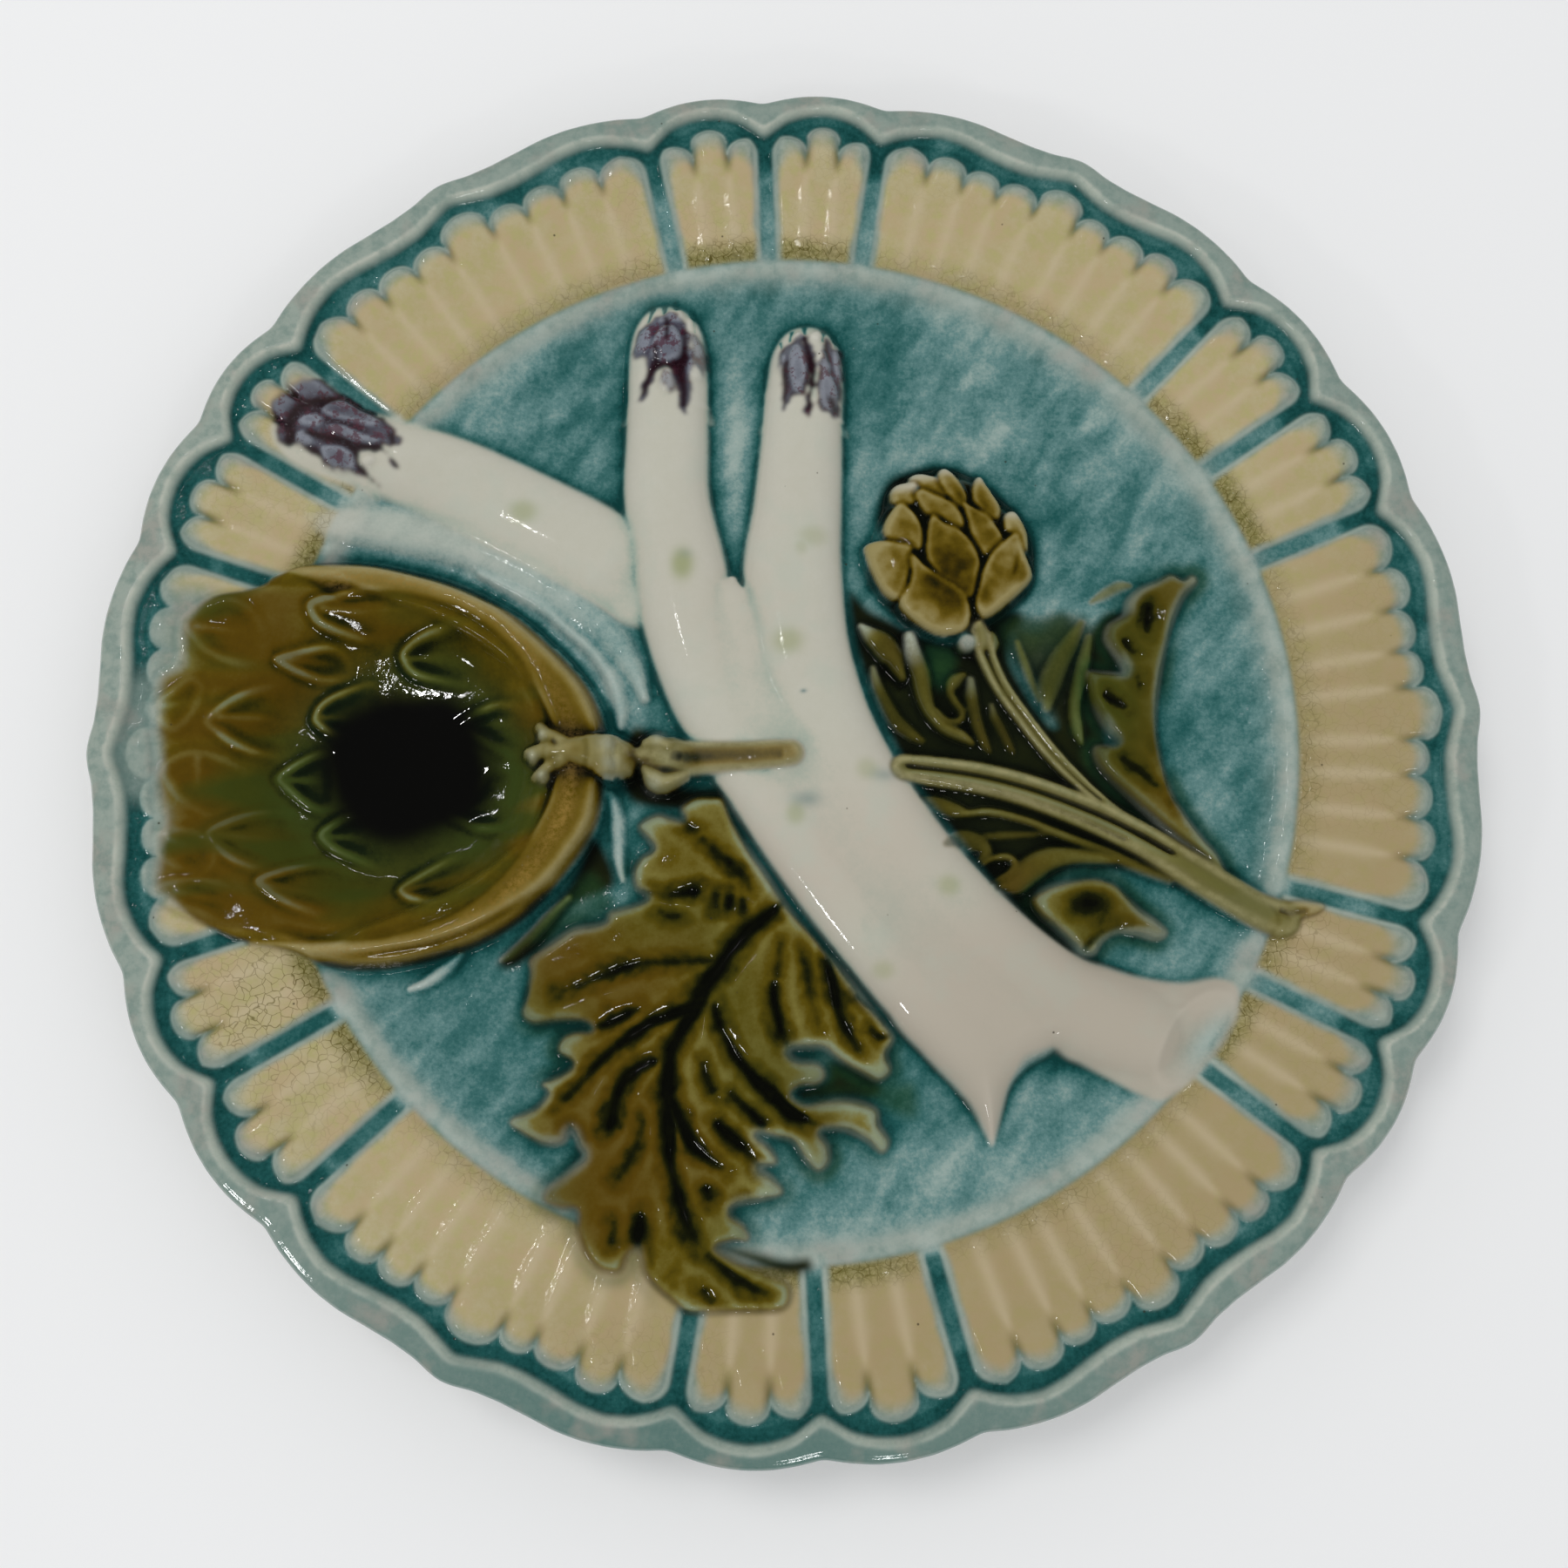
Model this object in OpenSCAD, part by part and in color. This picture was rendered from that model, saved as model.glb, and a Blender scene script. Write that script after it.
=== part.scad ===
// Asparagus plate with a built-in sauce hollow: a press-moulded, glazed
// earthenware plate.  One fired piece; its nodes are the moulded elements,
// each a solid bedded on the plate's surface.
// Millimetres, +Z up, origin on the table under the plate's centre.
// Plan coordinates are for a plate 240 mm across and follow plate_d.

/* [Plate] */
// Largest diameter across the scalloped lip
plate_d = 240; // [216:1:264]
// Height of the lip's crown above the table
plate_h = 20; // [19:0.5:24]
// Thickness of the fired body
wall = 4.6; // [3.8:0.2:5.2]
// Height of the well's floor above the table
floor_h = 9.4; // [8.6:0.2:10]
// Height of the bead that rings the well, above the rim's inner edge
ring_bead = 0.9; // [0.5:0.1:1.6]

/* [Foot] */
// Middle radius of the foot ring on a 240 mm plate
foot_r = 64; // [58:1:68]
// Width of the foot ring
foot_w = 4.4; // [3:0.2:6]

/* [Rim panels] */
// Height of the flutes above the rim
flute_h = 1.3; // [0.8:0.1:2]
// Width of the grooves between the panels
groove_w = 2.8; // [1.6:0.2:3.2]

/* [Asparagus] */
// Height of the two full spears above the well's floor
spear_h = 4.4; // [3:0.2:5.4]
// Height of the half-hidden spear
back_spear_h = 3.2; // [2:0.2:4]

/* [Sauce hollow] */
// Inside depth of the sauce hollow
bowl_depth = 11.8; // [9:0.2:12.4]
// Thickness of the sauce hollow's wall
bowl_wall = 3.4; // [2.8:0.2:3.8]
// Thickness of the scales that line the hollow
scale_t = 1.2; // [0.6:0.1:1.8]

/* [Leaves and stems] */
// Thickness of the leaves above what they lie on
leaf_t = 2.2; // [1.4:0.2:3]
// Height of the artichoke bud above the well's floor
bud_h = 4.8; // [3.6:0.2:5.8]
// Height of the long cut stem
stem_h = 2.8; // [2:0.2:3.6]

/* [Hidden] */
$fn = 96;
k = plate_d / 240;
rim_r = 117.2;                    // where the body ends inside the lip
ring_z = floor_h + 3.8;           // rim's inner edge, under the bead
lip_z = plate_h;
// Angles of the grooves that part the panels, three to a sector, as the
// hand-finished mould spaces them
GROOVES = [21, 33, 45, 81.5, 92.5, 103.5, 142, 152.5, 164,
           201, 212.5, 224.5, 261, 273, 285.5, 321, 332, 343];
bowl_c = [-69, -5];               // middle of the sauce hollow
bowl_r = 37.5;                    // its outer radius at the top
bowl_top = 17.2;                  // its upper edge, level with the rim
bud_c = [30, 36.8];
bud_r = 15.4;

// ---------------------------------------------------------------- functions
function ss(t) = let (u = min(1, max(0, t))) u * u * (3 - 2 * u);

// Height of the moulded top surface at nominal radius r
function top_z(r) =
    r <= 89 ? floor_h + (ring_z - floor_h) * ss((r - 68) / 21)
    : r <= 113 ? ring_z + (lip_z - 2 - ring_z) * (r - 89) / 24
    : lip_z - 2 + 0.3 * (r - 113) / 4.2;
function on_plate(x, y) = top_z(norm([x, y]));

// Radii at which the turned profile is drawn
PROFILE = concat([0, 68], [for (r = [71 : 2.25 : 89]) r],
                 [91, 102, 113, rim_r]);

// Smooth path through hand-set points of any length
function spline_at(p, i, t) =
    let (n = len(p), a = p[max(0, i - 1)], b = p[i], c = p[i + 1], d = p[min(n - 1, i + 2)])
    0.5 * ((2 * b) + (c - a) * t + (2 * a - 5 * b + 4 * c - d) * t * t
           + (3 * b - a - 3 * c + d) * t * t * t);
function spline(p, sub) =
    concat([for (i = [0 : len(p) - 2]) for (s = [0 : sub - 1]) spline_at(p, i, s / sub)],
           [p[len(p) - 1]]);

// Outline of the scalloped lip: one lobe over each narrow panel, and a
// double lobe with a pointed middle over each wide one
NARROW = [[0, 118.5], [0.17, 119.4], [0.33, 120], [0.5, 120.2],
          [0.67, 120], [0.83, 119.4], [1, 118.5]];
WIDE = [[0, 118.5], [0.06, 119.4], [0.12, 119.9], [0.17, 120], [0.23, 119.8],
        [0.3, 119.2], [0.36, 118.9], [0.43, 119.4], [0.47, 119.8], [0.5, 120.1],
        [0.53, 119.8], [0.57, 119.4], [0.64, 118.9], [0.7, 119.2], [0.77, 119.8],
        [0.83, 120], [0.88, 119.9], [0.94, 119.4], [1, 118.5]];
// Inner border of the lip, where the channel round the panels runs
NARROW_IN = [[0, 111.6], [0.12, 113.6], [0.3, 115.8], [0.5, 116.7],
             [0.7, 115.8], [0.88, 113.6], [1, 111.6]];
WIDE_IN = [[0, 111.6], [0.06, 114], [0.15, 115.8], [0.24, 115.2], [0.33, 113.9],
           [0.4, 113.8], [0.46, 114.9], [0.5, 115.8], [0.54, 114.9], [0.6, 113.8],
           [0.67, 113.9], [0.76, 115.2], [0.85, 115.8], [0.94, 114], [1, 111.6]];
// Outer ends of the panels
NARROW_END = [[0, 109.4], [0.18, 111.9], [0.34, 111.2], [0.5, 113.4],
              [0.66, 111.2], [0.82, 111.9], [1, 109.4]];
WIDE_END = [[0, 109.4], [0.06, 111.9], [0.17, 112.6], [0.28, 111.8], [0.39, 110.8],
            [0.45, 110.6], [0.5, 112.8], [0.55, 110.6], [0.61, 110.8], [0.72, 111.4],
            [0.83, 112.2], [0.94, 111.9], [1, 109.4]];
function groove(i) = GROOVES[i % 18] + 360 * floor(i / 18);
function is_wide(i) = i % 3 == 2;
LIP = [for (i = [0 : 17]) let (a = groove(i), b = groove(i + 1), n = is_wide(i) ? 18 : 6)
       for (j = [0 : n - 1]) let (t = j / n)
       [a + (b - a) * t, lookup(t, is_wide(i) ? WIDE : NARROW),
        lookup(t, is_wide(i) ? WIDE_IN : NARROW_IN)]];

// ------------------------------------------------------- building modules
// Ridge bedded on a surface: pts are [x, y, half width, height], m facets
// across, e is the share of the height that its edges keep
module ridge(pts, m = 8, e = 0, base = function (x, y) on_plate(x, y), bed = 0.2) {
    n = len(pts);
    dirs = [for (i = [0 : n - 1]) let (a = pts[max(0, i - 1)], b = pts[min(n - 1, i + 1)],
            d = [b[0] - a[0], b[1] - a[1]]) d / norm(d)];
    top = [for (i = [0 : n - 1]) for (j = [0 : m])
           let (t = -1 + 2 * j / m, p = pts[i],
                x = p[0] - dirs[i][1] * p[2] * t, y = p[1] + dirs[i][0] * p[2] * t)
           [x * k, y * k, base(x, y) + 0.05 + p[3] * (e + (1 - e) * sqrt(max(0, 1 - t * t)))]];
    low = [for (i = [0 : n - 1]) for (j = [0, 1])
           let (t = -1 + 2 * j, p = pts[i],
                x = p[0] - dirs[i][1] * p[2] * t, y = p[1] + dirs[i][0] * p[2] * t)
           [x * k, y * k, base(x, y) - bed]];
    nt = n * (m + 1);
    polyhedron(concat(top, low), concat(
        [for (i = [0 : n - 2]) for (j = [0 : m - 1]) let (a = i * (m + 1) + j)
            each [[a, a + m + 1, a + 1], [a + 1, a + m + 1, a + m + 2]]],
        [for (i = [0 : n - 2]) let (a = nt + 2 * i) each [[a, a + 1, a + 2], [a + 1, a + 3, a + 2]]],
        [for (i = [0 : n - 2]) let (a = i * (m + 1), b = nt + 2 * i)
            each [[a, b, a + m + 1], [b, b + 2, a + m + 1]]],
        [for (i = [0 : n - 2]) let (a = i * (m + 1) + m, b = nt + 2 * i + 1)
            each [[a, a + m + 1, b], [b, a + m + 1, b + 2]]],
        [[for (j = [0 : m]) j, nt + 1, nt]],
        [[for (j = [m : -1 : 0]) (n - 1) * (m + 1) + j, nt + 2 * n - 2, nt + 2 * n - 1]]));
}

// Outline of a pointed scale, from (x, y) towards angle a
function scale_outline(q) = let (x = q[0], y = q[1], a = q[2], l = q[3], w = q[4])
    [for (p = [[0, -0.7], [0.12, -0.92], [0.32, -1], [0.6, -0.78], [0.84, -0.36], [1, 0],
               [0.84, 0.36], [0.6, 0.78], [0.32, 1], [0.12, 0.92], [0, 0.7]])
     [x + l * p[0] * cos(a) - w * p[1] * sin(a), y + l * p[0] * sin(a) + w * p[1] * cos(a)] * k];

// Outline of a tapering rib along a smooth path
function rib_outline(v, w0, w1) =
    let (p = spline(v, 3), n = len(p),
         d = [for (i = [0 : n - 1]) let (e = p[min(n - 1, i + 1)] - p[max(0, i - 1)]) e / norm(e)],
         w = [for (i = [0 : n - 1]) w0 + (w1 - w0) * i / (n - 1)])
    concat([for (i = [0 : n - 1]) [p[i][0] - d[i][1] * w[i], p[i][1] + d[i][0] * w[i]] * k],
           [for (i = [n - 1 : -1 : 0]) [p[i][0] + d[i][1] * w[i], p[i][1] - d[i][0] * w[i]] * k]);

// Turned skin between two heights above the plate's surface
module skin(lo, hi) {
    rotate_extrude($fn = 180) polygon(concat(
        [for (r = PROFILE) [r * k, top_z(r) + lo]],
        [for (i = [len(PROFILE) - 1 : -1 : 0]) [PROFILE[i] * k, top_z(PROFILE[i]) + hi]]));
}

// Flat relief with a hand-drawn outline that follows the plate's surface
module follow(outline, t) {
    intersection() {
        translate([0, 0, floor_h - 1]) linear_extrude(height = 16)
            polygon([for (p = outline) p * k]);
        skin(-0.05, t);
    }
}

// Solid outer form of the sauce hollow, used for its shell and its seat
module bowl_form(grow) {
    translate([bowl_c[0] * k, bowl_c[1] * k, 0]) rotate_extrude()
        polygon([for (p = [[0, bowl_top - bowl_depth - bowl_wall], [15, bowl_top - bowl_depth - bowl_wall],
                 [22, bowl_top - bowl_depth - bowl_wall + 1], [28, floor_h - 5], [32, floor_h - 0.6],
                 [35.5, floor_h + 3.6], [bowl_r, bowl_top], [bowl_r, bowl_top + grow], [0, bowl_top + grow]])
                 [p[0] * k, p[1]]]);
}
function bowl_in(r) = bowl_top - bowl_depth
    + bowl_depth * pow(min(1, max(0, r - 8) / (bowl_r - 3.2 - 8)), 1.7);
HOLLOW = concat([0, 8], [for (q = [12 : 3.3 : 31.8]) q], [bowl_r - 3.2]);

// Flutes of one panel between the grooves at angles a and b
module panel(a, b, count) {
    half = 0.5 * groove_w;
    m = 4;                        // facets across a flute
    N = count * m;
    R0 = 91.2;
    // outer end of the panel at t across it: follows the lip, and each flute
    // ends in its own round
    function end_r(t) = let (f = t * count - floor(t * count))
        lookup(t, count > 3 ? WIDE_END : NARROW_END)
        - (t <= 0 || t >= 1 ? 0 : (count > 3 ? 1.1 : 0.6) * (1 - sin(180 * f)));
    function pt(u, j) = let (t = j / N, r = R0 + (end_r(t) - R0) * u,
        trim = asin(half / r), ang = a + trim + (b - a - 2 * trim) * t) [r, ang];
    function rise(u, j) = let (f = (j % m) / m)
        flute_h * (0.25 + 0.75 * sqrt(max(0, 1 - pow(2 * f - 1, 2))))
        * (u < 0.7 ? 0.55 + 0.45 * u / 0.7 : sqrt(max(0.06, 1 - pow((u - 0.7) / 0.3, 4))));
    U = [0, 0.35, 0.7, 0.9, 1];
    nu = len(U);
    top = [for (u = U) for (j = [0 : N]) let (p = pt(u, j))
           [p[0] * k * cos(p[1]), p[0] * k * sin(p[1]), top_z(p[0]) + 0.05 + rise(u, j)]];
    low = [for (u = U) for (j = [0 : N]) let (p = pt(u, j))
           [p[0] * k * cos(p[1]), p[0] * k * sin(p[1]), top_z(p[0]) - 0.2]];
    nt = nu * (N + 1);
    polyhedron(concat(top, low), concat(
        [for (i = [0 : nu - 2]) for (j = [0 : N - 1]) let (q = i * (N + 1) + j)
            each [[q, q + 1, q + N + 1], [q + 1, q + N + 2, q + N + 1]]],
        [for (i = [0 : nu - 2]) for (j = [0 : N - 1]) let (q = nt + i * (N + 1) + j)
            each [[q, q + N + 1, q + 1], [q + 1, q + N + 1, q + N + 2]]],
        [for (j = [0 : N - 1]) each [[j, nt + j, j + 1], [j + 1, nt + j, nt + j + 1]]],
        [for (j = [0 : N - 1]) let (q = (nu - 1) * (N + 1) + j)
            each [[q, q + 1, nt + q], [q + 1, nt + q + 1, nt + q]]],
        [for (i = [0 : nu - 2]) let (q = i * (N + 1))
            each [[q, q + N + 1, nt + q], [q + N + 1, nt + q + N + 1, nt + q]]],
        [for (i = [0 : nu - 2]) let (q = i * (N + 1) + N)
            each [[q, nt + q, q + N + 1], [q + N + 1, nt + q, nt + q + N + 1]]]));
}

// ------------------------------------------------------------------- nodes
module plate_body() {
    color([0.45, 0.64, 0.66])
    difference() {
        rotate_extrude($fn = 180) polygon(concat(
            [for (r = PROFILE) [r * k, top_z(r)]],
            [[rim_r * k, top_z(rim_r) - 2.6], [113 * k, top_z(113) - wall + 1.2],
             [91 * k, top_z(91) - wall], [84 * k, top_z(84) - wall - 0.3],
             [78 * k, top_z(78) - wall - 0.4], [72 * k, floor_h - wall], [0, floor_h - wall]]));
        bowl_form(20);
    }
}

module foot_ring() {
    color([0.8, 0.78, 0.68])
    difference() {
        rotate_extrude() polygon([for (p = [
            [foot_r - 0.5 * foot_w - 0.6, floor_h - wall], [foot_r - 0.5 * foot_w, 1],
            [foot_r - 0.5 * foot_w + 0.6, 0], [foot_r + 0.5 * foot_w - 0.6, 0],
            [foot_r + 0.5 * foot_w, 1], [foot_r + 0.5 * foot_w + 0.6, floor_h - wall]])
            [p[0] * k, p[1]]]);
        bowl_form(20);
    }
}

module edge_lip() {
    // section from the channel's edge over the crown and round to the
    // underside, then back along the body: inner, outer and height
    n = len(LIP);
    m = 11;
    function sec(i, o) = let (w = o - i) [
        [i, top_z(i) - 0.1], [i + 0.3, top_z(i) + 0.7], [i + 0.22 * w + 0.4, lip_z - 0.2],
        [i + 0.55 * w, lip_z], [o - 0.9, lip_z - 0.35], [o - 0.3, lip_z - 0.95], [o, lip_z - 1.9],
        [o - 0.2, lip_z - 3], [o - 0.9, lip_z - 3.8], [rim_r, lip_z - 4.3], [rim_r, top_z(rim_r) - 0.1]];
    color([0.62, 0.7, 0.7])
    polyhedron([for (q = LIP) for (p = sec(q[2], q[1])) [p[0] * k * cos(q[0]), p[0] * k * sin(q[0]), p[1]]],
               [for (i = [0 : n - 1]) for (j = [0 : m - 1])
                let (a = i * m + j, b = i * m + (j + 1) % m,
                     c = ((i + 1) % n) * m + j, d = ((i + 1) % n) * m + (j + 1) % m)
                each [[a, b, c], [b, d, c]]]);
}

module well_ring() {
    color([0.72, 0.8, 0.78])
    difference() {
        rotate_extrude($fn = 180) polygon(concat(
            [for (t = [-1 : 0.25 : 1]) [(88.8 + 2.4 * t) * k,
                top_z(88.8 + 2.4 * t) + ring_bead * sqrt(max(0, 1 - t * t))]],
            [[91.2 * k, top_z(91.2) - 0.3], [88.8 * k, top_z(88.8) - 0.3], [86.4 * k, top_z(86.4) - 0.3]]));
        bowl_form(20);
    }
}

module wide_panels() {
    color([0.84, 0.79, 0.6])
    difference() {
        union() for (i = [2 : 3 : 17]) panel(groove(i), groove(i + 1), 9);
        bowl_form(20);
    }
}

module narrow_panels() {
    color([0.82, 0.77, 0.58])
    difference() {
        union() for (i = [0 : 17]) if (!is_wide(i)) panel(groove(i), groove(i + 1), 3);
        bowl_form(20);
    }
}

module spear_left() {
    color([0.82, 0.8, 0.72])
    ridge(spline([[-74, 51.5, 7.4, back_spear_h], [-60, 46.5, 8.4, back_spear_h],
                  [-46, 40, 8.6, back_spear_h], [-34, 33.5, 8, back_spear_h - 0.4],
                  [-27, 29, 6.6, back_spear_h - 1.2]], 4));
}

module spear_centre() {
    color([0.84, 0.81, 0.74])
    ridge(spline([[-22.4, 63, 7.5, spear_h], [-22.2, 48, 8, spear_h],
                  [-19.6, 30, 8.9, spear_h], [-16.4, 16, 8.1, spear_h],
                  [-11.4, 4, 7.6, spear_h], [-3.2, -9, 7.4, spear_h],
                  [5.6, -22, 7.3, spear_h], [15.4, -35, 7.2, spear_h],
                  [26, -47, 7.4, spear_h - 0.2], [34, -55.5, 7.8, spear_h - 0.5],
                  [38.5, -61, 6.6, spear_h - 1.2], [40.5, -64, 4, 1.6]], 3));
}

module spear_right() {
    color([0.84, 0.81, 0.74])
    ridge(spline([[2.4, 61, 7.4, spear_h], [2, 45, 8, spear_h],
                  [0.6, 30, 9.4, spear_h], [2.4, 15, 9.2, spear_h],
                  [7.6, 0, 8.8, spear_h], [15.8, -14, 8.6, spear_h],
                  [26.4, -27.5, 8.4, spear_h], [38.5, -39, 8, spear_h],
                  [52, -48.5, 7.6, spear_h - 0.3], [62, -52.5, 8.2, spear_h - 0.6],
                  [69, -53.5, 6.8, 2.2], [72, -53.6, 4.4, 0.9]], 3));
}

// One closed asparagus head of three pointed scales, stem end at (x, y)
module tip(x, y, a, l, w, h) {
    for (s = [-1, 0, 1])
        ridge([for (u = [0, 0.2, 0.4, 0.56, 0.7, 0.82, 0.92, 1])
               let (c = w * s * 0.66 * (u < 0.3 ? 1 : 1 - 0.66 * pow((u - 0.3) / 0.7, 2)),
                    f = u < 0.4 ? 1 : max(0.14, sqrt(1 - pow((u - 0.4) / 0.61, 2))),
                    v = u * (s == 0 ? 1 : 0.93))
               [x + l * v * cos(a) - c * sin(a), y + l * v * sin(a) + c * cos(a),
                w * (s == 0 ? 0.33 : 0.3) * (u < 0.3 ? 1 : 1 - 0.72 * pow((u - 0.3) / 0.7, 2)),
                h * (s == 0 ? 1 : 0.84) * max(0.3, f)]], m = 6, e = s == 0 ? 0.5 : 0.35);
}

module asparagus_tips() {
    color([0.36, 0.3, 0.42]) {
        tip(-22.4, 63.2, 90, 17.6, 7.4, spear_h);
        tip(2.6, 61.2, 88, 17.8, 7.3, spear_h);
        tip(-74.4, 51.6, 170, 17, 7.2, back_spear_h);
    }
}

module sauce_bowl() {
    color([0.36, 0.32, 0.1])
    difference() {
        bowl_form(0.001);
        translate([bowl_c[0] * k, bowl_c[1] * k, 0]) rotate_extrude()
            polygon(concat([for (r = HOLLOW) [r * k, bowl_in(r)]],
                [[(bowl_r - 3.2) * k, bowl_top + 3], [0, bowl_top + 3]]));
    }
}

module sauce_lip() {
    color([0.52, 0.38, 0.14])
    translate([bowl_c[0] * k, bowl_c[1] * k, 0]) rotate([0, 0, -102]) rotate_extrude(angle = 206)
        polygon([for (p = [[33.6, 0], [33.9, 1.3], [34.8, 2.2], [36, 2.4], [37.1, 1.9],
                 [37.7, 0.9], [37.5, 0]]) [p[0] * k, bowl_top + p[1]]]);
}

module sauce_scales() {
    // pointed scales that line the hollow, tips towards the plate's edge
    color([0.42, 0.38, 0.1])
    intersection() {
        translate([0, 0, 2]) linear_extrude(height = 20)
            for (q = [[-86, 2, 180, 14, 3.8], [-92, -8.6, 180, 13.6, 4.6], [-84.6, -18.4, 184, 13.6, 4.4],
                      [-79.4, -7.4, 180, 10.6, 4.6], [-67.6, -17.6, 178, 14, 4.2], [-71, -28, 176, 18, 4.4],
                      [-49, -27, 178, 18, 3.6], [-76.4, 4.8, 182, 8.6, 3.4], [-89, 12.2, 170, 14, 4.2],
                      [-68, 20.6, 176, 17, 4.4], [-73.6, 12.8, 172, 12.6, 2.6], [-50, 15, 180, 18, 4.4],
                      [-46, 4.4, 186, 12, 4], [-46, -14, 178, 13, 4]])
                polygon(scale_outline(q));
        translate([bowl_c[0] * k, bowl_c[1] * k, 0]) rotate_extrude()
            polygon([for (p = concat([for (r = HOLLOW) [r, bowl_in(r) - 0.05]],
                [for (i = [len(HOLLOW) - 1 : -1 : 0]) [HOLLOW[i], bowl_in(HOLLOW[i]) + scale_t]]))
                [p[0] * k, p[1]]]);
    }
}

module stem_knuckle() {
    over = function (x, y) lookup(x, [[-46, 13.4], [-41, 15.4], [-36.6, bowl_top + 2.2],
           [-33, bowl_top + 2.3], [-31, bowl_top - 1], [-28, 12.4], [-26, floor_h]]);
    color([0.62, 0.54, 0.3]) {
        ridge(spline([[-45.5, -4, 1, 0.8], [-42, -3.8, 1.8, 1.6], [-38, -3.6, 2, 1.8],
               [-34, -3.6, 2.8, 1.8], [-30.5, -3.8, 3.8, 2.2], [-28.6, -3.9, 3.6, 2.6]], 2), m = 6,
               base = over, bed = 0.8);
        for (s = [-1, 1])
            ridge([[-43, -3.8 + 4.6 * s, 0.6, 0.6], [-41.6, -3.8 + 4 * s, 1, 1.4],
                   [-39.6, -3.8 + 3.3 * s, 1, 1.6], [-37.6, -3.8 + 3.4 * s, 0.7, 1]], m = 4,
                   base = over, bed = 0.6);
    }
}

module sauce_stem() {
    rest = function (x, y) lookup(x, [[-28, floor_h + 1.6], [-22, floor_h + 0.4], [-16, floor_h + 0.6],
           [-10, floor_h + 2.8], [-4, floor_h + spear_h - 0.6], [2, floor_h + spear_h - 0.3]]);
    color([0.66, 0.56, 0.3])
    ridge(spline([[-28.4, -4, 2.6, 4], [-25.6, -4.2, 3, 4.6], [-23.4, -4.6, 4.8, 5],
           [-20.4, -4.6, 4.2, 5], [-16, -4.6, 3.2, 4.6], [-9, -4.2, 3, 3.2],
           [-2, -3.8, 3, 2.2], [0.8, -3.6, 3.2, 1.8], [1.6, -3.6, 2.6, 0.6]], 2), base = rest, bed = 0.6);
}

module artichoke_bud() {
    color([0.5, 0.36, 0.12])
    translate([bud_c[0] * k, bud_c[1] * k, 0]) rotate_extrude()
        polygon(concat([for (a = [90 : -7.5 : 0]) [bud_r * k * cos(a), floor_h + bud_h * sin(a)]],
                       [[bud_r * k, floor_h - 0.1], [0, floor_h - 0.1]]));
}

module bud_scales() {
    // pointed scales laid like roof tiles, tips towards the crown of the bud
    color([0.58, 0.44, 0.16])
    intersection() {
        translate([0, 0, floor_h]) linear_extrude(height = 12)
            for (q = [[28, 23, 124, 12, 3.6], [36.2, 24.2, 64, 13.4, 3.6], [31.6, 29, 104, 12, 3.5],
                      [19, 28.6, 108, 10, 2.5], [43, 29.4, 88, 9, 1.3], [21.6, 38.6, 96, 9, 2.9],
                      [36.8, 38.6, 100, 8.4, 2.5], [29, 42.6, 118, 7, 2.6], [41.2, 40.2, 98, 7.6, 1.5],
                      [33.6, 46.2, 98, 5.2, 1.8]])
                polygon(scale_outline(q));
        translate([bud_c[0] * k, bud_c[1] * k, 0]) rotate_extrude()
            polygon(concat([for (a = [90 : -10 : 10]) [bud_r * k * cos(a), floor_h + bud_h * sin(a) - 0.05]],
                           [for (a = [10 : 10 : 90]) [bud_r * k * cos(a), floor_h + bud_h * sin(a) + 0.9]]));
    }
}

module bud_stem() {
    color([0.62, 0.54, 0.3])
        ridge(spline([[33.4, 20.8, 1.6, 1.8], [35, 17.4, 2, 2], [38.2, 10, 1.6, 1.7],
                      [43, 2, 1.5, 1.7], [49, -5.4, 1.6, 1.8], [56, -11, 1.4, 1.8],
                      [60.5, -14, 1.1, 1.4]], 3), m = 6);
}

module long_stem() {
    color([0.56, 0.46, 0.22])
    ridge(spline([[22.5, -4.9, 2.8, stem_h - 0.6], [34, -6.6, 3, stem_h], [46, -9.8, 3.1, stem_h],
                  [57, -14.6, 3.2, stem_h], [67, -20.4, 3.4, stem_h], [76, -26.6, 3.4, stem_h],
                  [82.5, -31, 3.2, stem_h - 0.2]], 4));
}

module cut_end() {
    color([0.6, 0.52, 0.3])
    ridge([[82.7, -31.1, 3.6, stem_h - 0.1], [85, -31.6, 3.8, stem_h - 0.4], [88, -31.4, 3, 1.7],
           [90.5, -30.8, 1.9, 1.1], [93, -30.2, 0.6, 0.5]], m = 6);
}

LARGE = [[-12, -10], [-17, -12], [-18, -15], [-26, -15], [-23, -20], [-27, -23], [-25, -28],
         [-20, -31], [-33, -33], [-38, -35], [-44, -40], [-45, -49], [-38, -50], [-30, -51],
         [-38, -54], [-38, -57], [-35, -60], [-41, -62], [-39, -65], [-46, -67], [-42, -69],
         [-36, -66], [-34, -71], [-40, -77], [-39, -80], [-34, -81], [-34, -86], [-28, -90],
         [-25, -82], [-22, -90], [-19, -96], [-12, -97], [2, -97], [0, -94], [-1, -91],
         [-9, -88], [-6, -86], [-9, -81], [-2, -78], [-7, -75], [-2, -73], [-9, -67],
         [-2, -69], [6, -74], [6, -69], [12, -67], [17, -71], [16, -64], [4, -63],
         [6, -58], [1, -55], [8, -55], [18, -58], [18, -53], [8, -41], [0, -30], [-6, -20]];

module leaf_large() {
    color([0.46, 0.4, 0.1])
    difference() {
        follow(LARGE, leaf_t);
        bowl_form(20);
    }
}

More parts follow.
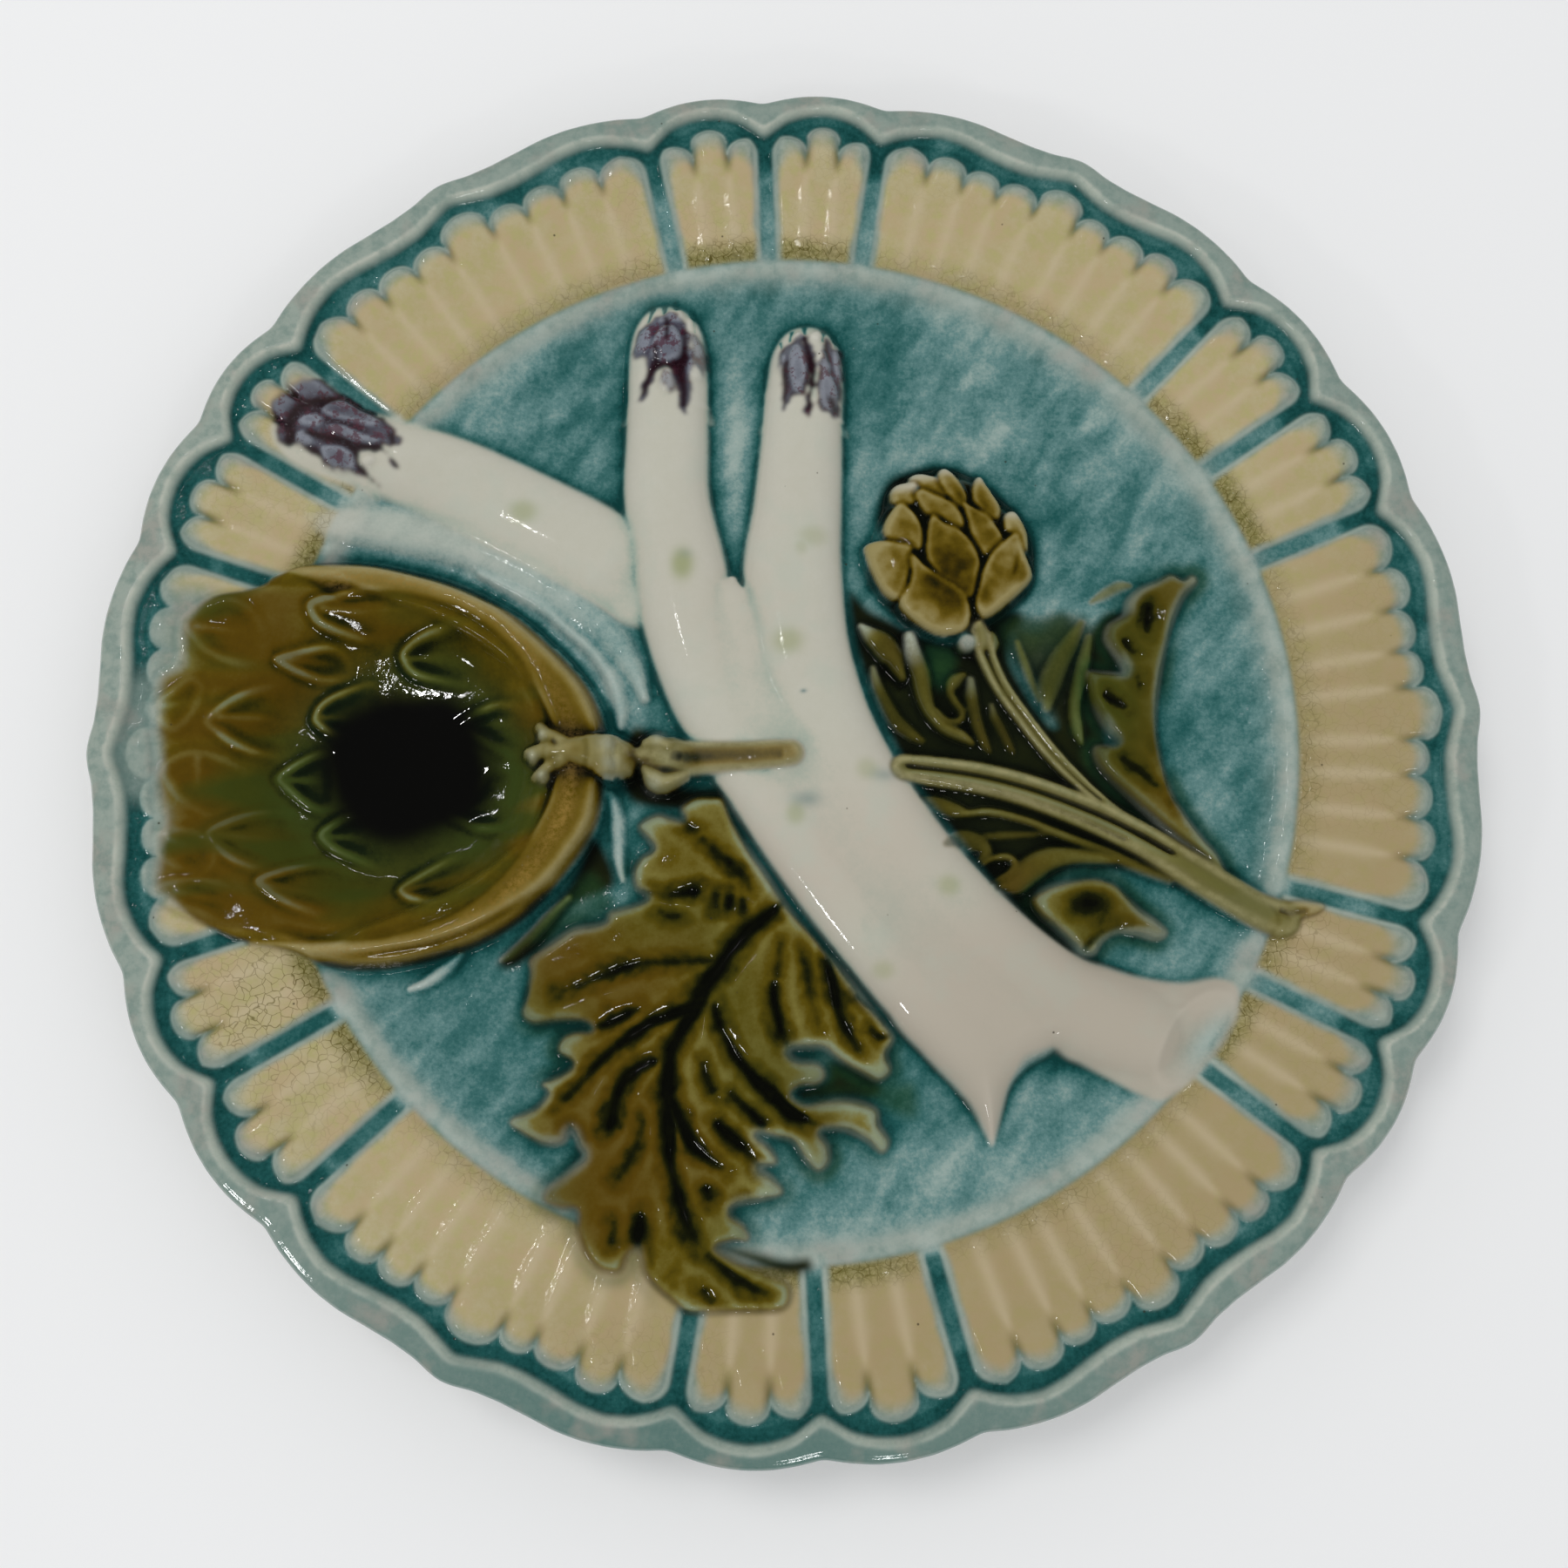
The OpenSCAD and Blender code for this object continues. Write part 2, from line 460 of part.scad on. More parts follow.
// Raised ribs of the large leaf, on top of its blade
module leaf_veins() {
    color([0.5, 0.46, 0.2])
    intersection() {
        translate([0, 0, floor_h]) linear_extrude(height = 20)
            for (v = [[[-3, -33], [-13, -45], [-18, -58], [-18, -72], [-12, -86], [-5, -93]],
                      [[-16.6, -42], [-24, -39.6], [-32, -41], [-41, -45]],
                      [[-20.4, -54], [-27, -52], [-36, -57]],
                      [[-21.6, -65], [-28, -64.4], [-36, -68]],
                      [[-21.4, -75], [-27, -77.4], [-33, -80]],
                      [[-7.6, -41], [-8.6, -52], [-3, -61], [10, -66]],
                      [[0.6, -37], [6, -43], [13, -54]]])
                polygon(rib_outline(v, 1.2, 0.5));
        skin(leaf_t - 0.05, leaf_t + 0.7);
    }
}

module leaf_right() {
    color([0.46, 0.4, 0.1])
    follow([[73, 30], [68, 30], [63, 26], [61, 22], [58, 21], [58, 17], [60, 14], [55, 12],
            [54, 8], [57, 2], [55, -1], [56, -6], [62, -12], [69, -18.4], [75, -23.6], [71, -16],
            [67, -8], [65, 0], [66, 8], [68, 18], [71, 25]], leaf_t);
}

module leaf_left() {
    color([0.42, 0.38, 0.12])
    follow([[13, 22], [17, 21], [20, 16], [21, 19], [24, 18], [25, 12], [27, 6], [29, 3],
            [31, 4], [28, 8], [29, 11], [32, 12], [33, 9], [36, 10], [40, 2], [42, -2],
            [38, -3.4], [28, -2], [20.4, -1.6], [17, 4], [14, 12]], leaf_t - 0.4);
}

module leaf_lower() {
    color([0.44, 0.38, 0.12])
    follow([[26, -9.4], [36, -10.4], [48, -14], [60, -20], [64, -23.6], [62, -28], [66, -34],
            [58, -32], [54, -36], [51, -38], [46, -35.6], [40, -30], [34, -24.6], [29, -18]], leaf_t - 0.2);
}

plate_body();
foot_ring();
edge_lip();
well_ring();
wide_panels();
narrow_panels();
spear_left();
spear_centre();
spear_right();
asparagus_tips();
sauce_bowl();
sauce_lip();
sauce_scales();
stem_knuckle();
sauce_stem();
artichoke_bud();
bud_scales();
bud_stem();
long_stem();
cut_end();
leaf_large();
leaf_veins();
leaf_right();
leaf_left();
leaf_lower();
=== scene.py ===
import math

import bpy
import numpy as np
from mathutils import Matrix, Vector
from mathutils.geometry import delaunay_2d_cdt


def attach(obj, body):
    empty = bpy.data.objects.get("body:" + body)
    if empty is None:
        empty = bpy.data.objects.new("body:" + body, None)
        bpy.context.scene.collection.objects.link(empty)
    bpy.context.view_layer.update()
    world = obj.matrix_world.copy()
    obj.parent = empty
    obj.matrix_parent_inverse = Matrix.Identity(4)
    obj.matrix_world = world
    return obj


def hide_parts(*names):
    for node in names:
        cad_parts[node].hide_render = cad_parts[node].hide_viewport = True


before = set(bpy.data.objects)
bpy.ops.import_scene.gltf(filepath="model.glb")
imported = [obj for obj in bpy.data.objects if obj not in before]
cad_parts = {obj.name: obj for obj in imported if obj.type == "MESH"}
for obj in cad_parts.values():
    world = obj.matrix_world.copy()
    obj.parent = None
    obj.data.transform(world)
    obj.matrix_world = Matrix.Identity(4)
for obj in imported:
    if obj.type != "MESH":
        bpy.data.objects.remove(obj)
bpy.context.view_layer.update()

# The plate is one glazed casting, so its whole upper side is worked out first
# as one height field over the plan, in millimetres: the turned base, then each
# moulded element laid on it.  Each visual piece is a closed solid cut from that
# field where its element is on top.  Glaze kinds and glaze depth are fields too;
# the depth field also carries painted shade and painted highlights.

P = 0.3
HALF = 122.1
N = 2 * int(round(HALF / P)) + 1
AX = (np.arange(N) - (N - 1) / 2) * P
X, Y = np.meshgrid(AX, AX)
R = np.hypot(X, Y)
PH = np.degrees(np.arctan2(Y, X)) % 360


# ---------------------------------------------------------------- field kit
def ss(t):
    t = np.clip(t, 0, 1)
    return t * t * (3 - 2 * t)


def smax(a, b, k):
    h = np.clip(k - np.abs(a - b), 0, None) / k
    return np.maximum(a, b) + h * h * k * 0.25


def smin(a, b, k):
    return -smax(-a, -b, k)


FQ = np.fft.fftfreq(N, P)[:, None] ** 2 + np.fft.rfftfreq(N, P)[None, :] ** 2


def blur(f, s):
    return np.fft.irfft2(np.fft.rfft2(f) * np.exp(-2 * np.pi ** 2 * s * s * FQ), s=f.shape)


def noise(seed, s, lo=0.0, hi=1.0):
    """Seeded smooth noise of feature size s, spread over lo to hi."""
    g = np.random.default_rng(seed).standard_normal((N, N))
    g = blur(g, s)
    g = g / g.std()
    return lo + (hi - lo) * np.clip(0.5 + 0.25 * g, 0, 1)


def noise2(seed, sx, sy, ang):
    """Seeded noise stretched along ang, as brush strokes are."""
    g = np.random.default_rng(seed).standard_normal((N, N))
    fy, fx = np.fft.fftfreq(N, P)[:, None], np.fft.rfftfreq(N, P)[None, :]
    c, s = math.cos(math.radians(ang)), math.sin(math.radians(ang))
    u, v = fx * c + fy * s, -fx * s + fy * c
    g = np.fft.irfft2(np.fft.rfft2(g) * np.exp(-2 * np.pi ** 2 * ((sx * u) ** 2 + (sy * v) ** 2)), s=g.shape)
    return g / g.std()


def spline(pts, step=0.7, closed=False):
    """Smooth path through hand-set points; each may carry more values."""
    p = np.array(pts, float)
    n = len(p)
    out = []
    for i in range(n if closed else n - 1):
        if closed:
            a, b, c, d = p[i - 1], p[i], p[(i + 1) % n], p[(i + 2) % n]
        else:
            a, b, c, d = p[max(0, i - 1)], p[i], p[i + 1], p[min(n - 1, i + 2)]
        m = max(1, int(math.ceil(np.hypot(*(c - b)[:2]) / step)))
        t = (np.arange(m) / m)[:, None]
        out.append(0.5 * (2 * b + (c - a) * t + (2 * a - 5 * b + 4 * c - d) * t * t + (3 * b - a - 3 * c + d) * t ** 3))
    if not closed:
        out.append(p[-1:])
    return np.concatenate(out)


def window(p, pad):
    lo, hi = p[:, :2].min(0) - pad, p[:, :2].max(0) + pad
    i0, j0 = [max(0, int(math.floor((v - AX[0]) / P))) for v in lo]
    i1, j1 = [min(N, int(math.ceil((v - AX[0]) / P)) + 1) for v in hi]
    return slice(j0, j1), slice(i0, i1)


class Line:
    """Distance d from a path, with the path's half width w there, the share t
    of its length, and the side it lies on."""

    def __init__(self, pts, pad=4.0, smooth=True):
        p = spline(pts) if smooth else np.array(pts, float)
        if p.shape[1] == 2:
            p = np.hstack([p, np.ones((len(p), 1))])
        self.sl = window(p, pad)
        x, y = X[self.sl], Y[self.sl]
        d2 = np.full(x.shape, 1e6)
        w = np.zeros(x.shape)
        t = np.zeros(x.shape)
        side = np.zeros(x.shape)
        h = np.zeros(x.shape)
        r0, c0 = self.sl[0].start, self.sl[1].start
        length = np.concatenate([[0], np.cumsum(np.hypot(*np.diff(p[:, :2], axis=0).T))])
        for i in range(len(p) - 1):
            a, b = p[i], p[i + 1]
            e = b[:2] - a[:2]
            q = float(e @ e)
            if q < 1e-9:
                continue
            s = window(p[i:i + 2], pad)
            s = slice(s[0].start - r0, s[0].stop - r0), slice(s[1].start - c0, s[1].stop - c0)
            u, v = x[s] - a[0], y[s] - a[1]
            k = np.clip((u * e[0] + v * e[1]) / q, 0, 1)
            g = (u - k * e[0]) ** 2 + (v - k * e[1]) ** 2
            near = g < d2[s]
            d2[s] = np.where(near, g, d2[s])
            w[s] = np.where(near, a[2] + k * (b[2] - a[2]), w[s])
            t[s] = np.where(near, (length[i] + k * (length[i + 1] - length[i])) / length[-1], t[s])
            side[s] = np.where(near, np.sign(e[0] * v - e[1] * u), side[s])
            if p.shape[1] > 3:
                h[s] = np.where(near, a[3] + k * (b[3] - a[3]), h[s])
        self.d, self.w, self.t, self.side, self.h = np.sqrt(d2), w, t, side, h


class Area:
    """Distance inside a closed outline: positive inside, negative outside."""

    def __init__(self, pts, pad=6.0, smooth=True):
        p = spline(pts, 0.8, True) if smooth else np.array(pts, float)[:, :2]
        q = np.vstack([p, p[:1]])
        line = Line(q, pad, smooth=False)
        self.sl = line.sl
        x, y = X[self.sl], Y[self.sl]
        cross = np.zeros((x.shape[0], x.shape[1] + 1), int)
        ys, x0 = y[:, 0], x[0, 0]
        for a, b in zip(q[:-1], q[1:]):
            if a[1] == b[1]:
                continue
            rows = np.nonzero((ys > min(a[1], b[1])) & (ys <= max(a[1], b[1])))[0]
            cx = a[0] + (ys[rows] - a[1]) / (b[1] - a[1]) * (b[0] - a[0])
            col = np.clip(np.ceil((cx - x0) / P).astype(int), 0, x.shape[1])
            np.add.at(cross, (rows, col), 1)
        inside = np.cumsum(cross, 1)[:, :-1] % 2 == 1
        self.d = np.where(inside, 1, -1) * np.minimum(line.d, 40)


# ------------------------------------------------------------ the turned base
PROFILE = [(0, 9.4), (66, 9.4), (72, 9.7), (80, 11.2), (86, 12.8), (92, 13.9), (100, 15.5), (110, 17.6), (114, 18.15), (118, 18.3), (190, 18.3)]
BASE = np.interp(R, *zip(*PROFILE))
BASE = blur(BASE, 1.6)

GROOVES = [21, 33, 45, 81.5, 92.5, 103.5, 142, 152.5, 164, 201, 212.5, 224.5, 261, 273, 285.5, 321, 332, 343]
# share of the panel's width: outer edge of the lip, its inner crest
NARROW_OUT = [(0, 118.5), (0.17, 119.4), (0.33, 120), (0.5, 120.2), (0.67, 120), (0.83, 119.4), (1, 118.5)]
WIDE_OUT = [(0, 118.5), (0.06, 119.4), (0.12, 119.9), (0.18, 120.1), (0.24, 119.9), (0.3, 119.3), (0.37, 118.9), (0.43, 119.1),
            (0.47, 119.8), (0.5, 120.1), (0.53, 119.8), (0.57, 119.1), (0.63, 118.9), (0.7, 119.3), (0.76, 119.9), (0.82, 120.1),
            (0.88, 119.9), (0.94, 119.4), (1, 118.5)]
NARROW_IN = [(0, 111.9), (0.08, 113.4), (0.2, 115.3), (0.35, 116.4), (0.5, 116.8), (0.65, 116.4), (0.8, 115.3), (0.92, 113.4), (1, 111.9)]
WIDE_IN = [(0, 111.9), (0.04, 113.6), (0.09, 115), (0.15, 115.8), (0.21, 115.4), (0.27, 114.4), (0.34, 113.7), (0.4, 113.8),
           (0.45, 114.8), (0.5, 115.9), (0.55, 114.8), (0.6, 113.8), (0.66, 113.7), (0.73, 114.4), (0.79, 115.4), (0.85, 115.8),
           (0.91, 115), (0.96, 113.6), (1, 111.9)]
NARROW_CUT = [0.0, 0.345, 0.645, 1.0]
NARROW_TOP = [112.0, 113.7, 112.1]
WIDE_CUT = [0.0, 0.138, 0.24, 0.338, 0.435, 0.563, 0.657, 0.757, 0.857, 1.0]
WIDE_TOP = [112.3, 112.3, 111.5, 110.8, 113.2, 111.0, 111.3, 112.2, 112.3]


def ring_curve(narrow, wide):
    """Radius against angle, from the two repeating tables, softened."""
    ph = np.arange(0, 360, 0.1)
    out = np.zeros(len(ph))
    for i in range(18):
        a, b = GROOVES[i], GROOVES[(i + 1) % 18] + (360 if i == 17 else 0)
        for k in (0, 360):
            m = (ph + k >= a) & (ph + k < b)
            t = (ph[m] + k - a) / (b - a)
            out[m] = np.interp(t, *zip(*(wide if i % 3 == 2 else narrow)))
    f = np.fft.rfft(out)
    q = np.fft.rfftfreq(len(ph), 0.1)
    return np.fft.irfft(f * np.exp(-2 * np.pi ** 2 * 0.35 ** 2 * q * q), n=len(ph))


def around(curve, ph):
    return np.interp(ph % 360, np.arange(0, 360.1, 0.1), np.append(curve, curve[0]))


OUT_CURVE, IN_CURVE = ring_curve(NARROW_OUT, WIDE_OUT), ring_curve(NARROW_IN, WIDE_IN)
R_OUT, R_IN = around(OUT_CURVE, PH), around(IN_CURVE, PH)

H = BASE.copy()
OWNER = np.zeros((N, N), np.int16)
LABELS = ["well_floor"]
GLAZE = {}
KINDS = ["olive", "amber", "cream", "ivory", "purple", "dark", "lip", "green"]
for kind in KINDS:
    GLAZE[kind] = np.zeros((N, N))
PALE_AND_HIGHLIGHT = np.zeros((N, N))                     # thin, nearly white glaze on raised edges, and a painted highlight along the lip's inner crest


def label(name):
    if name not in LABELS:
        LABELS.append(name)
    return LABELS.index(name)


def paint(kind, sl, w):
    """Lays one kind of glaze over the others, w from 0 to 1."""
    w = np.clip(w, 0, 1)
    if kind not in ("lip", "cream"):
        PALE_AND_HIGHLIGHT[sl] *= 1 - w
    for other in KINDS:
        GLAZE[other][sl] *= 1 - w
    GLAZE[kind][sl] += w


def lay(name, sl, z, on, k=0.35):
    """Puts a moulded element on the field where its own height wins."""
    z = np.where(on, z, -50)
    wins = z > H[sl] - 0.02
    H[sl] = np.where(on, smax(H[sl], z, k), H[sl])
    OWNER[sl] = np.where(wins, label(name), OWNER[sl])


ALL = (slice(0, N), slice(0, N))

# --------------------------------------------------------------- rim and well
# lip: sharp inner crest over the channel, soft crown, falling to the edge
s = (R - R_IN) / (R_OUT - R_IN)
lip_z = 18.0 + 1.7 * ss((R - R_IN + 0.7) / 1.0) + 0.22 * np.exp(-((R - R_IN - 0.45) / 0.45) ** 2) + 0.3 * np.sin(np.pi * np.clip(s, 0, 1)) - 0.9 * np.clip((R - R_OUT + 2.2) / 2.2, 0, 1) ** 2
lip_on = R > R_IN - 1.0
H = np.where(lip_on, np.maximum(H, lip_z), H)
OWNER[R > R_IN - 0.5] = label("edge_lip")
paint("lip", ALL, ss((R - R_IN + 0.6) / 0.6))
# painted highlight: a pale, broken line along the lip's inner crest, where the lamps glint on the ridge
PALE_AND_HIGHLIGHT += 0.75 * np.exp(-((R - R_IN - 0.15) / 0.42) ** 2) * noise(34, 2.0, 0.5, 1.15)

# channel and grooves lie on the base, a little sunk
panel_edge = np.full((N, N), -9.0)          # distance inside the nearest panel
panel_side = np.full((N, N), -9.0)          # the same, but open at the inner end
flute_v = np.zeros((N, N))                  # 1 in the valley between two flutes
flute_c = np.zeros((N, N))                  # 1 on a flute's crown
panel_of = np.zeros((N, N), int)
for i in range(18):
    a, b = GROOVES[i], GROOVES[(i + 1) % 18] + (360 if i == 17 else 0)
    wide = i % 3 == 2
    ph = np.where(PH < a - 8, PH + 360, PH)
    m = (ph > a - 1) & (ph < b + 1) & (R > 84) & (R < 119)
    r, q = R[m], ph[m]
    t = np.clip((q - a) / (b - a), 0, 1)
    cut, top = (WIDE_CUT, WIDE_TOP) if wide else (NARROW_CUT, NARROW_TOP)
    rng = np.random.default_rng(40 + i)
    cut = np.array(cut) + np.concatenate([[0], rng.uniform(-0.008, 0.008, len(cut) - 2), [0]]) * (1 if wide else 2)
    top = np.array(top) + rng.uniform(-0.35, 0.35, len(top))
    f_i = np.clip(np.searchsorted(cut, t, side="right") - 1, 0, len(top) - 1)
    lo, hi = cut[f_i], cut[f_i + 1]
    f = np.clip((t - lo) / (hi - lo), 0, 1)
    c = 1 - (2 * f - 1) ** 2
    width = np.radians(b - a) * r * (hi - lo)
    end = top[f_i] - 0.36 * width * (1 - np.sqrt(np.clip(c, 0, 1)))
    # outermost flutes round off towards the cusps
    groove = 1.42
    sa, sb = r * np.sin(np.radians(q - a)) - groove, r * np.sin(np.radians(b - q)) - groove
    side = np.minimum(sa, sb)
    end = np.minimum(end, around(IN_CURVE, q) - 2.3)
    corner = smin(side, end - r, 2.2)
    d = smin(corner, r - 90.1, 0.8)
    panel_side[m] = np.maximum(panel_side[m], corner)
    valley = np.exp(-(np.minimum(f, 1 - f) * width / (0.62 + 0.7 * ss((105 - r) / 5))) ** 2)
    inner = (f_i > 0) | (f > 0.5)
    inner &= (f_i < len(top) - 1) | (f < 0.5)
    valley = np.where(inner, valley, 0)
    panel_edge[m] = np.maximum(panel_edge[m], d)
    better = d > -0.4
    flute_v[m] = np.where(better, valley, flute_v[m])
    flute_c[m] = np.where(better, c, flute_c[m])
    panel_of[m] = np.where(d > -0.6, i + 1, panel_of[m])
fade = ss((R - 101) / 8)
rise = 1.15 * ss((panel_edge + 0.25) / 1.6) ** 0.8
flutes = flute_c * (-0.22 + 0.75 * fade) - flute_v * (-0.16 + 1.3 * ss((R - 103.5) / 5))
panel_z = BASE + rise + ss(panel_edge / 1.6) * flutes
panel_z += 0.06 * noise(7, 1.6, -1, 1) * ss(panel_edge / 2)
drown = ss((-97 - X) / 6) * ss((30 - np.abs(Y + 3)) / 5)
panel_z = panel_z * (1 - 0.75 * drown) + (BASE + 0.9) * 0.75 * drown
on = panel_edge > -0.35
H = np.where(on, smax(H, panel_z, 0.25), H)
for i in range(18):
    OWNER[(panel_of == i + 1) & (panel_edge > -0.1)] = label(("wide_panel_%d" if i % 3 == 2 else "narrow_panel_%d") % (i + 1))
paint("lip", ALL, 0.9 * np.exp(-((R - 88.1) / (2.1 + 0.9 * ss((X + Y) / 80))) ** 2) * noise(35, 1.4, 0.5, 1.1))
hug = ss((R - 105) / 5)                     # the pale margin is wider at the fingertips
paint("lip", ALL, 0.85 * ss((panel_side + 0.3) / 0.7) * ss((R - 88.9) / 1.0))
reach = 0.55 + 0.45 * ss((X + Y + 60) / 120)
paint("cream", ALL, ss((panel_side - 0.2 - 0.4 * hug * reach + 0.3 * noise(52, 1.2, -1, 1)) / (1.4 + 3.6 * hug * reach)) * ss((R - 89.3) / 1.0))

PALE_AND_HIGHLIGHT = np.maximum(PALE_AND_HIGHLIGHT, (0.6 - 0.5 * drown) * np.exp(-((panel_side - 0.4) / 0.36) ** 2) * ss((R - 89.6) / 1.0) * noise(36, 2.4, 0.3, 1.1) * (R < R_IN))
paint("lip", ALL, 0.9 * drown * ss((panel_side + 0.3) / 1.0))
paint("lip", ALL, 0.75 * drown * ss((14 - np.abs(Y + 2)) / 6) * (R < R_IN) * (1 - np.clip(sum(np.exp(-((X - a) / 1.0) ** 2 - ((Y - b - 0.4 * (X - a)) / 3.2) ** 2) for a, b in ((-116.6, -2.4), (-115.4, -13.2), (-114, 10))), 0, 1)))
# bead round the well
H += 0.75 * np.exp(-(np.abs(R - 88.3) / 1.75) ** 2.6) * ss((90.9 - R) / 1.2)
OWNER[(R > 85.6) & (R < 90.5)] = label("well_ring")

# brush marks and slow swells of the well floor
H += (0.05 * noise2(11, 3.5, 1.2, 60) + 0.1 * noise(12, 9, -1, 1)) * ss((86 - R) / 6)

# ------------------------------------------------------------------ asparagus
SPEAR_C = [(-22.4, 66, 7.5), (-22.4, 56, 7.8), (-22.2, 44, 8.1), (-19.6, 30, 8.9), (-16.4, 16, 8.3), (-11.4, 4, 7.9), (-3.2, -9, 7.6),
           (5.6, -22, 7.4), (15.4, -35, 7.3), (26, -47, 7.4), (32, -53.6, 7.2)]
SPEAR_R = [(2.6, 64, 7.3), (2.3, 54, 7.8), (1.6, 42, 8.4), (0.8, 30, 9.3), (2.4, 15, 9.3), (7.6, 0, 8.9), (15.8, -14, 8.7),
           (26.4, -27.5, 8.5), (38.5, -39, 8.2), (51, -47.5, 7.9), (60, -51, 8.0)]
SPEAR_L = [(-80, 52.5, 6.6), (-74, 51, 7.6), (-60, 46.5, 8.6), (-46, 40, 9.0), (-34, 33.5, 9.0), (-27, 28, 8)]


def spear(name, pts, high, end=0.0, k=0.5):
    ln = Line(pts, 13)
    u = ln.d / np.maximum(ln.w, 0.3)
    prof = np.clip(1 - u ** 2.3, 0, 1) ** 0.62
    h = high * (1 - end * ss((ln.t - 0.86) / 0.14))
    z = BASE[ln.sl] * 0.85 + 0.15 * 9.4 + h * prof
    lay(name, ln.sl, z, u < 1.0, k)
    return ln, u


ln, u = spear("spear_left", SPEAR_L, 3.0, 0.5)
paint("ivory", ln.sl, ss((1.04 - u) / 0.2))
# a second, lower fold lies along the spear's lower side
ln2 = Line([(-82, 37.5, 3.4), (-72, 37.8, 4.2), (-60, 36, 4.4), (-50, 32, 4.2), (-41, 26.5, 3.8), (-33, 20, 3.2), (-28, 13, 2.2), (-25.5, 7, 1)], 8)
u2 = ln2.d / np.maximum(ln2.w, 0.1)
lay("spear_left", ln2.sl, BASE[ln2.sl] + 1.7 * np.clip(1 - u2 ** 2, 0, 1) ** 0.6, u2 < 1, 0.8)
paint("ivory", ln2.sl, 0.55 * ss((1.05 - u2) / 0.7) * ss((-30 - X[ln2.sl]) / 30))
ln, u = spear("spear_centre", SPEAR_C, 4.3, 0.0)
paint("ivory", ln.sl, ss((1.03 - u) / 0.14))
ln, u = spear("spear_right", SPEAR_R, 4.3, 0.0)
paint("ivory", ln.sl, ss((1.03 - u) / 0.14))
# the two full spears lean on each other: their joint is filled almost level
ln = Line([(-10, 29, 0.8), (-9.4, 25, 2.0), (-8.2, 18, 3.0), (-7, 10, 3.2), (-4, 4, 3.2), (4, -8, 3.2), (12, -19, 3.2), (22, -33, 3.2), (30, -42.2, 3.0), (35.5, -47.6, 1.6)], 6)
u = ln.d / np.maximum(ln.w, 0.2)
lay("spear_right", ln.sl, 9.4 + 3.75 * np.clip(1 - u ** 4, 0, 1) ** 0.7, u < 1, 1.4)
paint("ivory", ln.sl, ss((1.3 - u) / 0.4))
# trimmed ends: the centre one runs to a point, the right one is cut across
END_C = [(20, -40), (30, -38), (40, -42), (50, -49), (48, -53.4), (45, -55.6), (41.6, -57.4), (38.6, -60.6), (37.2, -64.2), (36.2, -67.6), (35.0, -70.6), (33.6, -68.2), (31.4, -64), (28, -60), (23.6, -55.4), (18, -48.6)]
END_R = [(43, -37.4), (47, -37.6), (54, -39.4), (61, -41.6), (68, -42.6), (74, -41.8), (77, -43.4), (77.2, -47.4), (75, -51.8), (71.6, -56.4), (67.6, -60.4), (63.6, -62.8), (60, -62.0), (55, -59.4), (50.6, -57), (46.6, -54.8), (38, -46)]
for pts, name, high in ((END_C, "spear_centre", 4.25), (END_R, "spear_right", 4.25)):
    ar = Area(pts, 4)
    e = ar.d
    z = 9.4 + (BASE[ar.sl] - 9.4) * 0.7 + high * np.clip(1 - np.clip(1 - e / 7.6, 0, 1) ** 2.3, 0, 1) ** 0.62 * (1 - 0.4 * ss((X[ar.sl] + 0.6 * -Y[ar.sl] - 70) / 30))
    lay(name, ar.sl, z, e > 0, 1.2)
    if name == "spear_centre":
        paint("ivory", ar.sl, ss((e + 0.3) / (1.2 + 2.4 * ss((X[ar.sl] - 37) / 4) * ss((-50 - Y[ar.sl]) / 6))))
    else:
        paint("ivory", ar.sl, ss((e + 0.3) / 1.2))
# the cut face: an oval hollow with a fine raised border
fx, fy = (X - 68.6) * 0.66 + (Y + 52.6) * -0.75, (X - 68.6) * 0.75 + (Y + 52.6) * 0.66
oval = np.hypot(fx / 4.2, fy / 10.2)
oval = np.hypot(((X - 69.4) * 0.78 - (Y + 52.2) * 0.62) / 4.6, ((X - 69.4) * 0.62 + (Y + 52.2) * 0.78) / 9.6)
H += 0.42 * np.exp(-((oval - 1.0) / 0.14) ** 2) * (X > 60) * (Y < -42) - 0.95 * np.exp(-(oval / 0.62) ** 3) * (X > 60)
hollow = np.exp(-(((X - 71.6) * 0.78 - (Y + 52.6) * 0.62) / 2.1) ** 2 - (((X - 71.6) * 0.62 + (Y + 52.6) * 0.78) / 6.0) ** 2)


def scale(name, pts, high, crest=0.35, dish=0.15, k=0.25, base=None, shoulder=0.7, tilt=None):
    """One bract: a low cushion with a fine raised border."""
    ar = Area(pts, 3)
    e = ar.d
    b = (BASE if base is None else base)[ar.sl]
    h = high * ss((e + 0.35) / 1.1) ** 0.7 + crest * np.exp(-((e - shoulder) / 0.55) ** 2) - dish * ss(e / 3)
    if tilt is not None:
        (x0, y0), (x1, y1), gain = tilt
        q = ((X[ar.sl] - x0) * (x1 - x0) + (Y[ar.sl] - y0) * (y1 - y0)) / ((x1 - x0) ** 2 + (y1 - y0) ** 2)
        h += gain * np.clip(q, 0, 1)
    lay(name, ar.sl, b + h, e > -0.3, k)
    return ar


